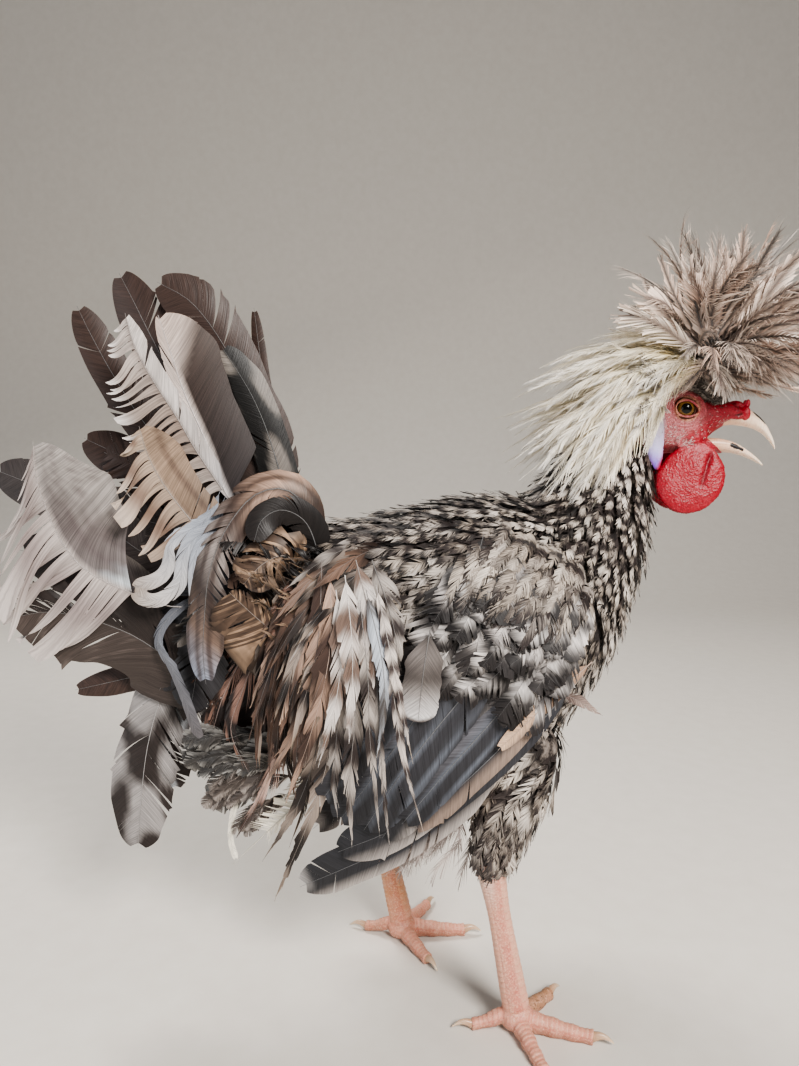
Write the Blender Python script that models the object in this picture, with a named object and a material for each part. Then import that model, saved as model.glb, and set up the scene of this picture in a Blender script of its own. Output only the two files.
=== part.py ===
"""A Polish crested cock at life size, standing with one foot forward and its bill open.

The bird faces +X, its left side is +Y and the floor is Z = 0. Lengths are in metres.
Every plumage tier is made of thin vanes that grow from a few named sizes.
"""

import math
import random

import bpy
import bmesh
import numpy as np
from mathutils import Matrix, Vector

MM = 0.001
GAP = 0.4 * MM  # left between touching nodes
VANE_THICKNESS = 0.7 * MM
SEED = 7
SHARP_ANGLE = math.radians(35)
FLAT_ANGLE = math.radians(0.2)  # faces nearer to level than this are made one

# Trunk, as cross-sections square to X: (x, underside z, back z, half width), in mm
TRUNK = (
    (-74, 226, 270, 13),
    (-62, 192, 282, 31),
    (-40, 150, 287, 50),
    (-12, 122, 291, 62),
    (18, 112, 298, 68),
    (48, 120, 303, 69),
    (76, 141, 300, 63),
    (98, 166, 290, 53),
    (116, 190, 274, 38),
    (131, 214, 254, 18),
)
RUMP_CUT_X = -14 * MM  # where the rump is parted from the breast and back

# Neck, as cross-sections square to its axis: (x, z, half depth, half width), in mm
NECK = (
    (62, 228, 58, 52),
    (84, 246, 55, 50),
    (101, 264, 49, 45),
    (111, 283, 43, 39),
    (119, 301, 36, 33),
    (127, 318, 29, 27),
    (134, 333, 23, 22),
)

# Head frame: origin midway between the eyes
HEAD_AT = Vector((161.5, -10, 350)) * MM
HEAD_YAW = math.radians(8)  # towards the bird's right
HEAD_PITCH = math.radians(8)  # bill down
HEAD = Matrix.Translation(HEAD_AT) @ Matrix.Rotation(-HEAD_YAW, 4, "Z") @ Matrix.Rotation(HEAD_PITCH, 4, "Y")

# Skull and face in the head frame: (x, mid z, half height, half width), in mm
SKULL = (
    (-31, -8, 7, 7),
    (-26, -8, 15, 14),
    (-16, -7, 19.5, 17),
    (-4, -6, 20.5, 17.5),
    (5, -5, 19, 16),
    (11, -4, 16, 13.5),
    (16, -1, 10, 10.5),
    (19, 0, 5, 6),
)
# Upper jaw with its bill, in the head frame: (x, tomium z, culmen z, half width), in mm
UPPER_JAW = (
    (4, -13, 9, 11),
    (14, -12, 9.5, 10),
    (24, -9.5, 9, 8),
    (32, -8, 8, 6.5),
    (38, -7, 5.5, 5.6),
    (44, -7, 1.8, 4.6),
    (49, -8.8, -2.6, 3.2),
    (52.5, -11.5, -7, 1.8),
    (54.5, -14.6, -12, 0.7),
)
# Lower jaw with its bill: (x, underside z, rim z, half width), in mm
LOWER_JAW = (
    (2, -25, -13, 10.5),
    (12, -23, -13.5, 9.6),
    (22, -22, -14.4, 7.8),
    (30, -22, -16, 6.2),
    (38, -22.6, -18.2, 4.8),
    (45, -24, -21.2, 3),
    (49.5, -25.4, -24, 1.2),
)
# Skin gives way to horn on slanting planes: x at the top edge and at the bottom edge, in mm
UPPER_HORN = (38, 17)
LOWER_HORN = (13, 27)
SLANT_GAP = 0.6  # along X, between the skin and the horn, in mm
SLAB_Z = (20, -40)  # top and bottom of the blocks that part them, in mm

TROUGH_FLOOR = 3.4  # thickness of the lower bill under its trough, in mm
TROUGH_WALL = 1.5
TROUGH_OVER = 5  # what the trough's cutter stands over the rim
DOME_AT = Vector((30.5, 5.0, 3.4)) * MM  # swelling over a nostril, on the left side
DOME_SIZE = Vector((6.4, 2.6, 3.8)) * MM
NOSTRIL_AT = Vector((31.5, 7.6, 1.6)) * MM
NOSTRIL_SIZE = Vector((2.6, 1.6, 0.9)) * MM
# Half of the small comb from root to tip: (x, y, z, radius), in mm
COMB_HORN = ((33, 2.6, 6, 2.6), (35, 3.2, 10, 1.9), (36, 3.9, 13.5, 0.5))

EYE_Y = 10.4 * MM
EYE_RADIUS = 7.0 * MM
LID_RADIUS = 5.7 * MM
LID_THICKNESS = 1.25 * MM
LID_Y = 15.4 * MM

WATTLE_AT = Vector((10, 10.5, -38.5)) * MM
WATTLE_SIZE = Vector((19.5, 3.4, 21.5)) * MM
WATTLE_SPLAY = math.radians(9)
WATTLE_HINGE = Vector((0, 0, -18)) * MM
EARLOBE_AT = Vector((-15.5, 19.5, -20)) * MM
EARLOBE_SIZE = Vector((7.5, 2.6, 15.5)) * MM

# Legs: hock, ankle and foot heading in degrees, positive to the bird's left
LEGS = {
    "R": dict(hip=(60, -40, 172), hock=(51, -52, 95), ankle=(66, -53, 14), heading=-16, side=-1),
    "L": dict(hip=(22, 38, 168), hock=(-17, 36, 95), ankle=(1, 33, 14), heading=2, side=1),
}
HIP_SIZE = (34 * MM, 25 * MM)
HOCK_SIZE = (13 * MM, 11.5 * MM)
THIGH_BULGE = 5 * MM  # forwards, at the middle of the thigh
HOCK_OVERRUN = 8 * MM  # cut off again where thigh and shank meet on a level plane
SHANK_TOP = (8.2 * MM, 7.2 * MM)  # half depth, half width
SHANK_MIDDLE = (6.3 * MM, 5.3 * MM)
SHANK_FOOT = (7.6 * MM, 7.0 * MM)
SHANK_RINGS = 6
SHANK_WAIST = 0.4  # share of the way down at which it is thinnest
BALL_AT = Vector((0.5, 0, -6.4)) * MM  # ball of the foot, from the ankle
BALL_SIZE = Vector((9.6, 9.2, 8.2)) * MM
# Toes: spread from the heading towards the outside, in degrees, length without claw, root half width, in mm
TOES = {
    "inner": (-62, 34, 5.0),
    "middle": (0, 43, 5.3),
    "outer": (58, 37, 4.8),
    "hind": (162, 25, 4.4),
}
TOE_RINGS = 6
TOE_Z = 6.0 * MM  # height of a toe's middle line where it leaves the foot
HIND_TOE_Z = 9.0 * MM
CLAW_LENGTH = 11 * MM
CLAW_RINGS = 4


# Saddle feathers
# Hackles in rows from the tail forward, of (x, rise above the flank in mm, length in mm)
SADDLE_ROWS = (
    (-64, 3, 124),
    (-50, 6, 120),
    (-36, 9, 112),
)
SADDLE_COLUMNS = 5
HACKLE_HALF_WIDTH = 6.2 * MM
HACKLE_STOPS = (0, 0.16, 0.4, 0.75, 1)
HACKLE_ROOT_SHARE = 0.82  # how far out in the trunk a hackle is rooted
HACKLE_TURNS = (20, 88)  # from the ridge of the back down to the flank, in degrees
HACKLE_BEND = math.radians(74)
HACKLE_BEND_POWER = 0.35  # under 1 bends it most near the root

# Crest
CREST_AT = Vector((8, 0, 24)) * MM  # centre of the knob of bone and down, in the head frame
CREST_CORE = Vector((25, 24, 19)) * MM
# Crown tiers from the top down: lift above the level and half spread to each side from the front, in degrees,
# feathers, length in mm
CROWN_TIERS = (
    (78, 170, 6, 66),
    (58, 160, 11, 68),
    (36, 125, 13, 66),
    (14, 105, 12, 54),
    (-8, 85, 9, 34),
)
CROWN_HALF_WIDTH = (6.0, 8.6)  # mm
# Nape tiers from the parting backwards: root x and z in mm in the head frame, rise in degrees, feathers,
# length in mm and bend in degrees
NAPE_TIERS = (
    (-10, 34, 50, 8, 74, 80),
    (-17, 27, 34, 11, 84, 66),
    (-26, 16, 12, 10, 84, 46),
    (-33, 4, -10, 8, 72, 30),
)
NAPE_HALF_WIDTH = (6.2, 8.4)  # mm
PARTING_AT = Vector((8, 0, 18)) * MM  # between the crown and nape feathers, in the head frame
PARTING_LEAN = math.radians(-40)
# Down and feather bases under the nape locks: (x, mid z, half height, half width), in mm
NAPE_CORE = (
    (-62, -20, 5, 9),
    (-50, -9, 15, 16),
    (-34, 4, 22, 21),
    (-16, 14, 25, 23),
    (-2, 18, 25, 23),
)
CROWN_BEND = (14, 46)  # degrees, at the least and what a level feather adds
CROWN_FALL = 1.1
EYE_SPACE_Y = 13 * MM
EYE_SPACE = Vector((8.5, 7.5, 8.5)) * MM

# Wings
# A wing tier: number of feathers, first and last root (x, z), first and last tip (x, z), rise of its
# outer face above the flank and half width, all in mm, from the innermost tier out
WING_TIERS = (
    (5, (72, 188), (58, 200), (-48, 98), (-36, 126), -2.6, 11.5),
    (6, (66, 204), (20, 236), (-28, 124), (-44, 166), 0.6, 12),
    (5, (82, 206), (30, 246), (26, 156), (-12, 194), 3.6, 12.5),
    (4, (84, 226), (44, 256), (50, 180), (8, 220), 6.2, 13),
)
WING_PAD_THICKNESS = 11 * MM
LOUVRE = math.radians(8)  # each feather's upper edge tucks under the one above
FLANK_AT = (50 * MM, 215 * MM)  # x and z of the wing's widest place
FLANK_WIDTH = 73.5 * MM
# How fast the flank turns in ahead of, behind, above and below its widest place, per metre
FLANK_CURVES = (6.5, 1.9, 5, 0.9)
WING_TIP_RISE = 2.4 * MM  # what a feather stands out more by at its tip
# The folded arm under the coverts: (x, z, half height), in mm
WING_PAD = ((12, 238, 8), (28, 232, 18), (48, 222, 25), (66, 214, 26), (82, 208, 20), (90, 205, 8))

# Tail
TAIL_ROOT = Vector((-70, 0, 258)) * MM
SPLAY_STEP = 0.035 * MM  # how far a feather's root stands to the side for each degree of splay

# Each feather is (rise, splay, length, width, curl)
RECTRICES = (
    (84, 9, 158, 15, 5),
    (75, 2, 172, 38, 14),
    (67, -4, 188, 40, 14),
    (58, 5, 190, 38, 14),
    (46, -6, 184, 36, 16),
    (32, 6, 174, 36, 14),
    (17, -5, 168, 36, 12),
    (3, 5, 160, 36, 10),
)
SICKLES = (
    (77, -13, 150, 32, 46),
    (56, -19, 164, 34, 38),
    (34, -21, 170, 40, 30),
    (8, -19, 168, 42, 18),
    (-14, -15, 152, 36, 10),
    (72, 15, 154, 32, 46),
    (48, 21, 160, 34, 36),
    (24, 22, 160, 38, 26),
    (0, 18, 156, 38, 14),
)
CURLED = (
    (78, -34, 84, 19, 170),
    (94, -24, 92, 18, 160),
    (50, -36, 92, 20, 140),
    (22, -34, 90, 20, 110),
    (80, 32, 88, 19, 165),
    (48, 36, 92, 20, 135),
    (20, 34, 90, 20, 105),
)
HANGING = (
    (-32, -24, 132, 32, 34),
    (-48, -16, 160, 34, 20),
    (-62, -8, 140, 30, 14),
    (-32, 24, 130, 32, 34),
    (-48, 16, 150, 34, 20),
    (-64, 6, 130, 30, 14),
)
TAIL_STUMP = Vector((17, 13, 22)) * MM
MOST_PLAIN_CURL = 60  # degrees, past which a tail feather takes more rings

# Shares of the length at which a vane has a ring
ROUND_STOPS = (0, 0.42, 0.84, 0.96, 1)
POINTED_STOPS = (0, 0.3, 0.65, 1)
CURLED_STOPS = (0, 0.22, 0.44, 0.66, 0.86, 1)

# Looks, as (colour, roughness)
MATERIALS = {
    "mottled_plumage": ((0.16, 0.14, 0.13), 0.85),
    "cream_plumage": ((0.72, 0.66, 0.56), 0.85),
    "slate_plumage": ((0.10, 0.10, 0.11), 0.6),
    "tail_plumage": ((0.15, 0.12, 0.11), 0.65),
    "red_skin": ((0.55, 0.03, 0.04), 0.45),
    "white_skin": ((0.75, 0.70, 0.80), 0.6),
    "bill_horn": ((0.80, 0.62, 0.50), 0.35),
    "eye": ((0.35, 0.14, 0.03), 0.1),
    "leg_scales": ((0.72, 0.42, 0.34), 0.5),
    "claw_horn": ((0.70, 0.52, 0.40), 0.4),
}


def rounded(t):
    """Share of full width along a broad vane with a round end."""
    return min(1.0, (0.12 + t) / 0.45) ** 0.7 * max(0.0, 1 - t**8) ** 0.5


def pointed(t):
    """Share of full width along a hackle or crest feather, widest a third of the way out."""
    rise = min(1.0, 0.35 + 2 * t)
    return rise * max(0.0, 1 - t**1.7)


def smooth(a, b, t):
    return a + (b - a) * (3 * t * t - 2 * t**3)


def mesh_object(name, vertices, faces):
    mesh = bpy.data.meshes.new(name)
    mesh.from_pydata([tuple(v) for v in vertices], [], [tuple(int(i) for i in f) for f in faces])
    obj = bpy.data.objects.new(name, mesh)
    bpy.context.scene.collection.objects.link(obj)
    facing_out = bmesh.new()
    facing_out.from_mesh(mesh)
    bmesh.ops.recalc_face_normals(facing_out, faces=facing_out.faces)
    facing_out.to_mesh(mesh)
    facing_out.free()
    return obj


def tube(name, rings, transform=None):
    """Closed skin over rings of equal point counts, with a centre point in each end cap."""
    count = len(rings[0])
    vertices = [Vector(p) for ring in rings for p in ring]
    faces = []
    for i in range(len(rings) - 1):
        for j in range(count):
            k = (j + 1) % count
            a, b = i * count + j, i * count + k
            c, d = a + count, b + count
            faces += [(a, b, d), (a, d, c)]
    for ring, turn in ((0, 1), (len(rings) - 1, -1)):
        centre = len(vertices)
        vertices.append(sum((Vector(p) for p in rings[ring]), Vector()) / count)
        for j in range(count):
            k = (j + 1) % count
            faces.append((ring * count + j, ring * count + k, centre)[::turn])
    if transform:
        vertices = [transform @ v for v in vertices]
    return mesh_object(name, vertices, faces)


def oval(centre, along, across, half_along, half_across, count, squareness=2.0, start=0.0):
    """Ring of points round a centre: a superellipse in the plane of two unit vectors."""
    points = []
    for j in range(count):
        turn = start + 2 * math.pi * j / count
        c, s = math.cos(turn), math.sin(turn)
        points.append(
            centre
            + along * half_along * math.copysign(abs(c) ** (2 / squareness), c)
            + across * half_across * math.copysign(abs(s) ** (2 / squareness), s)
        )
    return points


def refined(stations, steps):
    """The stations with smooth ones put between them, by Catmull-Rom."""
    points = [np.array(s, float) for s in stations]
    points = [2 * points[0] - points[1]] + points + [2 * points[-1] - points[-2]]
    found = []
    for i in range(1, len(points) - 2):
        p0, p1, p2, p3 = points[i - 1 : i + 3]
        for k in range(steps):
            t = k / steps
            found.append(
                0.5 * (2 * p1 + (p2 - p0) * t + (2 * p0 - 5 * p1 + 4 * p2 - p3) * t * t
                       + (3 * p1 - p0 - 3 * p2 + p3) * t**3)
            )
    found.append(points[-2])
    return found


def upright_loft(name, stations, count, steps=1, grow=0.0, spans_height=True, transform=None, squareness=2.15):
    """Loft along X. A station gives either (x, low z, high z, half width) or (x, mid z, half height, half width)."""
    rings = []
    rows = refined(stations, steps)
    for row in rows:
        x, a, b, wide = (float(v) * MM for v in row)
        middle, high = ((a + b) / 2, (b - a) / 2) if spans_height else (a, b)
        rings.append(
            oval(Vector((x, 0, middle)), Vector((0, 1, 0)), Vector((0, 0, 1)),
                 max(wide, 0.3 * MM) + grow, max(high, 0.3 * MM) + grow, count, squareness)
        )
    if grow:
        rings[0] = [p + Vector((-grow, 0, 0)) for p in rings[0]]
        rings[-1] = [p + Vector((grow, 0, 0)) for p in rings[-1]]
    return tube(name, rings, transform)


def trunk(name, grow=0.0):
    return upright_loft(name, TRUNK, 22, steps=2, grow=grow)


def neck(name, grow=0.0):
    rows = refined(NECK, 1)
    rings = []
    for i, row in enumerate(rows):
        before, after = rows[max(i - 1, 0)], rows[min(i + 1, len(rows) - 1)]
        axis = Vector((after[0] - before[0], 0, after[1] - before[1])).normalized()
        forward = Vector((axis.z, 0, -axis.x))
        centre = Vector((row[0], 0, row[1])) * MM
        rings.append(
            oval(centre, forward, Vector((0, 1, 0)), row[2] * MM + grow, row[3] * MM + grow, 20)
        )
    return tube(name, rings)


def skull(name, grow=0.0):
    return upright_loft(name, SKULL, 18, grow=grow, spans_height=False, transform=HEAD)


def jaw(name, stations, grow=0.0):
    return upright_loft(name, stations, 12, grow=grow, transform=HEAD, squareness=2.3)


def across(at, side):
    """A place on the left side, or its mirror place on the right."""
    return Vector((at.x, side * at.y, at.z))


def ellipsoid(name, centre, size, segments=16, rings=10, transform=None):
    mesh = bpy.data.meshes.new(name)
    sphere = bmesh.new()
    bmesh.ops.create_uvsphere(sphere, u_segments=segments, v_segments=rings, radius=1.0)
    place = Matrix.Translation(centre) @ Matrix.Diagonal((*size, 1))
    sphere.transform(transform @ place if transform else place)
    sphere.to_mesh(mesh)
    sphere.free()
    obj = bpy.data.objects.new(name, mesh)
    bpy.context.scene.collection.objects.link(obj)
    return obj


def ball(name, centre, radius):
    return ellipsoid(name, centre, Vector((1, 1, 1)) * radius, 14, 8, HEAD)


def slab(name, top_x, bottom_x, ahead):
    """Box on one side of a slanting plane across the jaws, from top_x at its top to bottom_x at its bottom."""
    top_z, bottom_z = SLAB_Z
    wide, reach = 40, 60 if ahead else -60
    outline = ((top_x, top_z), (top_x + reach, top_z), (bottom_x + reach, bottom_z), (bottom_x, bottom_z))
    rings = [[Vector((x, y, z)) * MM for x, z in outline] for y in (-wide, wide)]
    return tube(name, rings, HEAD)


def slanted(edges, z_top, z_bottom):
    """x at the slab's top and at its bottom of the plane through (edges[0], z_top) and (edges[1], z_bottom)."""
    slope = (edges[0] - edges[1]) / (z_top - z_bottom)
    return edges[0] + slope * (SLAB_Z[0] - z_top), edges[1] + slope * (SLAB_Z[1] - z_bottom)


def spine_of(root, heading, length, towards, bend, twist=0.0, stops=POINTED_STOPS, power=1.0):
    """Points, side vectors and face normals of a feather's shaft that bends towards a direction as it grows."""
    ahead = Vector(heading).normalized()
    inward = Vector(towards)
    inward = (inward - ahead * inward.dot(ahead)).normalized()
    fine = 50
    at = Vector(root)
    track = []
    for i in range(fine + 1):
        t = i / fine
        angle = bend * t**power
        direction = ahead * math.cos(angle) + inward * math.sin(angle)
        face = inward * math.cos(angle) - ahead * math.sin(angle)
        turned = Matrix.Rotation(twist, 3, direction)
        side = turned @ direction.cross(face)
        track.append((at.copy(), side, side.cross(direction), t))
        at += direction * (length / fine)
    return [track[round(stop * fine)] for stop in stops]


def vane(name, spine, half_width, profile, grow=0.0):
    """Thin closed feather on a spine: both faces are split into triangles alike."""
    half = VANE_THICKNESS / 2 + grow
    vertices, faces = [], []
    for at, side, face, t in spine[:-1]:
        wide = max(half_width * profile(t), 0.4 * MM) + grow
        for across, out in ((-1, 1), (1, 1), (1, -1), (-1, -1)):
            vertices.append(at + side * across * wide + face * half * out)
    for i in range(len(spine) - 2):
        a, b = 4 * i, 4 * i + 4
        faces += [(a, a + 1, b + 1), (a, b + 1, b), (a + 3, b + 3, b + 2), (a + 3, b + 2, a + 2)]
        faces += [(a + 1, a + 2, b + 2), (a + 1, b + 2, b + 1), (a + 3, a, b), (a + 3, b, b + 3)]
    faces += [(0, 3, 2), (0, 2, 1)]
    tip, end = len(vertices), len(vertices) - 4
    vertices.append(spine[-1][0])
    faces += [(end + j, end + (j + 1) % 4, tip) for j in range(4)]
    return mesh_object(name, vertices, faces)


def cone(name, rings, count=8, transform=None):
    """Tapering piece through (centre, radius) rings along the line of its centres."""
    made = []
    for i, (centre, radius) in enumerate(rings):
        before, after = rings[max(i - 1, 0)][0], rings[min(i + 1, len(rings) - 1)][0]
        axis = (after - before).normalized()
        across = axis.cross(Vector((0, 0, 1)))
        across = across.normalized() if across.length > 1e-6 else Vector((1, 0, 0))
        made.append(oval(centre, across, axis.cross(across), radius, radius, count))
    return tube(name, made, transform)


def boolean(obj, operation, others, solver="EXACT"):
    """Applies one Boolean of a collection of closed objects, then removes them."""
    tools = bpy.data.collections.new("tools")
    bpy.context.scene.collection.children.link(tools)
    for other in others:
        bpy.context.scene.collection.objects.unlink(other)
        tools.objects.link(other)
    modifier = obj.modifiers.new("join", "BOOLEAN")
    modifier.operation = operation
    modifier.operand_type = "COLLECTION"
    modifier.collection = tools
    modifier.solver = solver
    bpy.context.view_layer.update()
    graph = bpy.context.evaluated_depsgraph_get()
    result = bpy.data.meshes.new_from_object(obj.evaluated_get(graph))
    obj.modifiers.clear()
    obj.data = result
    for other in others:
        bpy.data.objects.remove(other)
    bpy.data.collections.remove(tools)
    return obj


def largest_surface(obj):
    """Keeps the connected surface that holds the most volume."""
    work = bmesh.new()
    work.from_mesh(obj.data)
    bmesh.ops.triangulate(work, faces=work.faces)
    unseen = set(work.faces)
    shells = []
    while unseen:
        front = [unseen.pop()]
        shell = set(front)
        while front:
            for edge in front.pop().edges:
                for face in edge.link_faces:
                    if face in unseen:
                        unseen.discard(face)
                        shell.add(face)
                        front.append(face)
        shells.append(shell)

    def volume(shell):
        return sum(
            f.verts[0].co.dot(f.verts[1].co.cross(f.verts[2].co)) for f in shell
        ) / 6

    kept = max(shells, key=volume)
    bmesh.ops.delete(work, geom=[f for f in work.faces if f not in kept], context="FACES")
    bmesh.ops.delete(work, geom=[v for v in work.verts if not v.link_faces], context="VERTS")
    bmesh.ops.dissolve_limit(work, angle_limit=FLAT_ANGLE, use_dissolve_boundaries=False,
                             verts=work.verts, edges=work.edges)
    bmesh.ops.triangulate(work, faces=work.faces)
    work.to_mesh(obj.data)
    work.free()
    return obj


def node(name, pieces, cutters=(), material=None, solver="MANIFOLD"):
    """One named object from overlapping closed pieces, less its neighbours grown by the gap."""
    obj = pieces[0]
    if len(pieces) > 1:
        boolean(obj, "UNION", pieces[1:], solver)
    if cutters:
        boolean(obj, "DIFFERENCE", list(cutters), solver)
    largest_surface(obj)
    obj.name = obj.data.name = name
    obj.data.materials.clear()
    obj.data.materials.append(material)
    obj.data.shade_smooth()
    obj.data.set_sharp_from_angle(angle=SHARP_ANGLE)
    return obj


def material(name, colour, roughness):
    made = bpy.data.materials.new(name)
    made.use_nodes = True
    shader = made.node_tree.nodes["Principled BSDF"]
    shader.inputs["Base Color"].default_value = (*colour, 1)
    shader.inputs["Roughness"].default_value = roughness
    made.diffuse_color = (*colour, 1)
    return made


# Trunk, rump and neck


def make_body(mats):
    wide = 200 * MM
    low, high = Vector((-wide, -wide, -wide)), Vector((wide, wide, 2 * wide))

    def half_space(name, start, end):
        rings = [
            [Vector((x, y, z)) for y, z in ((low.y, low.z), (high.y, low.z), (high.y, high.z), (low.y, high.z))]
            for x in (start, end)
        ]
        return tube(name, rings)

    node("torso", [trunk("torso")], [half_space("behind", low.x, RUMP_CUT_X)], mats["mottled_plumage"], "EXACT")
    saddle = [trunk("rump")] + saddle_hackles()
    node("rump", saddle, [half_space("ahead", RUMP_CUT_X - GAP, high.x)], mats["mottled_plumage"])
    node("neck", [neck("neck")], [trunk("trunk_cut", GAP), skull("skull_cut", GAP)], mats["mottled_plumage"])


def flank_y(x, z):
    """How far the folded wing's middle layer stands out from the middle plane, at a place on the flank."""
    ahead, behind = max(x - FLANK_AT[0], 0), min(x - FLANK_AT[0], 0)
    above, below = max(z - FLANK_AT[1], 0), min(z - FLANK_AT[1], 0)
    turns = zip(FLANK_CURVES, (ahead, behind, above, below))
    return FLANK_WIDTH - sum(curve * away**2 for curve, away in turns)


def saddle_hackles(grow=0.0):
    """Long pointed feathers that fall from the rump over the wing's end on both sides."""
    draw = random.Random(SEED)
    made = []
    for side in (-1, 1):
        for row, (x, rise, length) in enumerate(SADDLE_ROWS):
            for column in range(SADDLE_COLUMNS):
                made.append(saddle_hackle(draw, side, x, rise, length, column, row, grow))
    return made


def trunk_at(x):
    """(mid z, half height, half width) of the trunk at a place along X."""
    xs = [s[0] * MM for s in TRUNK]
    low, high, wide = (float(np.interp(x, xs, [s[i] * MM for s in TRUNK])) for i in (1, 2, 3))
    return (low + high) / 2, (high - low) / 2, wide


def saddle_hackle(draw, side, x, rise, length, column, row, grow):
    share = (column + 0.5 * (row % 2)) / SADDLE_COLUMNS
    middle, half, wide = trunk_at(x * MM)
    turn = math.radians(smooth(*HACKLE_TURNS, share))
    inside = HACKLE_ROOT_SHARE
    root = Vector((x * MM, side * wide * inside * math.sin(turn), middle + half * inside * math.cos(turn)))
    outward = Vector((0, side * math.sin(turn), math.cos(turn)))
    heading = outward * 0.55 + Vector((-0.45, side * 0.25, -0.25 - 0.5 * share))
    down = Vector((-0.12 + 0.1 * share, side * (-0.02 + 0.012 * rise), -1))
    size = length * MM * draw.uniform(0.82, 1.05) * (1 - 0.12 * share)
    spine = spine_of(root, heading, size, down, HACKLE_BEND, stops=HACKLE_STOPS, power=HACKLE_BEND_POWER)
    return vane("hackle", spine, HACKLE_HALF_WIDTH, pointed, grow)


# Head, bill, eyes, wattles and earlobes


def make_head(mats):
    upper = slanted(UPPER_HORN, 6, -10)
    lower = slanted(LOWER_HORN, -14, -22)
    domes = [
        ellipsoid("nostril_dome", across(DOME_AT, side), DOME_SIZE, 10, 6, HEAD)
        for side in (-1, 1)
    ]
    upper_skin = boolean(jaw("upper_skin", UPPER_JAW), "UNION", domes)
    boolean(upper_skin, "DIFFERENCE", [slab("ahead", *upper, True)])
    lower_skin = boolean(jaw("lower_skin", LOWER_JAW), "DIFFERENCE", [slab("ahead", *lower, True)])
    pieces = [skull("head"), upper_skin, lower_skin]
    cuts = []
    for side in (-1, 1):
        pieces.append(lid_ring(side))
        pieces.append(comb_horn(side))
        cuts.append(ball("socket", Vector((0, side * EYE_Y, 0)), EYE_RADIUS + GAP))
        cuts.append(ellipsoid("nostril", across(NOSTRIL_AT, side), NOSTRIL_SIZE, 8, 6, HEAD))
    node("head", pieces, cuts, mats["red_skin"])
    horn_side = slab("behind", upper[0] + SLANT_GAP, upper[1] + SLANT_GAP, False)
    node("bill_upper", [jaw("bill_upper", UPPER_JAW)], [horn_side, skull("skull_cut", GAP)], mats["bill_horn"])
    hollow = [
        (x, low + TROUGH_FLOOR, high + TROUGH_OVER, wide - TROUGH_WALL) for x, low, high, wide in LOWER_JAW[:-2]
    ]
    trough = upright_loft("trough", hollow, 12, transform=HEAD)
    horn_side = slab("behind", lower[0] + SLANT_GAP, lower[1] + SLANT_GAP, False)
    node("bill_lower", [jaw("bill_lower", LOWER_JAW)], [horn_side, trough, skull("skull_cut", GAP)],
         mats["bill_horn"])
    for side, letter in ((-1, "R"), (1, "L")):
        node(f"eye_{letter}", [ball("eye", Vector((0, side * EYE_Y, 0)), EYE_RADIUS)], (), mats["eye"])
        make_wattle(mats, side, letter)
        make_earlobe(mats, side, letter)


def comb_horn(side, grow=0.0):
    """One half of the small comb, a fleshy nub over the nostrils."""
    return cone("comb_horn", [(Vector((x, side * y, z)) * MM, r * MM + grow) for x, y, z, r in COMB_HORN], 6, HEAD)


def lid_ring(side):
    """Raised rim of skin round the eye."""
    around, count = 12, 4
    vertices, faces = [], []
    for i in range(around):
        turn = 2 * math.pi * i / around
        out = Vector((math.cos(turn), 0, math.sin(turn)))
        for j in range(count):
            roll = 2 * math.pi * j / count
            at = out * (LID_RADIUS + LID_THICKNESS * math.cos(roll) * 1.3)
            at.y = side * (LID_Y + LID_THICKNESS * (1.2 * math.sin(roll) - 0.4))
            vertices.append(HEAD @ at)
    for i in range(around):
        for j in range(count):
            a, b = i * count + j, i * count + (j + 1) % count
            c, d = (i + 1) % around * count + j, (i + 1) % around * count + (j + 1) % count
            faces += [(a, b, d), (a, d, c)]
    return mesh_object("lid", vertices, faces)


def make_wattle(mats, side, letter):
    """Round pendulous lobe with a thick rim, narrow where it leaves the lower jaw."""
    rings = []
    rows, count = 8, 14
    for i in range(rows):
        turn = math.pi * (0.06 + 0.88 * i / (rows - 1))
        high = math.cos(turn)
        wide = math.sin(turn) * (1 - 0.25 * max(high, 0) ** 2)
        thick = (0.75 + 0.35 * math.sin(turn) + 0.25 * max(-high, 0)) * max(math.sin(turn), 0.45) ** 0.5
        centre = WATTLE_AT + Vector((2.5 * MM * high, 0, WATTLE_SIZE.z * high))
        rings.append(oval(centre, Vector((1, 0, 0)), Vector((0, 1, 0)),
                          WATTLE_SIZE.x * wide, WATTLE_SIZE.y * thick, count, 2.3))
    hinge = Matrix.Translation(WATTLE_HINGE)
    hang = hinge @ Matrix.Rotation(WATTLE_SPLAY, 4, "X") @ hinge.inverted()
    mirrored = Matrix.Diagonal((1, side, 1, 1))
    body = tube("wattle", rings, HEAD @ mirrored @ hang)
    cuts = [skull("skull_cut", GAP), jaw("jaw_cut", LOWER_JAW, GAP), neck("neck_cut", GAP)]
    node(f"wattle_{letter}", [body], cuts, mats["red_skin"])


def earlobe(side, grow=0.0):
    rings = []
    rows = 6
    for i in range(rows):
        turn = math.pi * (0.08 + 0.84 * i / (rows - 1))
        high = math.cos(turn)
        wide = math.sin(turn) * (1 + 0.2 * high)
        centre = EARLOBE_AT + Vector((0.8 * MM * high, 0, (EARLOBE_SIZE.z + grow) * high))
        rings.append(oval(centre, Vector((1, 0, 0)), Vector((0, 1, 0)), EARLOBE_SIZE.x * wide + grow,
                          EARLOBE_SIZE.y * math.sin(turn) ** 0.6 + grow, 10))
    return tube("earlobe", rings, HEAD @ Matrix.Diagonal((1, side, 1, 1)))


def make_earlobe(mats, side, letter):
    node(f"earlobe_{letter}", [earlobe(side)], [skull("skull_cut", GAP), neck("neck_cut", GAP)], mats["white_skin"])


# Crest


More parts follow.
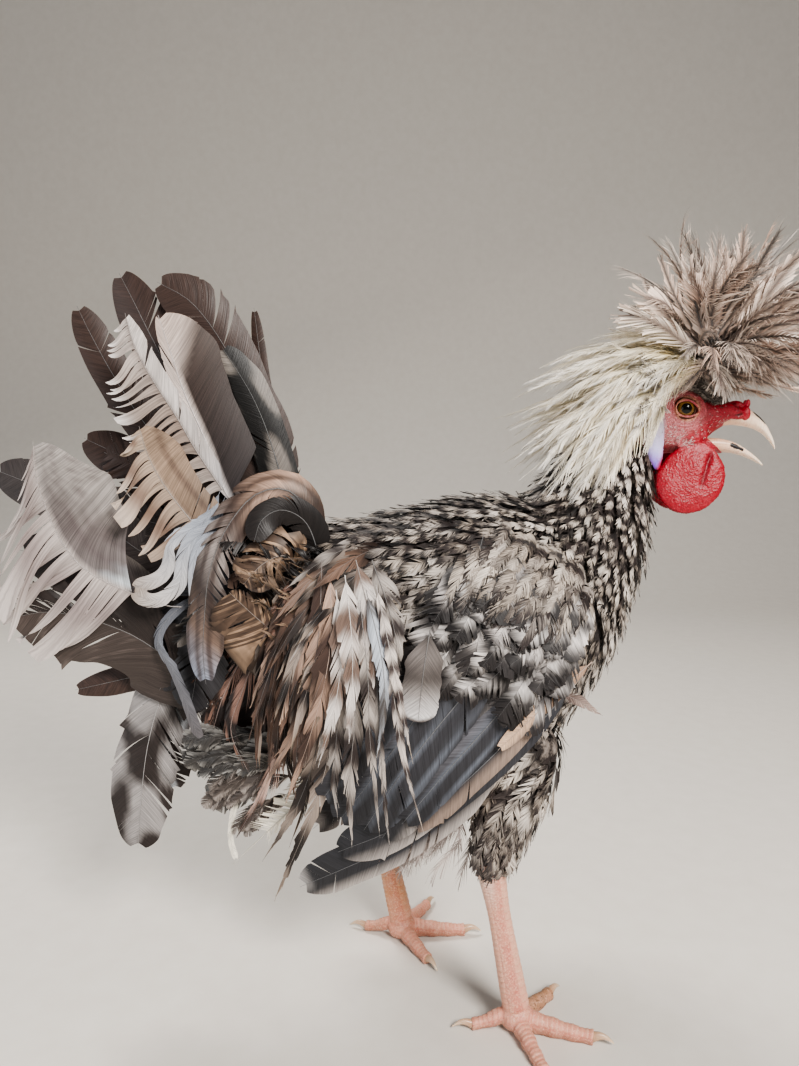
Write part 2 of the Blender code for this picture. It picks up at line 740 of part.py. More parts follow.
def make_crest(mats):
    draw = random.Random(SEED + 1)
    core = ellipsoid("crest_crown", CREST_AT, CREST_CORE, 14, 8, HEAD)
    locks = [
        crown_lock(draw, lift, spread * (2 * (i + draw.uniform(0.2, 0.8)) / count - 1), length)
        for lift, spread, count, length in CROWN_TIERS
        for i in range(count)
    ]
    cuts = [skull("skull_cut", GAP), jaw("jaw_cut", UPPER_JAW, GAP), parting("behind")] + face_clearance()
    node("crest_crown", [core] + locks, cuts, mats["mottled_plumage"])
    nape = upright_loft("crest_nape", NAPE_CORE, 14, spans_height=False, transform=HEAD, squareness=2)
    locks = [
        nape_lock(draw, x, z, rise, 2 * (i + draw.uniform(0.3, 0.7)) / count - 1, length, bend)
        for x, z, rise, count, length, bend in NAPE_TIERS
        for i in range(count)
    ]
    cuts = [skull("skull_cut", GAP), neck("neck_cut", GAP), trunk("trunk_cut", GAP), parting("ahead")]
    cuts += face_clearance()
    node("crest_nape", [nape] + locks, cuts, mats["cream_plumage"])


def face_clearance():
    """Space round the eyes, the comb's horns and the earlobes that crest feathers keep out of."""
    made = []
    for side in (-1, 1):
        made.append(ellipsoid("eye_space", Vector((0, side * EYE_SPACE_Y, 0)), EYE_SPACE, 10, 6, HEAD))
        made.append(comb_horn(side, GAP))
        made.append(earlobe(side, GAP))
    return made


def parting(which):
    """Half space behind or ahead of the plane where the crown meets the nape."""
    near, far = (GAP / 2, -260 * MM) if which == "behind" else (-GAP / 2, 260 * MM)
    wide = 260 * MM
    corners = ((-wide, -wide), (wide, -wide), (wide, wide), (-wide, wide))
    lean = HEAD @ Matrix.Translation(PARTING_AT) @ Matrix.Rotation(PARTING_LEAN, 4, "Y")
    return tube("parting", [[Vector((x, y, z)) for y, z in corners] for x in (near, far)], lean)


def crown_lock(draw, lift, around, length):
    """One crown feather: upright on top, thrown forward in front, falling to the sides below."""
    lift, around = math.radians(lift + draw.uniform(-6, 6)), math.radians(around)
    forward = math.cos(around) * math.cos(lift)
    out = Vector((forward, math.sin(around) * math.cos(lift), math.sin(lift)))
    root = CREST_AT + Vector([o * size for o, size in zip(out, CREST_CORE)]) * 0.6
    reach = length * MM * draw.uniform(0.86, 1.14) * (1 + 0.22 * max(forward, 0) - 0.18 * abs(out.y))
    heading = out + Vector((0.22, 0, 0.3 - 0.15 * abs(out.y))) + Vector([draw.uniform(-0.14, 0.14) for _ in range(3)])
    fall = Vector((out.x, out.y, -CROWN_FALL))
    least, more = CROWN_BEND
    bend = math.radians(least + more * math.cos(lift) * (1 - 0.75 * max(forward, 0)))
    spine = spine_of(HEAD @ root, HEAD.to_3x3() @ heading, reach, HEAD.to_3x3() @ fall, bend,
                     twist=draw.uniform(-0.45, 0.45))
    return vane("lock", spine, draw.uniform(*CROWN_HALF_WIDTH) * MM, pointed)


def nape_lock(draw, x, z, rise, across, length, bend):
    """One long silky feather swept back and down over the neck, lower towards the sides."""
    root = Vector((x + 6 * across**2, 15 * across, z - 9 * across**2 - 3)) * MM
    lift = math.radians(rise - 58 * across**2 + draw.uniform(-6, 6))
    aside = math.radians(38 * across + draw.uniform(-7, 7))
    heading = Vector((-math.cos(lift) * math.cos(aside), math.cos(lift) * math.sin(aside), math.sin(lift)))
    reach = length * MM * draw.uniform(0.88, 1.1) * (1 - 0.14 * abs(across))
    fall = Vector((-0.3, 0.05 * across, -1))
    turn = math.radians(bend * (1 - 0.35 * across**2) + draw.uniform(-5, 5))
    spine = spine_of(HEAD @ root, HEAD.to_3x3() @ heading, reach, HEAD.to_3x3() @ fall, turn)
    return vane("lock", spine, draw.uniform(*NAPE_HALF_WIDTH) * MM, pointed)


# Wings


def make_wing(mats, side, letter):
    feathers = []
    for count, first_root, last_root, first_tip, last_tip, rise, half_width in WING_TIERS:
        for i in range(count):
            share = i / (count - 1)
            start = Vector(first_root).lerp(Vector(last_root), share) * MM
            end = Vector(first_tip).lerp(Vector(last_tip), share) * MM
            feathers.append(flat_feather(side, start, end, rise * MM, half_width * MM))
    hip, hock = (Vector(LEGS[letter][place]) * MM for place in ("hip", "hock"))
    cuts = [trunk("trunk_cut", GAP), neck("neck_cut", GAP), drumstick("thigh_cut", hip, hock, GAP)]
    node(f"wing_{letter}", [wing_pad(side)] + feathers, cuts, mats["slate_plumage"])


def flat_feather(side, start, end, rise, half_width):
    """Feather laid on the flank from one place to another: it follows the flank's curve."""
    outward = Vector((0, side, 0))
    sag = Vector((-(end - start).y, (end - start).x)).normalized() * (end - start).length * -0.05

    def place(t):
        at = start.lerp(end, t) + sag * math.sin(math.pi * t)
        return Vector((at.x, side * (flank_y(at.x, at.y) + rise * min(1, 6 * t) + WING_TIP_RISE * t), at.y))

    spine = []
    for t in ROUND_STOPS:
        ahead = (place(min(t + 0.1, 1)) - place(max(t - 0.1, 0))).normalized()
        up = outward.cross(ahead).normalized() * side
        up = up * math.cos(LOUVRE) - outward * math.sin(LOUVRE)
        spine.append((place(t), up, up.cross(ahead).normalized(), t))
    return vane("flight", spine, half_width, rounded)


def wing_pad(side):
    """A flat lens on the flank that every wing feather is rooted in."""
    rings = []
    for x, z, high in WING_PAD:
        middle = Vector((x * MM, side * (flank_y(x * MM, z * MM) + 0.5 * MM), z * MM))
        rings.append(oval(middle, Vector((0, side, 0)), Vector((0, 0, 1)), WING_PAD_THICKNESS / 2, high * MM, 10))
    return tube("pad", rings)


# Tail


def tail_feather(rise, splay, length, width, curl):
    """Vane from the tail stump. rise is above the level line to the rear, splay is towards the right (minus) or
    left side, curl is how far it turns down by its tip, all in degrees. Length and full width are in mm."""
    up, out = math.radians(rise), math.radians(splay)
    heading = Vector((-math.cos(up) * math.cos(out), math.sin(out), math.sin(up) * math.cos(out)))
    fall = Vector((-math.sin(up), 0, -math.cos(up)))
    start = TAIL_ROOT + Vector((0, SPLAY_STEP * splay, 0))
    stops = CURLED_STOPS if curl > MOST_PLAIN_CURL else ROUND_STOPS
    spine = spine_of(start, heading, length * MM, fall, math.radians(curl), twist=math.radians(90), stops=stops)
    return vane("tail_feather", spine, width * MM / 2, rounded)


def make_tail(mats):
    stump = ellipsoid("stump", TAIL_ROOT + Vector((2, 0, 0)) * MM, TAIL_STUMP, 14, 10)
    feathers = []
    for group in (RECTRICES, SICKLES, CURLED, HANGING):
        feathers += [tail_feather(*row) for row in group]
    node("tail", [stump] + feathers, [trunk("trunk_cut", GAP)] + saddle_hackles(GAP), mats["tail_plumage"])


# Legs


def make_leg(mats, letter, hip, hock, ankle, heading, side):
    hip, hock, ankle = (Vector(p) * MM for p in (hip, hock, ankle))
    make_thigh(mats, letter, hip, hock)
    make_shank(mats, letter, hock, ankle, heading, side)


def leg_ring(at, axis, half_depth, half_width, count, squareness=2.0):
    forward = (Vector((1, 0, 0)) - axis * axis.x).normalized()
    return oval(at, forward, axis.cross(forward), half_depth, half_width, count, squareness)


def drumstick(name, hip, hock, grow=0.0):
    """Feathered thigh from the flank past the hock, where it is cut off level."""
    rows = 7
    axis = (hock - hip).normalized()
    end = hock + axis * HOCK_OVERRUN
    rings = []
    for i in range(rows):
        t = i / (rows - 1)
        at = hip.lerp(end, t) + Vector((THIGH_BULGE * math.sin(math.pi * t), 0, 0))
        depth, wide = (smooth(a, b, t) + grow for a, b in zip(HIP_SIZE, HOCK_SIZE))
        rings.append(leg_ring(at, axis, depth, wide, 18))
    return tube(name, rings)


def make_thigh(mats, letter, hip, hock):
    cuts = [trunk("trunk_cut", GAP), level_cut("below", hock, hock.z, -60 * MM)]
    node(f"thigh_{letter}", [drumstick("thigh", hip, hock)], cuts, mats["mottled_plumage"])


def level_cut(name, at, start, depth):
    """Block round a leg from one height upwards or downwards."""
    wide = 60 * MM
    corners = ((-wide, -wide), (wide, -wide), (wide, wide), (-wide, wide))
    return tube(name, [[Vector((at.x + x, at.y + y, z)) for x, y in corners] for z in (start, start + depth)])


def shank_pieces(hock, ankle, grow=0.0):
    """Shank from above the hock to the ball of the foot."""
    top = hock + (hock - ankle).normalized() * HOCK_OVERRUN
    axis = (ankle - top).normalized()
    rings = []
    count = 10
    for i in range(SHANK_RINGS):
        t = i / (SHANK_RINGS - 1)
        above = t < SHANK_WAIST
        ends = (SHANK_TOP, SHANK_MIDDLE) if above else (SHANK_MIDDLE, SHANK_FOOT)
        part = t / SHANK_WAIST if above else (t - SHANK_WAIST) / (1 - SHANK_WAIST)
        depth, wide = (smooth(a, b, part) for a, b in zip(*ends))
        rings.append(leg_ring(top.lerp(ankle, t), axis, depth + grow, wide + grow, count, 2.2))
    return [
        tube("shank", rings),
        ellipsoid("foot_ball", ankle + BALL_AT, BALL_SIZE + Vector((1, 1, 1)) * grow, 10, 7),
    ]


def floor_cut():
    """Everything under the floor."""
    wide = 400 * MM
    corners = ((-wide, -wide), (wide, -wide), (wide, wide), (-wide, wide))
    return tube("floor", [[Vector((x, y, z)) for x, y in corners] for z in (-60 * MM, 0)])


def make_shank(mats, letter, hock, ankle, heading, side):
    above = level_cut("above", hock, hock.z - GAP, 60 * MM)
    node(f"shank_{letter}", shank_pieces(hock, ankle), [floor_cut(), above], mats["leg_scales"])
    shapes = {
        toe: (ankle, math.radians(heading + side * spread), length * MM, half_width * MM, toe == "hind")
        for toe, (spread, length, half_width) in TOES.items()
    }
    for i, (toe, shape) in enumerate(shapes.items()):
        earlier = [toe_body(*other, GAP) for other in list(shapes.values())[:i]]
        make_toe(mats, letter, toe, shape, earlier + shank_pieces(hock, ankle, GAP))


def toe_track(ankle, turn, length, hind):
    ahead = Vector((math.cos(turn), math.sin(turn), 0))
    start = Vector((ankle.x, ankle.y, HIND_TOE_Z if hind else TOE_Z))
    return ahead, start


def toe_body(ankle, turn, length, half_width, hind, grow=0.0):
    """Toe with knuckles, flat where it bears on the floor."""
    ahead, start = toe_track(ankle, turn, length, hind)
    across = Vector((-ahead.y, ahead.x, 0))
    up = Vector((0, 0, 1))
    rings = []
    for i in range(TOE_RINGS):
        t = i / (TOE_RINGS - 1)
        knuckle = 1 + (0.07 if i % 2 == 0 else -0.07)
        wide = smooth(half_width, half_width * 0.68, t) * knuckle + grow
        high = smooth(half_width * 1.12, half_width * 0.72, t) * knuckle + grow
        at = start + ahead * (length * t)
        at.z = smooth(start.z, half_width * 0.62, t) + (0.0 if not hind else 0.4 * MM)
        rings.append(oval(at, across, up, wide, high, 8, 2.2))
    return tube("toe", rings)


def make_toe(mats, letter, toe, shape, neighbours):
    node(f"toe_{toe}_{letter}", [toe_body(*shape)], [floor_cut()] + neighbours, mats["leg_scales"])
    ankle, turn, length, half_width, hind = shape
    ahead, start = toe_track(ankle, turn, length, hind)
    across, up = Vector((-ahead.y, ahead.x, 0)), Vector((0, 0, 1))
    end = start + ahead * (length + GAP)
    rings = []
    for i in range(CLAW_RINGS):
        t = i / (CLAW_RINGS - 1)
        at = end + ahead * (CLAW_LENGTH * t)
        at.z = half_width * 0.66 + 1.9 * MM * math.sin(math.pi * t) - 1.2 * MM * t
        size = half_width * 0.5 * (1 - t) ** 0.8 + 0.3 * MM
        rings.append(oval(at, across, up, size * 0.85, size * 1.1, 6))
    node(f"claw_{toe}_{letter}", [tube("claw", rings)], [floor_cut()], mats["claw_horn"])


def centre_on_origin():
    """Moves the bird so that its box stands on Z = 0 with its middle over the origin."""
    points = np.array([v.co for obj in bpy.context.scene.objects for v in obj.data.vertices])
    middle = (points.min(0) + points.max(0)) / 2
    shift = Vector((-middle[0], -middle[1], -points[:, 2].min()))
    for obj in bpy.context.scene.objects:
        obj.data.transform(Matrix.Translation(shift))
    print("moved by", [round(v / MM, 2) for v in shift], "mm")


def main():
    for obj in list(bpy.data.objects):
        bpy.data.objects.remove(obj)
    mats = {name: material(name, *look) for name, look in MATERIALS.items()}
    make_body(mats)
    make_head(mats)
    make_crest(mats)
    for side, letter in ((-1, "R"), (1, "L")):
        make_wing(mats, side, letter)
    make_tail(mats)
    for letter, leg in LEGS.items():
        make_leg(mats, letter, **leg)
    centre_on_origin()


main()
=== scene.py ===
"""Looks of a Polish crested cock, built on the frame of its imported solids.

Sizes are in millimetres in the bird's own coordinates: +X is the way it faces, its right side is -Y and
towards the camera, and the floor is Z = 0. Every mesh is moved by SHIFT into the frame of the solids.
"""

import math
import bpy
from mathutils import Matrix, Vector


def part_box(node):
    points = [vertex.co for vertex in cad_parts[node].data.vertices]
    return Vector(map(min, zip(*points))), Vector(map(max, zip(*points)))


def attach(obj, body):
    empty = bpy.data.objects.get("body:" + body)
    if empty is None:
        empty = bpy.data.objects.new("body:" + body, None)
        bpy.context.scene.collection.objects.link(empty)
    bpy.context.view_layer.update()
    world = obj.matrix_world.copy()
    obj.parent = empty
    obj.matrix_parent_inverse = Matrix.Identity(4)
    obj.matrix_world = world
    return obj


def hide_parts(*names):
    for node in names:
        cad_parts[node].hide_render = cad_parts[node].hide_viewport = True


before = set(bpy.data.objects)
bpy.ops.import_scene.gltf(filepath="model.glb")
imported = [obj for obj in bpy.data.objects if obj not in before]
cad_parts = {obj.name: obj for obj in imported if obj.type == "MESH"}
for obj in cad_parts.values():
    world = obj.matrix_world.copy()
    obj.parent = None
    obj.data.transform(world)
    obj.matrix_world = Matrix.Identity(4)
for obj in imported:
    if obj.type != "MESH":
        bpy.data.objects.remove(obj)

from types import SimpleNamespace

import bmesh
import bpy
import numpy as np
from mathutils import Matrix, Vector, noise
from mathutils.bvhtree import BVHTree

MM = 0.001
SEED = 11
HEAD_AT = np.array((161.5, -10.0, 350.0))
HEAD_YAW = math.radians(8)
HEAD_PITCH = math.radians(8)
HEAD_TURN = Matrix.Rotation(-HEAD_YAW, 4, "Z") @ Matrix.Rotation(HEAD_PITCH, 4, "Y")
HEAD = Matrix.Translation(HEAD_AT) @ HEAD_TURN


def middle_of(node):
    low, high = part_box(node)
    return (np.array(low) + np.array(high)) / 2 / MM


SHIFT = (middle_of("eye_R") + middle_of("eye_L")) / 2 - HEAD_AT
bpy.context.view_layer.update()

# The photograph's camera
PHOTO_SIZE = (799, 1066)
FOCAL_PIXELS = 800
CAMERA_PITCH = math.radians(6.3)
CAMERA_HEIGHT = 330
CAMERA_DISTANCE = 475
SENSOR = 36


def seen(u, v, y):
    """The place at depth y that the photograph shows at pixel (u, v)."""
    right = (u - PHOTO_SIZE[0] / 2) / FOCAL_PIXELS
    up = (PHOTO_SIZE[1] / 2 - v) / FOCAL_PIXELS
    reach = (y + CAMERA_DISTANCE) / (math.cos(CAMERA_PITCH) + up * math.sin(CAMERA_PITCH))
    height = CAMERA_HEIGHT + reach * (up * math.cos(CAMERA_PITCH) - math.sin(CAMERA_PITCH))
    return np.array((right * reach, y, height))


def make_camera():
    data = bpy.data.cameras.new("camera")
    data.sensor_width = SENSOR
    data.sensor_fit = "AUTO"
    data.lens = SENSOR * FOCAL_PIXELS / PHOTO_SIZE[1]
    data.clip_end = 50
    obj = bpy.data.objects.new("camera", data)
    obj.location = (np.array((0, -CAMERA_DISTANCE, CAMERA_HEIGHT)) + SHIFT) * MM
    obj.rotation_euler = (math.pi / 2 - CAMERA_PITCH, 0, 0)
    bpy.context.scene.collection.objects.link(obj)
    bpy.context.scene.camera = obj


# Colour


def linear(code):
    """Scene-linear colour from a hex code as the eye reads it."""
    values = np.array([int(code[i : i + 2], 16) for i in (1, 3, 5)]) / 255
    return np.where(values <= 0.04045, values / 12.92, ((values + 0.055) / 1.055) ** 2.4)


def tone_of(colour):
    """A colour as it is, or from its hex code."""
    return linear(colour) if isinstance(colour, str) else colour


INK = linear("#1d1817")
DARK = linear("#2f2624")
SLATE = linear("#4a4a50")
STEEL = linear("#77767c")
CREAM = linear("#ddd0c2")
ASH = linear("#bdb4ae")
PEARL = linear("#e6e0dc")
TAN = linear("#b3937c")
STRAW = linear("#e2d5b6")
IVORY = linear("#ebe4d2")


# Meshes


def unit(ways):
    return ways / np.maximum(np.linalg.norm(ways, axis=-1, keepdims=True), 1e-9)


def vectors(x, y, z):
    """Rows of vectors from their parts, each an array or a number."""
    return np.stack(np.broadcast_arrays(x, y, z), -1).astype(float)


def add_mesh(name, points, faces, uvs=(), colours=(), materials=(), slots=None):
    """Object from points in mm and faces with equal corner counts. UVs and colours are per point."""
    points, faces = np.asarray(points, float), np.asarray(faces, np.int32)
    mesh = bpy.data.meshes.new(name)
    mesh.vertices.add(len(points))
    mesh.vertices.foreach_set("co", ((points + SHIFT) * MM).astype(np.float32).ravel())
    mesh.loops.add(faces.size)
    mesh.loops.foreach_set("vertex_index", faces.ravel())
    mesh.polygons.add(len(faces))
    mesh.polygons.foreach_set("loop_start", np.arange(len(faces), dtype=np.int32) * faces.shape[1])
    mesh.update(calc_edges=True)
    for key, values in dict(uvs).items():
        layer = mesh.uv_layers.new(name=key)
        layer.data.foreach_set("uv", np.asarray(values, np.float32)[faces.ravel()].ravel())
    for key, values in dict(colours).items():
        put_colour(mesh, key, values)
    for made in materials:
        mesh.materials.append(made)
    if slots is not None:
        mesh.polygons.foreach_set("material_index", np.asarray(slots, np.int32))
    mesh.shade_smooth()
    obj = bpy.data.objects.new(name, mesh)
    bpy.context.scene.collection.objects.link(obj)
    return obj


def put_colour(mesh, key, values):
    values = np.asarray(values, float)
    if values.shape[1] == 3:
        values = np.hstack([values, np.ones((len(values), 1))])
    layer = mesh.attributes.new(key, "FLOAT_COLOR", "POINT")
    layer.data.foreach_set("color", values.astype(np.float32).ravel())


def points_of(obj):
    found = np.empty(len(obj.data.vertices) * 3, np.float32)
    obj.data.vertices.foreach_get("co", found)
    return found.reshape(-1, 3) / MM - SHIFT


def set_points(obj, points):
    obj.data.vertices.foreach_set("co", ((points + SHIFT) * MM).astype(np.float32).ravel())
    obj.data.update()


def normals_of(obj):
    found = np.empty(len(obj.data.vertices) * 3, np.float32)
    obj.data.vertex_normals.foreach_get("vector", found)
    return found.reshape(-1, 3)


def refined(stations, steps):
    """The stations with smooth ones put between them, by Catmull-Rom."""
    points = np.array(stations, float)
    points = np.vstack([2 * points[0] - points[1], points, 2 * points[-1] - points[-2]])
    found = []
    for i in range(1, len(points) - 2):
        p0, p1, p2, p3 = points[i - 1 : i + 3]
        for t in np.arange(steps) / steps:
            found.append(0.5 * (2 * p1 + (p2 - p0) * t + (2 * p0 - 5 * p1 + 4 * p2 - p3) * t * t
                                + (3 * p1 - p0 - 3 * p2 + p3) * t**3))
    found.append(points[-2])
    return np.array(found)


def oval(centre, along, across, half_along, half_across, count, squareness=2.0):
    turn = 2 * np.pi * np.arange(count) / count
    c, s = np.cos(turn), np.sin(turn)
    share_c = np.sign(c) * np.abs(c) ** (2 / squareness)
    share_s = np.sign(s) * np.abs(s) ** (2 / squareness)
    return centre + np.outer(share_c * half_along, along) + np.outer(share_s * half_across, across)


def tube_arrays(rings):
    """Points and triangles of a closed skin over rings of equal point counts."""
    rings = np.array(rings, float)
    rows, count = rings.shape[:2]
    points = np.vstack([rings.reshape(-1, 3), rings[0].mean(0), rings[-1].mean(0)])
    i, j = np.meshgrid(np.arange(rows - 1), np.arange(count), indexing="ij")
    a, b = (i * count + j).ravel(), (i * count + (j + 1) % count).ravel()
    faces = [np.stack([a, b, b + count], 1), np.stack([a, b + count, a + count], 1)]
    around = np.arange(count)
    last = (rows - 1) * count
    faces.append(np.stack([(around + 1) % count, around, np.full(count, rows * count)], 1))
    faces.append(np.stack([last + around, last + (around + 1) % count, np.full(count, rows * count + 1)], 1))
    return points, np.vstack(faces)


def tube(name, rings, transform=None):
    points, faces = tube_arrays(rings)
    if transform is not None:
        points = moved(points, transform)
    obj = add_mesh(name, points, faces)
    turned_out(obj)
    return obj


def moved(points, transform):
    grid = np.array(transform)
    return points @ grid[:3, :3].T + grid[:3, 3]


def turned(ways, transform):
    return ways @ np.array(transform)[:3, :3].T


def turned_out(obj):
    work = bmesh.new()
    work.from_mesh(obj.data)
    bmesh.ops.recalc_face_normals(work, faces=work.faces)
    work.to_mesh(obj.data)
    work.free()


def ball(name, centre, size, transform=None, segments=32, rings=20):
    work = bmesh.new()
    bmesh.ops.create_uvsphere(work, u_segments=segments, v_segments=rings, radius=1.0)
    mesh = bpy.data.meshes.new(name)
    work.to_mesh(mesh)
    work.free()
    obj = bpy.data.objects.new(name, mesh)
    bpy.context.scene.collection.objects.link(obj)
    found = np.empty(len(mesh.vertices) * 3, np.float32)
    mesh.vertices.foreach_get("co", found)
    points = found.reshape(-1, 3) * np.array(size, float) + np.array(centre, float)
    set_points(obj, moved(points, transform) if transform is not None else points)
    return obj


def melted(name, pieces, voxel, rounds):
    """One smooth skin over overlapping closed pieces."""
    work = bmesh.new()
    for piece in pieces:
        work.from_mesh(piece.data)
        bpy.data.objects.remove(piece)
    mesh = bpy.data.meshes.new(name)
    work.to_mesh(mesh)
    work.free()
    obj = bpy.data.objects.new(name, mesh)
    bpy.context.scene.collection.objects.link(obj)
    remesh = obj.modifiers.new("melt", "REMESH")
    remesh.mode = "VOXEL"
    remesh.voxel_size = voxel * MM
    smooth = obj.modifiers.new("smooth", "SMOOTH")
    smooth.factor = 0.5
    smooth.iterations = rounds
    bpy.context.view_layer.update()
    result = bpy.data.meshes.new_from_object(obj.evaluated_get(bpy.context.evaluated_depsgraph_get()))
    obj.modifiers.clear()
    obj.data = result
    obj.data.name = name
    obj.data.shade_smooth()
    return obj


def joined(name, pieces):
    """One object of several that have the same layers, with each one's materials kept."""
    with bpy.context.temp_override(
        active_object=pieces[0], object=pieces[0], selected_objects=pieces, selected_editable_objects=pieces
    ):
        bpy.ops.object.join()
    pieces[0].name = pieces[0].data.name = name
    return pieces[0]


# Materials


class Nodes:
    """Short words for building a shader."""

    def __init__(self, name, **sockets):
        self.material = bpy.data.materials.new(name)
        self.material.use_nodes = True
        self.tree = self.material.node_tree
        self.shader = self.tree.nodes["Principled BSDF"]
        for key, value in sockets.items():
            self.shader.inputs[key.replace("_", " ")].default_value = value

    def put(self, socket, value):
        """Links a socket to another or sets it to a number, a colour or a hex code."""
        value = tone_of(value)
        if isinstance(value, (int, float)):
            socket.default_value = value
        elif isinstance(value, (tuple, list, np.ndarray)):
            filled = list(value)
            if len(filled) == 3 and socket.type == "RGBA":
                filled.append(1)
            socket.default_value = filled
        else:
            self.tree.links.new(value, socket)

    def node(self, kind, output=0, **inputs):
        """A node's output. Names with set_ are its settings, i0 and so on its inputs by place."""
        made = self.tree.nodes.new(kind)
        for key, value in inputs.items():
            if key.startswith("set_"):
                setattr(made, key[4:], value)
        for key, value in inputs.items():
            if not key.startswith("set_"):
                numbered = key[0] == "i" and key[1:].isdigit()
                socket = made.inputs[int(key[1:]) if numbered else key]
                self.put(socket, value)
        return made.outputs[output]

    def math(self, operation, a, b=0.0):
        return self.node("ShaderNodeMath", set_operation=operation, i0=a, i1=b)

    def times(self, a, b):
        return self.math("MULTIPLY", a, b)

    def plus(self, a, b):
        return self.math("ADD", a, b)

    def minus(self, a, b):
        return self.math("SUBTRACT", a, b)

    def mix(self, share, a, b, blend="MIX"):
        return self.node("ShaderNodeMix", output=2, set_data_type="RGBA", set_blend_type=blend, i0=share,
                         i6=a, i7=b)

    def step(self, value, low, high):
        """0 below low, 1 above high and smooth between."""
        return self.node("ShaderNodeMapRange", set_interpolation_type="SMOOTHSTEP", i0=value, i1=low, i2=high)

    def noise(self, place, scale, detail=2.0):
        return self.node("ShaderNodeTexNoise", Vector=place, Scale=scale, Detail=detail)

    def colour(self, name):
        return self.node("ShaderNodeAttribute", set_attribute_name=name)

    def parts(self, value):
        made = self.tree.nodes.new("ShaderNodeSeparateColor")
        self.put(made.inputs[0], value)
        return made.outputs

    def xyz(self, value):
        made = self.tree.nodes.new("ShaderNodeSeparateXYZ")
        self.put(made.inputs[0], value)
        return made.outputs

    def place(self, x, y, z=0.0):
        return self.node("ShaderNodeCombineXYZ", i0=x, i1=y, i2=z)

    def uv(self, name):
        return self.node("ShaderNodeUVMap", set_uv_map=name)

    def object_place(self):
        return self.node("ShaderNodeTexCoord", output=3)

    def out(self, key, value):
        self.put(self.shader.inputs[key], value)

    def bump(self, height, strength, distance):
        self.out("Normal", self.node("ShaderNodeBump", Height=height, Strength=strength, Distance=distance))


def plumage(name, roughness, streak, pattern="plain"):
    """Feather material. It reads from each feather a light colour, a dark colour and a mark: seed, bars and
    strength. Lie is the place along and across the feather, Barb the place along its barbs. A spotted
    feather is dark with soft light spots, and its strength is how light it is. A plain one has soft dark
    patches as strong as the mark says."""
    n = Nodes(name, Roughness=roughness, Sheen_Weight=0.15, Sheen_Roughness=0.4, Specular_IOR_Level=0.3)
    lie, barb = n.xyz(n.uv("Lie")), n.xyz(n.uv("Barb"))
    seed, bars, strength = n.parts(n.colour("Mark"))[:3]
    across = n.math("ABSOLUTE", n.minus(n.times(lie[1], 2), 1))
    shifted = n.times(seed, 37)
    fine = n.noise(n.place(n.times(barb[0], 13), n.times(barb[1], 1.0), shifted), 1.0, 3.0)
    broad = n.noise(n.place(n.times(lie[0], 3.0), n.times(lie[1], 2.0), shifted), 1.0, 2.0)
    uneven = n.minus(broad, 0.5)
    barbs = n.minus(fine, 0.5)
    if pattern == "spots":
        place = n.minus(lie[0], n.plus(0.60, n.times(uneven, 0.22)))
        wave = n.math("COSINE", n.times(n.times(place, bars), 2 * math.pi))
        wave = n.minus(wave, n.times(n.times(across, across), 1.5))
        wave = n.plus(wave, n.times(barbs, 2.6))
        wave = n.plus(wave, n.times(strength, 1.7))
        dark = n.minus(1.0, n.step(wave, 0.45, 2.5))
    else:
        dark = n.times(n.step(n.plus(broad, n.times(barbs, 0.6)), 0.42, 0.72), strength)
    colour = n.mix(dark, n.colour("Tint"), n.colour("Shade"))
    grey = n.plus(n.times(barbs, 2 * streak), 1)
    colour = n.mix(1.0, colour, n.node("ShaderNodeCombineColor", i0=grey, i1=grey, i2=grey), "MULTIPLY")
    n.out("Base Color", colour)
    n.bump(fine, 0.4, 0.0004)
    return n.material


# Feathers


def soft_noise(draw, rows, count, period):
    """Rows of smooth random values between -1 and 1, which change over about `period` places."""
    knots = max(int(count / period) + 2, 3)
    raw = draw.uniform(-1, 1, (rows, knots))
    at = np.linspace(0, knots - 1.001, count)
    low = at.astype(int)
    part = at - low
    part = part * part * (3 - 2 * part)
    return raw[:, low] * (1 - part) + raw[:, low + 1] * part


def along(track, share):
    """Values of each feather's track (F, K, 3) at shares of its length, also a little past its end."""
    count = track.shape[1]
    at = np.clip(share, 0, None) * (count - 1)
    low = np.clip(at.astype(int), 0, count - 2)
    part = (at - low)[..., None]
    rows = np.arange(len(track)).reshape(-1, *([1] * (share.ndim - 1)))
    return track[rows, low] * (1 - part) + track[rows, low + 1] * part


def frames_of(points, facing):
    """Unit side and face vectors along spines (F, K, 3), with the face as near to `facing` as it can be."""
    ahead = unit(np.gradient(points, axis=1))
    facing = np.broadcast_to(facing, points.shape)
    face = unit(facing - ahead * (facing * ahead).sum(-1, keepdims=True))
    return np.cross(ahead, face), face


def marks(draw, count, bars, strength):
    """Seed, bars and strength of each feather. The last two are values, or spans to draw from."""
    def drawn(value):
        return draw.uniform(*value, count) if isinstance(value, tuple) else value
    return vectors(draw.random(count), drawn(bars), drawn(strength))


PIECE_TRIANGLES = 190000  # the most in one piece of a coat


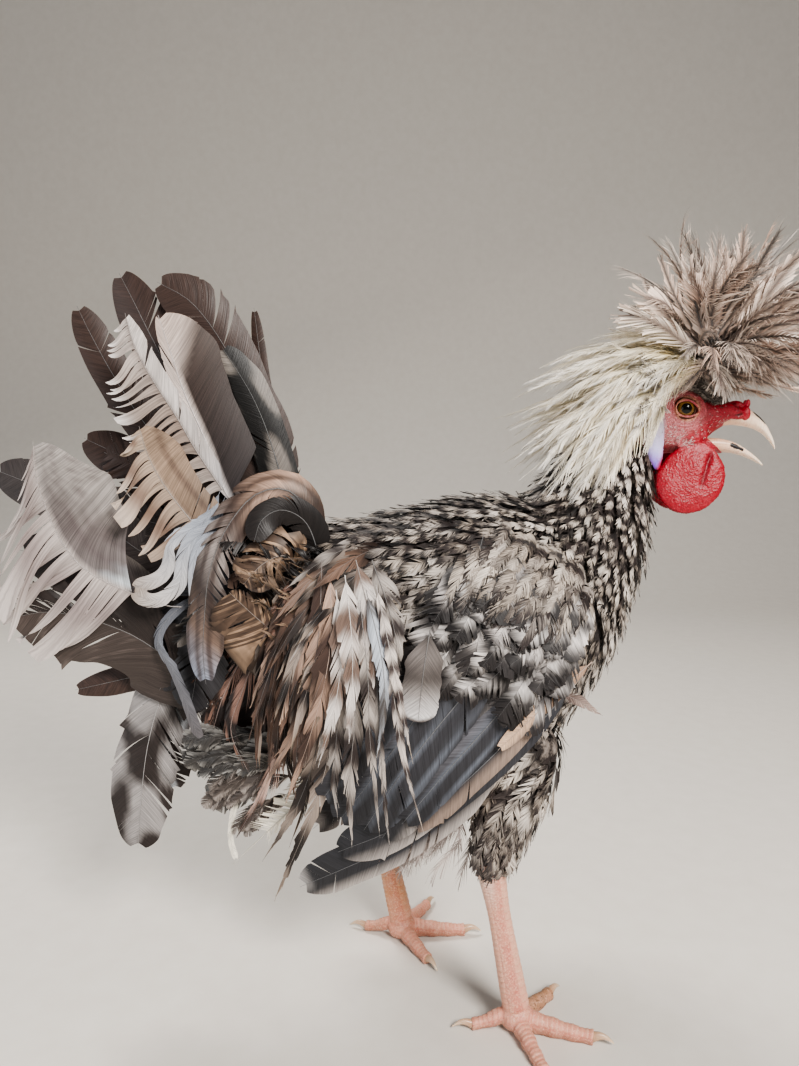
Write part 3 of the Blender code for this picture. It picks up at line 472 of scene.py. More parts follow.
class Coat:
    """Gathers feathers as arrays and turns them into pieces of a bounded size."""

    def __init__(self, name, material, unwrap, nodes=(), slot=None):
        self.name, self.material, self.unwrap = name, material, unwrap
        self.nodes, self.slot, self.parts = nodes, slot, []

    def add(self, points, quads, lie, barb, tint, shade, mark, patch):
        self.parts.append((points, quads, lie, barb, tint, shade, mark, patch))

    def make(self):
        """Makes the coat's pieces, hangs each on the root and hides the coat's nodes."""
        made, held, held_count = [], [], 0
        for part in self.parts + [None]:
            if held and (part is None or held_count + 2 * len(part[1]) > PIECE_TRIANGLES):
                made.append(self.piece(held, len(made)))
                held, held_count = [], 0
            if part is not None:
                held.append(part)
                held_count += 2 * len(part[1])
        for obj in made:
            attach(obj, "root")
        if self.nodes:
            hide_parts(*self.nodes)

    def piece(self, parts, index):
        starts = np.cumsum([0] + [len(p[0]) for p in parts[:-1]])
        quads = np.vstack([p[1] + start for p, start in zip(parts, starts)])
        stack = [np.vstack([p[i] for p in parts]) for i in (0, 2, 3, 4, 5, 6, 7)]
        points, lie, barb, tint, shade, mark, patch = stack
        maps = {"Lie": lie, "Barb": barb, "OFBake": patch}
        return add_mesh(f"{self.name}_{index + 1}", points, quads, maps,
                        {"Tint": tint, "Shade": shade, "Mark": mark}, [self.material])


BATCH = 900  # feathers made at one time
PATCH = 0.003  # side of a small feather's place on the baking map
MAP_MARGIN = 0.02


def on_map(across, ahead):
    """Place on the baking map from shares across and along a part."""
    return MAP_MARGIN + (1 - 2 * MAP_MARGIN) * np.stack([across, np.clip(ahead, 0, 1)], 1)


def leaf(t):
    """Barb length along a plain body feather."""
    return np.clip(0.55 + 1.6 * t, 0, 1) * np.clip(1.25 - 0.55 * t**2, 0, 1)


# What a feather is like where nothing else is said. It has barbs in clumps on both sides of its shaft, from
# the share `first` of its length to `last`. angle is the barbs' lean from the shaft at its foot and its tip,
# blunt is how late a parted clump narrows and waist how much it narrows early. sweep turns parted clumps
# within the vane, by its first value at the tip and its second as the square. An outline gives the vane's
# width along the feather, and then the barbs end on it; else the profile gives their length. The side values
# are shares for the left and right vane, and side_lean turns a side's barbs further out towards the tip, in
# degrees. paint(u, v, q, light, dark, jump) may change the light and dark colours over a feather.
FEATHER = dict(
    clumps=5, rows=2, first=0.1, last=1.0, angle=(52, 16), profile=leaf, outline=None, camber=0.12, shaft=0.0,
    paint=None, waves=3.0, blunt=1.6, waist=0.16, sweep=(0, 0), side_split=(1, 1), side_width=(1, 1),
    side_curl=(1, 1), side_sweep=(1, 1), side_lean=(0, 0),
)
LEAN_POWER = 2.2  # how late along the feather its barbs lean forward


def grow(coat, draw, points, facing, half_width, tint, shade, mark, split=0.5, ragged=0.12, curl=0.0,
         droop=0.0, patch=None, **own):
    """Adds feathers to a coat, on spines (F, K, 3).

    split is the share of clumps that part, curl how many radians they bend out of the vane, and droop how far
    they hang, as a share of their length. What else differs from FEATHER is named too."""
    count = len(points)
    shape = SimpleNamespace(**{**FEATHER, **own})
    single = [np.broadcast_to(np.asarray(v, float), (count,))
              for v in (half_width, split, ragged, curl, droop)]
    triple = [np.broadcast_to(np.asarray(v, float), (count, 3)) for v in (tint, shade, mark)]
    facing = np.broadcast_to(facing, points.shape)
    for start in range(0, count, BATCH):
        part = slice(start, start + BATCH)
        grow_batch(coat, draw, shape, None if patch is None else patch[part],
                   *(v[part] for v in (points, facing, *single, *triple)))


def barb_way(reach, lean, bend, jump, q, sweep):
    """Way along, across and out of the vane of barbs, added up over their steps."""
    middle = ((q[1:] + q[:-1]) / 2)[None, None, None, :, None]
    turn = lean - 0.15 * middle + (sweep[0] * middle + sweep[1] * middle**2) * (1 + 0.25 * jump)
    rise = bend * middle
    step = reach / (len(q) - 1)
    ways = [step * np.cos(turn) * np.cos(rise), step * np.sin(turn) * np.cos(rise), step * np.sin(rise)]
    return [np.concatenate([0 * w[..., :1, :], np.cumsum(w, axis=3)], axis=3) for w in ways]


def barb_lines(draw, shape, length, half_width, split, ragged, curl):
    """Barbs at both edges of each clump: root, parting, length, lean and bend, and the clump's own jump."""
    count, clumps, angle = len(length), shape.clumps, shape.angle
    side_split, side_width, side_curl, side_lean = (
        np.array(v, float) for v in (shape.side_split, shape.side_width, shape.side_curl, shape.side_lean))
    steps = np.cumsum(draw.uniform(0.65, 1.35, clumps + 1))
    steps = (steps - steps[0]) / (steps[-1] - steps[0])
    root = shape.first + (shape.last - shape.first) * (1 - (1 - steps) ** 1.25)
    wave = np.stack([soft_noise(draw, count, clumps + 1, shape.waves) for _ in range(2)], 1)
    jump = draw.uniform(-1, 1, (count, 2, clumps))
    free = (split[:, None] * side_split).clip(0, 1)[:, :, None]
    opened = ((free - draw.random((count, 2, clumps + 1))) * 5 + 0.45 * free).clip(0, 1)
    near_tip = np.clip((root - 0.8) / 0.1, 0, 1) * (free < 0.3)
    opened = opened * (1 - near_tip)
    roots = np.broadcast_to(root, (count, 2, clumps + 1))
    wide = half_width[:, None, None] * (1 + ragged[:, None, None] * wave) * side_width[:, None]
    if shape.outline:
        ahead = half_width / length / math.tan(math.radians(angle[0]))
        ahead = ahead[:, None, None]
        ends = roots + ahead * (1 - roots ** np.clip(0.85 / ahead, 1.5, 7))
        reach = shape.outline(ends) * wide
        run = (ends - roots) * length[:, None, None] + 0.01
        barbs, leans = np.hypot(reach, run), np.arctan2(reach, run)
    else:
        barbs = shape.profile(roots) * wide / math.sin(math.radians(max(angle[0], 20)))
        leans = np.radians(angle[0] + (angle[1] - angle[0]) * roots**LEAN_POWER)
    leans = leans + np.radians(side_lean)[:, None] * roots**3
    bends = curl[:, None, None] * side_curl[:, None] * (0.7 + 0.6 * wave)
    start, gap, barb, lean, bend = (
        np.stack([v[..., :-1], v[..., 1:]], -1) for v in (roots, opened, barbs, leans, bends))
    own = jump[..., None]
    barb = barb * (1 - gap) + barb.mean(-1, keepdims=True) * (1 + 0.25 * own) * gap
    lean = lean * (1 - gap) + (lean.mean(-1, keepdims=True) + 0.15 * own) * gap
    bend = bend * (1 + 0.5 * own * gap)
    return start, gap, barb, lean, bend, jump


def strip_faces(count, clumps, rows):
    """Corners of the faces of each clump's strip, turned over on one side of the shaft."""
    base = np.arange(count * 2 * clumps)[:, None] * 2 * (rows + 1)
    r = np.arange(rows) * 2
    quads = np.stack([base + r, base + r + 1, base + r + 3, base + r + 2], -1).reshape(-1, 4)
    flip = np.repeat(np.tile(np.repeat([False, True], clumps), count), rows)
    quads[flip] = quads[flip][:, ::-1]
    return quads


def grow_batch(coat, draw, shape, patch, points, facing, half_width, split, ragged, curl, droop, tint, shade,
               mark):
    count, clumps, rows, waist = len(points), shape.clumps, shape.rows, shape.waist
    sides, faces = frames_of(points, facing)
    length = np.linalg.norm(np.diff(points, axis=1), axis=2).sum(1)
    start, gap, barb, lean, bend, jump = barb_lines(draw, shape, length, half_width, split, ragged, curl)
    own = jump[..., None]
    q = np.linspace(0, 1, rows + 1)
    width = start[..., 1:] - start[..., :1]
    qq = q[None, None, None, :, None]
    tapered = (waist * (qq / 0.4).clip(0, 1) ** 0.7 + (0.94 - waist) * qq**shape.blunt).clip(0, 0.94)
    e, le, be, free = (v[..., None, :] for v in (barb, lean, bend, gap))
    length = length[:, None, None, None, None]
    closing = np.array((0.5, -0.5)) * free * width[..., None, :]
    u, v, out = barb_way(e, le, be, 0 * free, q, (0, 0))
    u = u + (start[..., None, :] + closing * tapered) * length
    side_sweep = np.array(shape.side_sweep, float)[None, :, None, None, None]
    swept = [value * side_sweep for value in shape.sweep]
    middle_e, middle_lean, middle_bend = (x.mean(-1, keepdims=True) for x in (e, le, be))
    mid_u, mid_v, mid_out = barb_way(middle_e, middle_lean, middle_bend, own[..., None, :], q, swept)
    slope = middle_lean + swept[0] * qq + swept[1] * qq**2
    half = np.array((-0.5, 0.5)) * width[..., None, :] * length
    half = half * np.sin(middle_lean).clip(0.3, 1) * (1 - tapered)
    free_u = start.mean(-1)[..., None, None] * length + mid_u + half * np.sin(slope)
    free_v = mid_v - half * np.cos(slope)
    parted = free * (qq / 0.12).clip(0, 1)
    u, v, out = (a * (1 - parted) + b * parted for a, b in ((u, free_u), (v, free_v), (out, mid_out)))
    broad = np.maximum(half_width, 0.5)[:, None, None, None, None]
    out = out - shape.camber * v * np.abs(v) / broad + 0.05 * own[..., None, :] * free * broad * qq
    t = start[..., None, :] + closing * tapered
    side = np.array((-1.0, 1.0))[None, :, None, None, None]
    share = u / length
    at = along(points, share.clip(0, 1.35))
    sd, fc = along(sides, share.clip(0, 1)), along(faces, share.clip(0, 1))
    at = at + sd * (side * v)[..., None] + fc * out[..., None]
    at[..., 2] -= droop[:, None, None, None, None] * e * qq**2
    v_share = side * v / broad
    lie = np.stack([share.clip(0, 1.3) / 1.3, 0.5 + 0.5 * v_share.clip(-1.4, 1.4) / 1.4], -1)
    barb_uv = np.stack([t * length / 10 * side, qq + 0 * t], -1)
    light = np.broadcast_to(tint[:, None, None, None, None, :], at.shape)
    dark = np.broadcast_to(shade[:, None, None, None, None, :], at.shape)
    if shape.paint:
        light, dark = shape.paint(share, v_share, qq + 0 * t, light, dark, jump[..., None, None])
    seeds = np.broadcast_to(mark[:, None, None, None, None, :], at.shape)
    if patch is None:
        corner = coat.unwrap(points[:, 0])
        place = corner[:, None, None, None, None, :] + (lie - 0.5) * PATCH
    else:
        place = patch[:, None, None, None, None, :2] + lie * patch[:, None, None, None, None, 2:]
    quads = strip_faces(count, clumps, rows)
    coat.add(at.reshape(-1, 3), quads, lie.reshape(-1, 2), barb_uv.reshape(-1, 2), light.reshape(-1, 3),
             dark.reshape(-1, 3), seeds.reshape(-1, 3), place.reshape(-1, 2))
    if shape.shaft > 0:
        add_shafts(coat, points, sides, faces, shape.shaft, light.reshape(count, -1, 3)[:, 0], mark, patch)


def add_shafts(coat, points, sides, faces, thickness, colour, mark, patch):
    """Tapering quill with four sides along each spine."""
    count, stops = points.shape[:2]
    t = np.linspace(0, 1, stops)
    radius = thickness * (1 - 0.82 * t)[None, :, None, None]
    turn = np.array((0.25, 0.75, 1.25, 1.75)) * np.pi
    ring = (points[:, :, None] + sides[:, :, None] * np.cos(turn)[None, None, :, None] * radius
            + faces[:, :, None] * (np.sin(turn)[None, None, :, None] * radius * 0.8 + thickness * 0.25))
    base = np.arange(count)[:, None, None] * stops * 4
    i, j = np.arange(stops - 1)[None, :, None] * 4, np.arange(4)[None, None, :]
    quads = np.stack([base + i + j, base + i + (j + 1) % 4, base + i + 4 + (j + 1) % 4, base + i + 4 + j], -1)
    lie = np.stack(np.broadcast_arrays(t[None, :, None] / 1.3, np.full((count, stops, 4), 0.5)), -1)
    pale = (colour * 0.8 + 0.12)[:, None, None, :] + np.zeros((count, stops, 4, 3))
    plain = mark[:, None, None, :] * np.array((1, 0, 0)) + np.zeros((count, stops, 4, 3))
    if patch is None:
        place = coat.unwrap(points[:, 0])[:, None, None, :] + (lie - 0.5) * PATCH
    else:
        place = patch[:, None, None, :2] + lie * patch[:, None, None, 2:]
    coat.add(ring.reshape(-1, 3), quads.reshape(-1, 4), lie.reshape(-1, 2), lie.reshape(-1, 2) * (40, 0.1),
             pale.reshape(-1, 3), pale.reshape(-1, 3) * 0.5, plain.reshape(-1, 3), place.reshape(-1, 2))


# Skin. The same forms as the solids', drawn in by the depth of the coat

TRUNK = (
    (-74, 226, 270, 13), (-62, 192, 282, 31), (-40, 150, 287, 50), (-12, 122, 291, 62), (18, 112, 298, 68),
    (48, 120, 303, 69), (76, 141, 300, 63), (98, 166, 290, 53), (116, 190, 274, 38), (131, 214, 254, 18),
)  # (x, underside z, back z, half width)
NECK = (
    (62, 228, 58, 52), (84, 246, 55, 50), (101, 264, 49, 45), (111, 283, 43, 39), (119, 301, 36, 33),
    (127, 318, 29, 27), (134, 333, 23, 22), (141, 346, 17, 16),
)  # (x, z, half depth, half width), square to the neck's own axis
LEGS = {
    "R": dict(hip=(60, -40, 172), hock=(51, -52, 95), ankle=(66, -53, 14), heading=-16, side=-1),
    "L": dict(hip=(22, 38, 168), hock=(-17, 36, 95), ankle=(1, 33, 14), heading=2, side=1),
}
THIGH_HIP = (34, 25)
THIGH_HOCK = (13, 11.5)
COAT_DEPTH = 7
THIGH_DEPTH = 4.5


def smooth(a, b, t):
    return a + (b - a) * (3 * t * t - 2 * t**3)


def trunk_tube():
    rings = []
    for x, low, high, wide in refined(TRUNK, 3):
        half = max((high - low) / 2 - COAT_DEPTH, 3)
        half_width = max(wide - COAT_DEPTH, 3)
        rings.append(oval((x, 0, (low + high) / 2), (0, 1, 0), (0, 0, 1), half_width, half, 40, 2.15))
    return tube("trunk", rings)


def neck_tube():
    rows = refined(NECK, 2)
    rings = []
    for i, (x, z, deep, wide) in enumerate(rows):
        before, after = rows[max(i - 1, 0)], rows[min(i + 1, len(rows) - 1)]
        axis = unit(np.array((after[0] - before[0], 0, after[1] - before[1])))
        rings.append(oval((x, 0, z), (axis[2], 0, -axis[0]), (0, 1, 0), max(deep - COAT_DEPTH, 6),
                          max(wide - COAT_DEPTH, 6), 36))
    return tube("neck", rings)


def leg_ring(at, axis, deep, wide, count, squareness=2.0):
    forward = unit(np.array((1.0, 0, 0)) - axis * axis[0])
    return oval(at, forward, np.cross(axis, forward), deep, wide, count, squareness)


def thigh_tube(leg):
    hip, hock = np.array(leg["hip"], float), np.array(leg["hock"], float)
    axis = unit(hock - hip)
    rings = []
    for t in np.linspace(0, 1.02, 10):
        at = hip + (hock - hip) * t + (5 * math.sin(math.pi * min(t, 1)), 0, 0)
        deep, wide = (smooth(a, b, min(t, 1)) - THIGH_DEPTH for a, b in zip(THIGH_HIP, THIGH_HOCK))
        rings.append(leg_ring(at, axis, deep, wide, 24))
    return tube("thigh", rings)


def make_skin():
    pieces = [trunk_tube(), neck_tube()] + [thigh_tube(leg) for leg in LEGS.values()]
    return melted("skin", pieces, 3.0, 8)


# Lie, size and colour of the small feathers, from the head to the hocks:
# place, lie, spacing, length, half width, rise at the tip, share of white, bars, looseness.
# A place off the middle plane counts on both sides.
TRACTS = (
    ((140, 0, 300), (-0.15, 0, -1), 3.7, 14, 2.9, 5.5, 0.60, 1.7, 0.5),
    ((125, 26, 318), (-0.35, 0, -0.94), 3.7, 15, 2.9, 5.5, 0.62, 1.7, 0.5),
    ((100, 10, 340), (-0.62, 0, -0.78), 4.0, 17, 3.1, 6.0, 0.55, 1.7, 0.5),
    ((150, 0, 262), (-0.22, 0, -1), 4.0, 16, 3.2, 5.5, 0.55, 1.6, 0.5),
    ((110, 42, 275), (-0.5, 0, -0.86), 4.2, 18, 3.4, 6.0, 0.55, 1.6, 0.5),
    ((66, 25, 300), (-0.86, 0, -0.5), 4.4, 20, 3.7, 6.5, 0.40, 1.6, 0.5),
    ((132, 0, 222), (-0.5, 0, -0.87), 4.8, 20, 4.4, 6.0, 0.55, 1.4, 0.5),
    ((100, 50, 225), (-0.62, 0, -0.78), 5.2, 22, 5.2, 6.5, 0.52, 1.3, 0.5),
    ((105, 25, 180), (-0.8, 0, -0.5), 5.2, 22, 5.0, 6.0, 0.52, 1.4, 0.6),
    ((70, 62, 232), (-0.75, 0, -0.66), 6.0, 25, 6.6, 7.0, 0.50, 1.1, 0.5),
    ((40, 66, 250), (-0.8, 0, -0.6), 6.0, 25, 6.4, 7.0, 0.42, 1.2, 0.5),
    ((60, 20, 303), (-0.97, 0, -0.2), 5.0, 23, 4.8, 6.0, 0.33, 1.5, 0.5),
    ((0, 30, 296), (-0.98, 0.05, -0.2), 5.2, 24, 4.8, 6.0, 0.24, 1.5, 0.6),
    ((-45, 25, 284), (-0.95, 0.1, -0.35), 5.4, 28, 4.8, 6.5, 0.22, 1.6, 0.7),
    ((-10, 60, 250), (-0.75, 0.05, -0.66), 5.6, 26, 5.4, 6.5, 0.42, 1.4, 0.7),
    ((-55, 42, 235), (-0.6, 0.1, -0.8), 6.0, 32, 5.2, 7.0, 0.34, 1.4, 0.8),
    ((20, 66, 190), (-0.8, 0, -0.6), 7.0, 26, 6.5, 6.0, 0.45, 1.2, 0.6),
    ((60, 15, 120), (-1, 0, -0.1), 7.0, 26, 6.5, 6.5, 0.55, 0.8, 0.9),
    ((0, 20, 118), (-0.95, 0, -0.3), 7.0, 32, 7.0, 8.0, 0.72, 0.4, 1.0),
    ((-45, 20, 150), (-0.7, 0, -0.7), 7.0, 36, 7.5, 9.0, 0.70, 0.4, 1.0),
    ((-70, 10, 215), (-0.6, 0, -0.8), 7.0, 36, 7.5, 9.0, 0.60, 0.5, 1.0),
)
# The same for the thighs, as the place along from the hip (0) to the hock (1)
THIGH_TRACTS = (
    (0.0, 6.0, 26, 6.8, 6.5, 0.50, 1.0, 0.6),
    (0.5, 5.4, 23, 5.8, 5.5, 0.54, 1.1, 0.6),
    (1.0, 4.0, 16, 3.8, 4.0, 0.56, 1.3, 0.6),
)


def tract_values(points):
    """Lie, spacing, length and the other values of TRACTS at points on the skin."""
    places, values = [], []
    for place, lie, *rest in TRACTS:
        for side in ((1,) if place[1] < 12 else (-1, 1)):
            places.append((place[0], side * place[1], place[2]))
            values.append((lie[0], side * lie[1], lie[2], *rest))
    places, values = np.array(places), np.array(values)
    gap = np.linalg.norm(points[:, None] - places[None], axis=2)
    weight = 1 / (gap + 4) ** 4
    found = (weight / weight.sum(1, keepdims=True)) @ values
    for leg in LEGS.values():
        hip, hock = np.array(leg["hip"], float), np.array(leg["hock"], float)
        axis = hock - hip
        share = (points - hip) @ axis / (axis @ axis)
        off = np.linalg.norm(points - hip - share[:, None] * axis, axis=1)
        rows = np.array(THIGH_TRACTS)
        own = np.array([np.interp(share, rows[:, 0], rows[:, i]) for i in range(1, 8)]).T
        lie = np.broadcast_to(unit(axis) + (-0.12, 0, 0), points.shape)
        own = np.hstack([lie, own])
        beside = np.sign(points[:, 1]) == np.sign(hip[1])
        inside = beside * np.clip((share - 0.12) / 0.3, 0, 1) * np.clip((42 - off) / 8, 0, 1)
        found = found * (1 - inside[:, None]) + own * inside[:, None]
    return found


def scattered(draw, points, faces, spacing_of, tries):
    """Places on a skin at least a spacing apart, with their spacing a function of the place."""
    corners = points[faces]
    area = np.linalg.norm(np.cross(corners[:, 1] - corners[:, 0], corners[:, 2] - corners[:, 0]), axis=1)
    chosen = draw.choice(len(faces), tries, p=area / area.sum())
    a, b = draw.random((2, tries))
    turn = a + b > 1
    a, b = np.where(turn, 1 - a, a), np.where(turn, 1 - b, b)
    at = corners[chosen, 0] + a[:, None] * (corners[chosen, 1] - corners[chosen, 0]) + b[:, None] * (
        corners[chosen, 2] - corners[chosen, 0])
    spacing = spacing_of(at)
    cell = spacing.max()
    taken, kept = {}, []
    keys = np.floor(at / cell).astype(int)
    for i, (key, place, gap) in enumerate(zip(map(tuple, keys), at, spacing)):
        near = [
            j for x in (-1, 0, 1) for y in (-1, 0, 1) for z in (-1, 0, 1)
            for j in taken.get((key[0] + x, key[1] + y, key[2] + z), ())
        ]
        if near and (((at[near] - place) ** 2).sum(1) < gap * gap).any():
            continue
        taken.setdefault(key, []).append(i)
        kept.append(i)
    return at[kept]


def snapped(tree, points):
    found = [tree.find_nearest(p) for p in points]
    return np.array([f[0][:] for f in found]), np.array([f[1][:] for f in found])


LAID_STOPS = 5  # points of a spine that lies over the skin


def laid(tree, roots, lie_of, length, rise):
    """Spines over the skin from each root along the coat's lie, rising to `rise` at the tip."""
    at, normal = snapped(tree, roots)
    track, up = [], []
    lie = lie_of(at)
    for t in np.linspace(0, 1, LAID_STOPS):
        track.append(at + normal * (rise * t**0.75 - (1 - t))[:, None])
        up.append(normal)
        lie = unit(lie - normal * (lie * normal).sum(1, keepdims=True))
        at, normal = snapped(tree, at + lie * (length / (LAID_STOPS - 1))[:, None])
        lie = lie * 0.75 + lie_of(at) * 0.25
    return np.stack(track, 1), np.stack(up, 1)


def body_unwrap(points):
    """Angle round the body across, and place along it, from the head down and back to the tail."""
    ahead = (points[:, 0] + 80) / 240
    down = (points[:, 2] - 90) / 260
    axis_z = np.interp(points[:, 0], (-70, 20, 100, 140), (245, 205, 230, 320))
    turn = np.arctan2(points[:, 1], points[:, 2] - axis_z) / (2 * np.pi) + 0.5
    return on_map(turn, (ahead + 0.6 * down) / 1.6)


def wing_covers(points):
    """Where the folded wing lies over the skin, so that no small feathers are spent there."""
    x, y, z = points.T
    low = np.interp(x, (-10, 30, 75), (150, 165, 200))
    high = np.interp(x, (-10, 40, 72), (215, 238, 225))
    return (np.abs(y) > 38) & (x > -10) & (x < 72) & (z > low) & (z < high)


def make_body_coat(skin, mats):
    draw = np.random.default_rng(SEED)
    points = points_of(skin)
    skin.data.calc_loop_triangles()
    faces = np.array([t.vertices[:] for t in skin.data.loop_triangles])
    tree = BVHTree.FromPolygons([Vector(p) for p in points], faces.tolist())
    roots = scattered(draw, points, faces, lambda p: tract_values(p)[:, 3], 60000)
    inside_head = np.linalg.norm(roots - HEAD_AT, axis=1) < 26
    roots = roots[~inside_head & ~wing_covers(roots) & (roots[:, 2] > 93)]
    values = tract_values(roots)
    length, half_width, rise, white, bars, loose = values[:, 4:].T
    count = len(roots)
    length = length * draw.uniform(0.82, 1.18, count)
    rise = rise * draw.uniform(0.7, 1.25, count)
    spines, up = laid(tree, roots, lambda p: unit(tract_values(p)[:, :3] + draw.normal(0, 0.07, (len(p), 3))),
                      length, rise)
    patchy = np.array([noise.noise(Vector(p) * 0.045) for p in roots])
    patchy = patchy + 0.5 * np.array([noise.noise(Vector(p) * 0.11 + Vector((9, 0, 0))) for p in roots])
    white = np.clip(white + 0.5 * patchy + draw.normal(0, 0.2, count), 0, 1)
    light, dark = plumage_pair(draw, roots, white)
    mark = np.stack([draw.random(count), bars * draw.uniform(0.85, 1.2, count), white], 1)
    coat = Coat("coat", mats["mottle"], body_unwrap, slot="mottled_plumage")
    small = loose < 0.85
    for chosen, clumps, rows, split in ((small, 6, 2, 0.55), (~small, 9, 3, 0.95)):
        grow(coat, draw, spines[chosen], up[chosen], half_width[chosen], light[chosen], dark[chosen],
             mark[chosen], clumps=clumps, rows=rows, split=split, ragged=0.2, camber=0.2, first=0.12,
             curl=draw.normal(0, 0.25, chosen.sum()), angle=(48, 12))
    coat.make()


def plumage_pair(draw, roots, white):
    """Light and dark colour of each small feather: warmth that differs at random, and a greyer dark colour
    low on the body and on the belly.
    """
    count = len(roots)
    warm = draw.random((count, 1)) * 0.6
    light = linear("#c3b29f") * warm + linear("#a79d95") * (1 - warm)
    light = light + (linear("#cfc6bd") - light) * np.clip(white[:, None] * 1.4 - 0.5, 0, 1)
    light = light * draw.uniform(0.75, 1.1, (count, 1))
    deep = draw.random((count, 1))
    dark = INK * deep + DARK * (1 - deep)
    low = np.clip((165 - roots[:, 2:]) / 50, 0, 1)
    dark = dark * (1 - low) + linear("#453d3b") * low
    belly = np.clip((150 - roots[:, 2:]) / 40, 0, 1) * np.clip((40 - roots[:, :1]) / 30, 0, 1)
    dark = dark * (1 - belly) + linear("#8b807b") * belly
    return light, dark


def make_skin_material():
    n = Nodes("coat_ground", Roughness=0.85, Specular_IOR_Level=0.2)
    place = n.object_place()
    blotch = n.noise(place, 120.0, 3.0)
    fine = n.noise(place, 900.0, 2.0)
    share = n.step(n.plus(blotch, n.times(fine, 0.25)), 0.5, 0.85)
    n.out("Base Color", n.mix(share, INK, "#8f857e"))
    n.bump(fine, 0.4, 0.001)
    return n.material


# Free feathers


def curve(places, count):
    """Smooth path through a few places, with points evenly along it."""
    fine = refined(places, 12)
    gone = np.concatenate([[0], np.cumsum(np.linalg.norm(np.diff(fine, axis=0), axis=1))])
    return np.array([np.interp(np.linspace(0, gone[-1], count), gone, fine[:, i]) for i in range(3)]).T


def bent(root, heading, length, towards, bend, stops, power=1.0):
    """Spines (F, K, 3) that leave each root along its heading and bend towards a direction."""
    ahead = unit(heading)
    inward = unit(towards - ahead * (towards * ahead).sum(-1, keepdims=True))
    fine = 24
    t = (np.arange(fine) + 0.5) / fine
    angle = bend[:, None] * t[None] ** power
    steps = ahead[:, None] * np.cos(angle)[..., None] + inward[:, None] * np.sin(angle)[..., None]
    walked = np.concatenate([np.zeros((len(root), 1, 3)), np.cumsum(steps, axis=1) / fine], axis=1)
    walked = root[:, None] + walked * length[:, None, None]
    at = np.linspace(0, fine, stops)
    low = np.clip(at.astype(int), 0, fine - 1)
    part = (at - low)[None, :, None]
    return walked[:, low] * (1 - part) + walked[:, low + 1] * part


def rolled(points, facing, roll):
    """Facing vectors turned round each spine by a roll in radians."""
    side, face = frames_of(points, facing)
    roll = np.broadcast_to(roll, points.shape[:1])[:, None, None]
    return face * np.cos(roll) + side * np.sin(roll)


def grid_patches(count, columns):
    """Places on the baking map, without overlap, for large feathers: corner and size of each."""
    rows = math.ceil(count / columns)
    i = np.arange(count)
    size = np.array((1 / columns, 1 / rows))
    corner = np.stack([i % columns, i // columns], 1) * size + size * 0.04
    return np.hstack([corner, np.broadcast_to(size * 0.92, (count, 2))])


def lance(t):
    """Barb length along a long pointed feather."""
    return np.clip(0.45 + 2.4 * t, 0, 1) * np.clip(1.35 - 1.15 * t, 0.12, 1)


def rounded(t):
    """Width along a broad feather whose end is round."""
    return np.clip(0.35 + 2.2 * t, 0, 1) * np.sqrt(1 - np.clip((t - 0.8) / 0.2, 0, 1) ** 2)


def pointed(t):
    """Width along a long feather that narrows to a soft point."""
    return np.clip(0.4 + 2.4 * t, 0, 1) * (1 - np.clip((t - 0.25) / 0.75, 0, 1) ** 1.5)


def strap(t):
    """Width along a parted strip with a blunt end."""
    return np.clip(0.5 + 2 * t, 0, 1) * np.sqrt(1 - np.clip((t - 0.93) / 0.07, 0, 1) ** 2 * 0.9)


def along_mix(u, stops, colours):
    """Colour along a feather, from shares of its length and a colour at each."""
    tones = [tone_of(colour) for colour in colours]
    return np.stack([np.interp(u, stops, [tone[i] for tone in tones]) for i in range(3)], -1)


def blended(a, b, share):
    """Colour a where the share is 0, and colour b where it is 1."""
    a, b = tone_of(a), tone_of(b)
    return a + (b - a) * np.clip(share, 0, 1)[..., None]


def layered(count, ground, *layers):
    """Colours of points: a ground, and over it each layer's colour by its share."""
    colour = np.broadcast_to(linear(ground), (count, 3))
    for tone, share in layers:
        colour = blended(colour, tone, share)
    return colour


# Saddle hackles, from the tail forward over the rump: rows along X and columns down each side

SADDLE_X = (-58, 12)
SADDLE_ROWS = 15
SADDLE_COLUMNS = 11
SADDLE_EDGE = ((120, 170, 215, 290), (-92, -86, -74, -66))  # z, and the x that no feather passes
SADDLE_LENGTH = (128, 66)  # at the tail and at the front row
# Looks of the saddle's feathers, from the tail forward over the rump
# The warm umber and rust browns towards the tail are partly the feathers' own colour and partly painted warm
# bounced light.
SADDLE_GRADES = ("umber", "rust", "deep", "umber", "brown", "rust", "deep", "dark", "umber", "deep", "dark")


def trunk_at(x):
    """(mid z, half height, half width) of the trunk at places along X."""
    rows = np.array(TRUNK, float)
    low, high, wide = (np.interp(x, rows[:, 0], rows[:, i]) for i in (1, 2, 3))
    return (low + high) / 2, (high - low) / 2, wide


def barred(bars, tip):
    """Soft dark bars across a long feather that ends in the colour of its tip."""
    def paint(u, v, q, light, dark, jump):
        turn = 2 * math.pi * (bars * u + own_share(light) - 0.14 * np.abs(v))
        wave = np.sin(turn) + 0.5 * np.sin(0.43 * turn + 7 * own_share(light)) + 0.35 * jump
        colour = blended(light, dark, 0.5 + 0.7 * wave)
        colour = blended(colour, tip, (u - 0.86) / 0.1 * 0.8)
        return shaded(colour, jump, 0.1, 0.5)
    return paint


HACKLE_LOOKS = {
    "white": ("#d9d0ca", "#6d5a50", "#e6e0dc", 3.2),
    "brown": ("#a98d7c", "#3f302a", "#b99d8a", 2.4),
    "dark": ("#aaa19a", "#332b29", "#b5aca6", 4.2),
    "thin": ("#cfc4bc", "#3c3230", "#d8c6b2", 6.5),
    "blue": ("#b9bfc8", "#4a4543", "#cfd3d8", 1.4),
    "deep": ("#94867c", "#241d1b", "#a08c7a", 3.4),
    "rust": ("#6d574b", "#241b18", "#7f6759", 1.6),
    "umber": ("#5a463c", "#1f1816", "#75594b", 2.0),
}  # light, dark, tip and count of bars
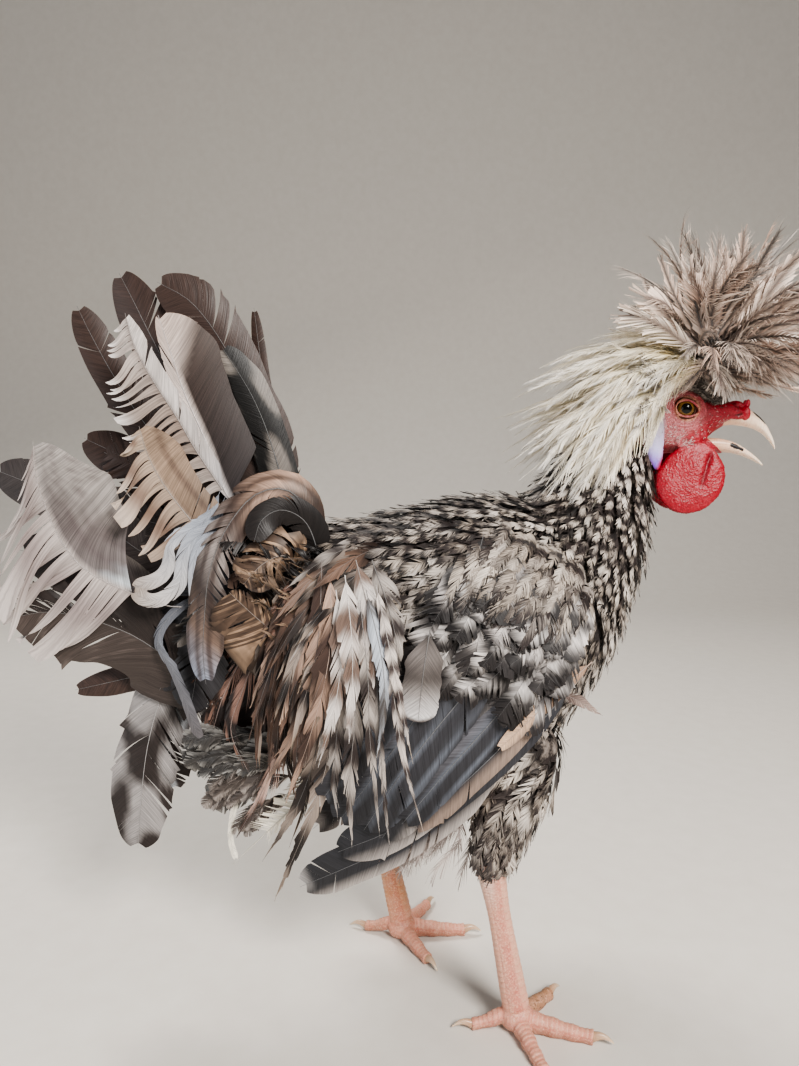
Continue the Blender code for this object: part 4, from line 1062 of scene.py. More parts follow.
# Long hackles over the wing as the photograph shows them: path in pixels, half width, rise, look
HACKLES = (
    (((322, 560), (318, 640), (302, 712), (262, 792)), 7.5, 6, "brown"),
    (((330, 570), (330, 650), (312, 730), (284, 808)), 8.0, 8, "brown"),
    (((338, 600), (336, 690), (320, 790), (274, 902)), 8.0, 5, "deep"),
    (((330, 620), (322, 720), (300, 800), (262, 862)), 7.0, 3, "deep"),
    (((345, 575), (352, 640), (352, 695), (349, 744)), 8.5, 12, "white"),
    (((352, 600), (356, 700), (350, 780), (352, 848)), 8.0, 9, "dark"),
    (((360, 600), (368, 680), (370, 740), (380, 838)), 4.6, 13, "dark"),
    (((366, 590), (382, 660), (384, 710), (376, 760)), 5.0, 14, "blue"),
    (((376, 585), (392, 660), (402, 710), (413, 764)), 3.6, 15, "thin"),
    (((380, 600), (393, 690), (404, 760), (424, 834)), 3.4, 14, "thin"),
    (((345, 640), (338, 720), (334, 780), (338, 822)), 7.0, 7, "dark"),
    (((372, 600), (378, 700), (382, 770), (390, 852)), 3.6, 12, "dark"),
    (((336, 590), (342, 650), (334, 710), (318, 768)), 7.5, 10, "white"),
    (((356, 560), (368, 610), (374, 660), (370, 706)), 8.0, 11, "white"),
    (((372, 560), (386, 600), (396, 640), (398, 690)), 7.5, 11, "dark"),
)


def make_saddle(mats):
    draw = np.random.default_rng(SEED + 1)
    coat = Coat("saddle", mats["covert"], body_unwrap, slot="mottled_plumage")
    row, column, side = (g.ravel() for g in np.meshgrid(
        np.arange(SADDLE_ROWS), np.arange(SADDLE_COLUMNS), (-1, 1), indexing="ij"))
    share = (column + 0.5 * (row % 2) + draw.uniform(-0.2, 0.2, len(row))) / SADDLE_COLUMNS
    ahead = (row + draw.uniform(-0.3, 0.3, len(row))) / (SADDLE_ROWS - 1)
    x = SADDLE_X[0] + (SADDLE_X[1] - SADDLE_X[0]) * ahead
    middle, high, wide = trunk_at(x)
    turn = np.radians(16 + 78 * share)
    inside = 0.84
    root = np.stack([x, side * wide * inside * np.sin(turn), middle + high * inside * np.cos(turn)], 1)
    outward = vectors(0, side * np.sin(turn), np.cos(turn))
    heading = outward * (0.42 + 0.12 * ahead)[:, None] + vectors(-0.42, side * 0.22, -0.22 - 0.5 * share)
    heading = heading + draw.normal(0, 0.06, root.shape)
    fall = vectors(-0.16 + 0.06 * share - 0.3 * ahead, side * (0.03 + 0.05 * ahead), -1)
    fall = fall + draw.normal(0, 0.04, root.shape)
    length = SADDLE_LENGTH[0] + (SADDLE_LENGTH[1] - SADDLE_LENGTH[0]) * ahead
    length = length * draw.uniform(0.72, 1.04, len(x)) * (1 - 0.12 * share)
    bend = np.radians(70 + draw.uniform(-8, 8, len(x)))
    spines = bent(root, heading, length, fall, bend, 9, power=0.38)
    clear = spines[..., 0] - np.interp(spines[..., 2], *SADDLE_EDGE)
    keep = clear.min(1) > 0
    spines, x, side, ahead = spines[keep], x[keep], side[keep], ahead[keep]
    facing = vectors(-0.1, side, 0.25)[:, None]
    facing = rolled(spines, facing, draw.normal(0, 0.3, len(x)))
    grade = np.clip(1.05 * ahead + draw.normal(0, 0.2, len(x)), 0, 0.999)
    looks = np.array(SADDLE_GRADES)[(grade * len(SADDLE_GRADES)).astype(int)]
    for look in HACKLE_LOOKS:
        own = looks == look
        if not own.any():
            continue
        pale, deep, tip, bars = (tone_of(value) for value in HACKLE_LOOKS[look])
        shade = draw.uniform(0.8, 1.1, (own.sum(), 1))
        mark = marks(draw, own.sum(), 0, 0.25)
        grow(coat, draw, spines[own], facing[own], draw.uniform(6.0, 9.5, own.sum()), pale * shade,
             deep * shade, mark, clumps=24, rows=3, first=0.05, angle=(32, 5), outline=pointed,
             split=draw.uniform(0.1, 0.45, own.sum()), ragged=0.12, curl=draw.normal(0.05, 0.25, own.sum()),
             droop=0.05, camber=0.25, shaft=0.24, paint=barred(bars * 0.8, tip))
    coat.make()
    make_hackles(mats, draw)


def make_hackles(mats, draw):
    shown = Coat("hackles", mats["covert"], body_unwrap, slot="mottled_plumage")
    for side in (-1, 1):
        for path, half_width, rise, look in HACKLES:
            places = [on_flank(u, v, rise + 0.8 * k) for k, (u, v) in enumerate(path)]
            spine = mirrored(curve(places, 16), side)[None]
            facing = rolled(spine, np.array((-0.1, side, 0.2)), draw.normal(0, 0.12))
            pale, deep, tip, bars = (tone_of(value) for value in HACKLE_LOOKS[look])
            pale = pale * draw.uniform(0.9, 1.0)
            grow(shown, draw, spine, facing, half_width, pale, deep, marks(draw, 1, bars, 0.2),
                 clumps=40, rows=4, first=0.04, angle=(30, 5), outline=pointed, split=0.3, ragged=0.12,
                 curl=draw.normal(0.05, 0.15), camber=0.3, shaft=0.3, paint=barred(bars, tip))
    shown.make()


# Wing, on the flank's own surface

FLANK_AT = (50, 215)  # x and z of the wing's widest place
FLANK_WIDTH = 73.5


def flank_y(x, z):
    """How far the folded wing's middle layer stands out from the middle plane."""
    ahead, behind = np.maximum(x - FLANK_AT[0], 0) * MM, np.minimum(x - FLANK_AT[0], 0) * MM
    above, below = np.maximum(z - FLANK_AT[1], 0) * MM, np.minimum(z - FLANK_AT[1], 0) * MM
    return FLANK_WIDTH - (6.5 * ahead**2 + 1.9 * behind**2 + 5 * above**2 + 0.9 * below**2) / MM


def on_flank(u, v, rise=0.0):
    """Place on the right wing's surface that the photograph shows at a pixel."""
    y = -FLANK_WIDTH
    for _ in range(4):
        place = seen(u, v, y)
        y = -(flank_y(place[0], place[2]) + rise)
    return np.array((place[0], y, place[2]))


# Flight feathers as the photograph shows them: path in pixels from root to tip, half width, rise, look
FLIGHT = (
    (((515, 640), (478, 700), (424, 782), (382, 838)), 14.5, -1.0, "grey_edge"),
    (((505, 655), (462, 698), (405, 769), (364, 830)), 15.5, 1.4, "slate"),
    (((470, 640), (425, 705), (375, 775), (338, 822)), 15.0, 2.6, "slate"),
    (((440, 640), (395, 700), (352, 760), (322, 800)), 15.0, 3.6, "slate"),
    (((545, 655), (500, 712), (450, 768), (402, 824)), 11.5, 0.4, "slate"),
    (((560, 668), (512, 735), (462, 785), (412, 830)), 9.0, 0.0, "inner"),
    (((572, 685), (535, 728), (482, 780), (420, 828)), 6.4, -0.8, "leading"),
    (((520, 730), (462, 795), (400, 842), (350, 866), (300, 887)), 13.0, -3.2, "blade"),
    (((520, 715), (450, 785), (395, 828), (338, 852)), 13.0, -2.2, "grey_edge"),
    (((592, 662), (562, 688), (530, 720), (498, 750)), 4.2, 4.6, "alula"),
)
FLANK_FLUFF = 46  # loose feathers a side between the wing and the thigh
# Coverts in tiers: count, first and last root, first and last tip in pixels, half width and rise
COVERT_TIERS = (
    (8, (572, 660), (452, 600), (532, 724), (404, 678), 10.5, 4.6),
    (9, (578, 640), (462, 578), (548, 700), (424, 652), 9.8, 6.2),
    (9, (582, 620), (472, 556), (556, 680), (438, 626), 9.2, 7.6),
    (10, (586, 600), (482, 536), (564, 656), (452, 600), 8.6, 8.8),
)
SHOULDER_TIERS = (
    (15, (592, 600), (478, 544), (576, 646), (450, 594), 6.4, 8.6),
    (17, (590, 586), (486, 534), (576, 628), (460, 582), 5.8, 8.2),
    (19, (586, 570), (492, 524), (574, 610), (470, 568), 5.2, 6.6),
    (21, (580, 556), (502, 520), (570, 594), (484, 556), 4.6, 4.4),
)
SHOWN_COVERT = (((430, 630), (423, 676), (418, 722)), 10.5, 11.0)


def paint_slate(look):
    def paint(u, v, q, light, dark, jump):
        colour = along_mix(u, (0, 0.45, 1), (SLATE * 0.42, SLATE * 0.5, SLATE * 0.3))
        if look == "slate":
            pale = soft_band(v, 0.35, 0.3) * soft_band(u, 0.45, 0.3)
            colour = blended(colour, STEEL, pale * 0.55)
            # Painted sheen: lighter blue-grey gloss streaks along the barbs.
            streak = np.clip(np.sin(8 * v + 2.5 * u) - 0.2, 0, 1) * soft_band(u, 0.6, 0.35)
            colour = blended(colour, "#7b828e", streak * 0.6)
        if look == "grey_edge":
            colour = blended(colour, ASH, np.clip(-v * 1.6 - 0.5, 0, 1) * 0.7)
        if look == "leading":
            colour = blended(colour, "#c2a992", np.clip(v * 2.6 - 0.75, 0, 1))
        if look == "inner":
            colour = blended(colour, TAN * 0.55 + 0.08, np.clip(-v * 1.8, 0, 1) * 0.7)
        if look == "alula":
            colour = along_mix(u, (0, 0.4, 1), (TAN * 0.7, "#a98c76", "#c4a78e"))
            colour = blended(colour, "#8a7263", np.clip(jump, 0, 1) * 0.4)
            colour = blended(colour, SLATE, np.clip(-v * 1.5 - 0.5, 0, 1) * 0.6)
        if look == "blade":
            colour = blended(colour * 0.9, ASH, np.clip(-v * 2.2 - 0.9, 0, 1) * 0.75)
            colour = blended(colour, PEARL, np.clip((u - 0.93) * 9, 0, 1) * np.clip(v * 2 + 1, 0, 1))
        return shaded(colour, jump, 0.06, 0.7)
    return paint


def own_share(light):
    """A number from 0 to 1 that differs between feathers."""
    return (light[..., 0] * 97.3) % 1.0


def soft_band(u, middle, width):
    return np.exp(-(((u - middle) / width) ** 2))


def paint_covert(u, v, q, light, dark, jump):
    """Dark feather with one or two soft light patches that differ in place, size and side."""
    own = own_share(light)
    other = (own * 7.31) % 1.0
    place = u + 0.22 * (other - 0.5) * v + 0.13 * v**2
    low = soft_band(place, 0.84 - 0.30 * own, 0.085 + 0.06 * other)
    high = soft_band(place, 0.42 - 0.18 * other, 0.08) * np.clip((other - 0.25) * 4, 0, 1)
    one_side = 1 - 0.6 * np.clip(np.sign(own - 0.5) * v * 1.6, 0, 1)
    level = (low + 0.85 * high) * one_side * (0.5 + 0.6 * other) + 0.25 * jump * (low + high + 0.2)
    colour = blended(dark, light, level * 1.15 - 0.03)
    return colour, colour * 0.45


def paint_shown(u, v, q, light, dark, jump):
    colour = along_mix(u + 0.06 * np.abs(v), (0, 0.3, 0.55, 0.72, 0.88, 0.97, 1.0), (
        "#332e2c", "#6f6865", "#4d4744", "#8b8582", "#b9b5b4", "#c9c6c5",
        "#5d5654"))
    colour = blended(colour, "#4b4543", soft_band(u, 0.5, 0.14) * np.abs(v) * 0.8)
    return shaded(colour, jump, 0.1, 0.5)


def tier_spines(draw, tiers, side, jitter, sink):
    """Spines of feathers in tiers over the wing, half widths and rolls. Roots lie deeper by `sink`."""
    spines, widths, rolls = [], [], []
    for count, first_root, last_root, first_tip, last_tip, half_width, rise in tiers:
        for i in range(count):
            share = (i + draw.uniform(-0.35, 0.35)) / (count - 1)
            root, tip = (np.array(first) + (np.array(last) - first) * share + draw.normal(0, spread, 2)
                         for first, last, spread in ((first_root, last_root, jitter / 2),
                                                     (first_tip, last_tip, jitter)))
            swing = np.array((6.0, 4.0)) * math.sin(math.pi * share)
            places = [on_flank(*root, rise - sink), on_flank(*((root + tip) / 2 + swing), rise + 1),
                      on_flank(*tip, rise + 2.5)]
            spines.append(mirrored(curve(places, 8), side))
            widths.append(half_width * draw.uniform(0.8, 1.2))
            rolls.append(draw.normal(-8, 9) * side)
    return np.array(spines), np.array(widths), np.radians(rolls)


def mirrored(points, side):
    """The right wing's points, or the left wing's for side 1."""
    return points * np.array((1, -side, 1))


def paint_shoulder(u, v, q, light, dark, jump):
    """A second light spot near the feather's root."""
    spot = np.clip(1.7 - 10 * np.abs(u - 0.24 + 0.05 * jump) - 0.8 * v**2, 0, 1)
    return light, blended(dark, light * 0.85, spot)


def make_wing(mats, side, letter):
    draw = np.random.default_rng(SEED + 20)
    out = np.array((0, side * 1.0, 0.0))
    make_flight(mats, draw, side, letter, out)
    make_coverts(mats, draw, side, letter, out)
    make_shoulder(mats, draw, side, letter, out)


def make_flight(mats, draw, side, letter, out):
    coat = Coat(f"wing_feathers_{letter}", mats["slate"], None, slot="slate_plumage")
    patches = grid_patches(len(FLIGHT) + 1, 4)
    for i, (path, half_width, rise, look) in enumerate(FLIGHT):
        places = [on_flank(u, v, rise + 1.2 * k) for k, (u, v) in enumerate(path)]
        spine = mirrored(curve(places, 22), side)[None]
        facing = rolled(spine, out, np.radians(-8.0 * side))
        mark = marks(draw, 1, 0.8, 0.25)
        grow(coat, draw, spine, facing, half_width, SLATE, DARK, mark, clumps=46, rows=5, first=0.05,
             last=0.97, angle=(44, 2), outline=rounded, split=0.1, ragged=0.04, camber=0.16, shaft=0.5,
             waves=9, paint=oriented(paint_slate(look), side), patch=patches[i : i + 1])
    coat.make()


def make_coverts(mats, draw, side, letter, out):
    covers = Coat(f"coverts_{letter}", mats["covert"], body_unwrap, nodes=(f"wing_{letter}",),
                  slot="mottled_plumage")
    spines, widths, rolls = tier_spines(draw, COVERT_TIERS, side, 8, 3)
    white = draw.random(len(spines))[:, None]
    light = linear("#b4aca8") * (1 - white) + linear("#dcd6d2") * white
    light = light * draw.uniform(0.8, 1.05, (len(spines), 1))
    dark = linear("#231f1f") * (0.7 + 0.7 * draw.random((len(spines), 1)))
    mark = marks(draw, len(spines), (1.0, 1.9), 0.3)
    grow(covers, draw, spines, rolled(spines, out, rolls), widths, light, dark, mark, clumps=22, rows=4,
         first=0.06, angle=(44, 4), split=0.4, ragged=0.14, camber=0.22, shaft=0.2,
         curl=draw.normal(0, 0.2, len(spines)), outline=rounded, paint=paint_covert)
    path, half_width, rise = SHOWN_COVERT
    spine = mirrored(curve([on_flank(u, v, rise) for u, v in path], 12), side)[None]
    grow(covers, draw, spine, rolled(spine, out, 0.0), half_width, PEARL, SLATE, np.array([[0.3, 1.2, 0.25]]),
         clumps=40, rows=5, first=0.05, angle=(42, 4), split=0.12, ragged=0.06, camber=0.2, shaft=0.45,
         outline=rounded, paint=paint_shown)
    covers.make()


def make_shoulder(mats, draw, side, letter, out):
    shoulder = Coat(f"shoulder_{letter}", mats["mottle"], body_unwrap, slot="mottled_plumage")
    spines, widths, rolls = tier_spines(draw, SHOULDER_TIERS, side, 5, 15)
    count = len(spines)
    white = np.clip(draw.normal(0.40, 0.19, count), 0.0, 1)
    light, dark = plumage_pair(draw, spines[:, 0], white)
    mark = marks(draw, count, (1.1, 1.5), white)
    grow(shoulder, draw, spines, rolled(spines, out, rolls), widths, light, dark, mark, clumps=12, rows=3,
         first=0.1, angle=(48, 12), split=0.55, ragged=0.2, camber=0.22, curl=draw.normal(0, 0.25, count),
         paint=paint_shoulder)
    bristle = mirrored(curve([on_flank(*p, -8) for p in ((560, 692), (580, 702), (603, 716))], 8), side)[None]
    grow(shoulder, draw, bristle, rolled(bristle, out, 0.2), 4.2, linear("#b9a49c"), linear("#5d4f4b"),
         np.array([[0.4, 0.6, 0.6]]), clumps=16, rows=3, outline=pointed, angle=(36, 5), split=0.3, shaft=0.2)
    make_flank_fluff(shoulder, draw, side, out)
    shoulder.make()


def make_flank_fluff(shoulder, draw, side, out):
    count = FLANK_FLUFF
    places = draw.uniform((418, 786), (470, 836), (count, 2))
    depths = draw.uniform(-48, -36, count)
    root = np.array([mirrored(seen(*place, depth), side) for place, depth in zip(places, depths)])
    heading = np.stack([-0.5 + draw.normal(0, 0.25, count), side * 0.3 + draw.normal(0, 0.15, count),
                        -0.9 + draw.normal(0, 0.2, count)], 1)
    spines = bent(root, heading, draw.uniform(17, 28, count), np.array((-0.6, 0, -0.6)) + 0 * root,
                  np.radians(draw.uniform(10, 40, count)), 6)
    tone = draw.random((count, 1))
    light = linear("#8f8480") * tone + linear("#b9aca6") * (1 - tone)
    mark = marks(draw, count, (0.6, 1.2), (0.6, 1))
    grow(shoulder, draw, spines, rolled(spines, out, draw.normal(0, 0.5, count)), draw.uniform(5, 8, count),
         light, light * 0.5, mark, clumps=20, rows=4, first=0.1, angle=(36, 12), split=0.9, ragged=0.3,
         waist=0.5, curl=draw.normal(0, 0.5, count), droop=0.2)


def oriented(paint, side):
    """The same paint for a wing of the other side, where the vane's two sides change places."""
    if side < 0:
        return paint
    return lambda u, v, q, light, dark, jump: paint(u, -v, q, light, dark, jump)


# Tail

TAIL_ROOT = np.array((-70.0, 0, 258))


def toned(stops, colours, edge=None, edge_from=0.6):
    """Paint that changes along the feather, with an edge of another colour where one is given."""
    def paint(u, v, q, light, dark, jump):
        colour = along_mix(u, stops, colours)
        if edge is not None:
            colour = blended(colour, edge, (np.abs(v) - edge_from) / (1 - edge_from))
        return shaded(colour, jump, 0.08, 0.6)
    return paint


def blotches(u, v, size, seed):
    """Soft irregular patches over a vane, from 0 to 1."""
    a = np.sin(size * u + 2.1 * v + seed) + np.sin(0.63 * size * u - 3.3 * v + 2.2 * seed)
    return np.clip(0.5 + 0.45 * (a + 0.5 * np.sin(1.7 * size * u + 5.1 * v + 0.7 * seed)), 0, 1)


def side_by_side(v, left, right):
    return np.where((v > 0)[..., None], right, left)


def shaded(colour, jump, amount=0.1, deep=0.55):
    """Light and dark colours of a feather, with each clump of barbs a little apart in lightness."""
    return colour * (1 + amount * jump[..., None]), colour * deep


def paint_vane(u, v, q, light, dark, jump):
    """Dark grey vane with a narrow pale one beside it and a pale tip."""
    right = along_mix(u, (0, 0.3, 0.7, 1), ("#42424a", "#332f30", "#352b28", "#4f443f"))
    pale = along_mix(u, (0, 0.5, 1), ("#c9ccd4", "#d3c9c4", "#b3a299"))
    right = blended(right, pale, (0.10 - v) * 14)
    right = blended(right, pale, (u + 0.25 * (1 - v) - 0.98) / 0.12)
    return shaded(side_by_side(v, pale, right), jump, 0.06)


def paint_sickle(u, v, q, light, dark, jump):
    """Parted cream-white barbs, greyer at the shaft and brown at some ends."""
    left = along_mix(u, (0, 0.35, 0.6, 1), ("#7d8391", "#a39a95", "#8f7e73", "#b3aaa5"))
    left = blended(left, "#7d6c62", np.clip((q - 0.45) * 1.2, 0, 0.5) * (jump > 0.1))
    left = blended(left, "#eeeae8", soft_band(q, 0.95, 0.2) * 0.6)
    right = along_mix(u, (0, 0.5, 1), ("#b9bdc6", "#a8a19e", "#bfb7b2"))
    left = blended(left, "#5d524d", np.clip(0.75 - 4 * q, 0, 1) * 0.6)
    right = blended(right, "#4a4341", np.clip(0.6 - 3 * q, 0, 1) * 0.6)
    return shaded(side_by_side(v, left, right), jump, 0.14)


def paint_second(u, v, q, light, dark, jump):
    vane = along_mix(u, (0, 0.5, 1), ("#51443d", "#7d6a5b", "#927d6b"))
    vane = blended(vane, "#54423a", np.clip(np.sin(11 * v + 3 * u) - 0.1, 0, 1) * 0.75)
    left = along_mix(u, (0, 0.5, 1), ("#767478", "#938274", "#a49282"))
    left = blended(left, "#6d594d", soft_band(q, 0.45, 0.22) * (jump > 0))
    return shaded(side_by_side(v, left, vane), jump, 0.12)


def paint_silver(u, v, q, light, dark, jump):
    edge = u + 0.16 * v + 0.05 * np.sin(23 * v)
    right = along_mix(edge, (0, 0.52, 0.60, 0.8, 1), (
        "#c3cace", "#b9bec2", "#6d6665", "#625a59", "#96908c"))
    right = blended(right, "#54494a", np.clip(np.sin(16 * v + 2 * u) - 0.35, 0, 1) * (edge > 0.5) * 0.7)
    left = along_mix(u, (0, 0.5, 1), ("#958b88", "#b3a9a4", "#a19894"))
    left = blended(left, "#7f7270", soft_band(q, 0.35, 0.25) * 0.8)
    return shaded(side_by_side(v, left, right), jump, 0.14)


def paint_broad(u, v, q, light, dark, jump):
    low = along_mix(u, (0, 0.5, 1), ("#2b2523", "#3d3532", "#463d39"))
    low = blended(low, "#857a73", np.clip(np.sin(70 * u) - 0.6, 0, 1) * 0.7 * np.clip(jump, 0, 1))
    high = linear("#2b2422")
    return shaded(side_by_side(v, low, high), jump, 0.1)


def paint_blotched(light_code, dark_code, size, seed, first=0.35):
    """Soft patches, where `first` is how much of the vane stays dark."""
    def paint(u, v, q, light, dark, jump):
        share = blotches(u, v, size, seed)
        colour = blended(dark_code, light_code, (share - first) * 2.2)
        return shaded(colour, jump, 0.1)
    return paint


def paint_hoop(u, v, q, light, dark, jump):
    # Darkest at the root, the right limb of the hoop, which lies in the shaded hollow inside the curl:
    # painted shade. The bands further along are the feather's own colour.
    colour = along_mix(u + 0.05 * v, (0, 0.16, 0.28, 0.36, 0.5, 0.62, 0.74, 0.86, 1), (
        "#120e0c", "#2b221e", "#4b3c34", "#a88c7b", "#4a3d37", "#8b817c",
        "#352b26", "#6e5b50", "#848a98"))
    colour = blended(colour, "#3a2d28", np.clip(np.sin(11 * v + 5 * u) + 0.2, 0, 1) * 0.75)
    return shaded(colour, jump, 0.14)


def paint_fan(u, v, q, light, dark, jump):
    colour = along_mix(u, (0, 0.4, 1), ("#6e5a4a", "#574538", "#4d3d33"))
    colour = blended(colour, "#c9a98c", np.clip(jump, 0, 1) * 0.5)
    colour = blended(colour, "#382b24", np.clip(np.sin(60 * u) - 0.1, 0, 1) * 0.85)
    colour = blended(colour, "#2c221d", np.clip((q - 0.8) * 5, 0, 0.8))
    return shaded(colour, jump, 0.1)


BROWN = linear("#3b2d28")
SMOKE = linear("#4b4442")
dark_plume = toned((0, 0.5, 1), (SMOKE, BROWN * 1.1, BROWN))
grey_plume = toned((0, 0.5, 1), ("#4a4645", "#504948", "#373130"), "#6d6560", 0.75)
black_plume = toned((0, 1), ("#161313", "#1f1a19"))
fawn_plume = toned((0, 0.5, 1), ("#4c3c33", "#8f7460", "#a88b73"), "#59463b", 0.6)
curl_plume = toned((0, 0.35, 0.7, 1), ("#2f2623", "#735e51", "#b39c8a", "#6b594f"),
                   "#3c2f2a", 0.7)
pink_plume = toned((0, 0.5, 0.85, 1), ("#221b19", "#463730", "#715a50", "#a38778"))
pale_strip = toned((0, 0.4, 0.8, 1), ("#666a73", "#9da1aa", "#b5b0ae", "#94887f"))
steel_strip = toned((0, 0.5, 1), ("#4d4e53", "#6d6f76", "#5b5657"))
slate_plume = toned((0, 0.5, 1), ("#343336", "#3c3b3e", "#2f2d2f"))
down_plume = paint_blotched("#7d7a76", "#3a3735", 6, 0.9, 0.3)
fluff_plume = paint_blotched("#8c837d", "#4b433f", 5, 1.7, 0.25)
bone_plume = toned((0, 0.5, 1), ("#b5ac9c", "#dcd4c4", "#e6dfd0"))
hanging_plume = paint_blotched("#8f8a88", "#2b2422", 23, 0.4)
golden_plume = toned((0, 0.35, 0.7, 1), ("#1d1613", "#3d3028", "#75604e", "#b3967c"))
smudged_plume = paint_blotched("#77706a", "#0e0c0b", 13, 2.0, 0.62)
rust_plume = paint_blotched("#86675a", "#261d1a", 13, 1.3)
rose_plume = paint_blotched("#b3968a", "#3f302b", 17, 2.6)

# What sets the tail's kinds of feathers apart
HERO = dict(rows=7, first=0.05, last=0.985, angle=(46, 2), outline=rounded, camber=0.14, shaft=0.6, waves=6)
SILK = dict(clumps=44, split=0.75, ragged=0.2, angle=(24, 4), outline=pointed, camber=0.2)
PLAIN = dict(clumps=44, split=0.12, ragged=0.05)
SPLIT = dict(split=1.0, ragged=0.25, rows=11, blunt=6, waist=0.42, droop=0.06, curl=0.5)
STRIP = dict(clumps=30, split=0.12, ragged=0.12, outline=strap, angle=(24, 4), shaft=0.2)
DOWNY = dict(clumps=60, split=0.25, ragged=0.22, angle=(28, 10), camber=0.4, shaft=0.1, waves=9)
COMB = dict(clumps=26, split=0.8, ragged=0.2, angle=(52, 26), blunt=3, waist=0.5, shaft=0.75, rows=5)
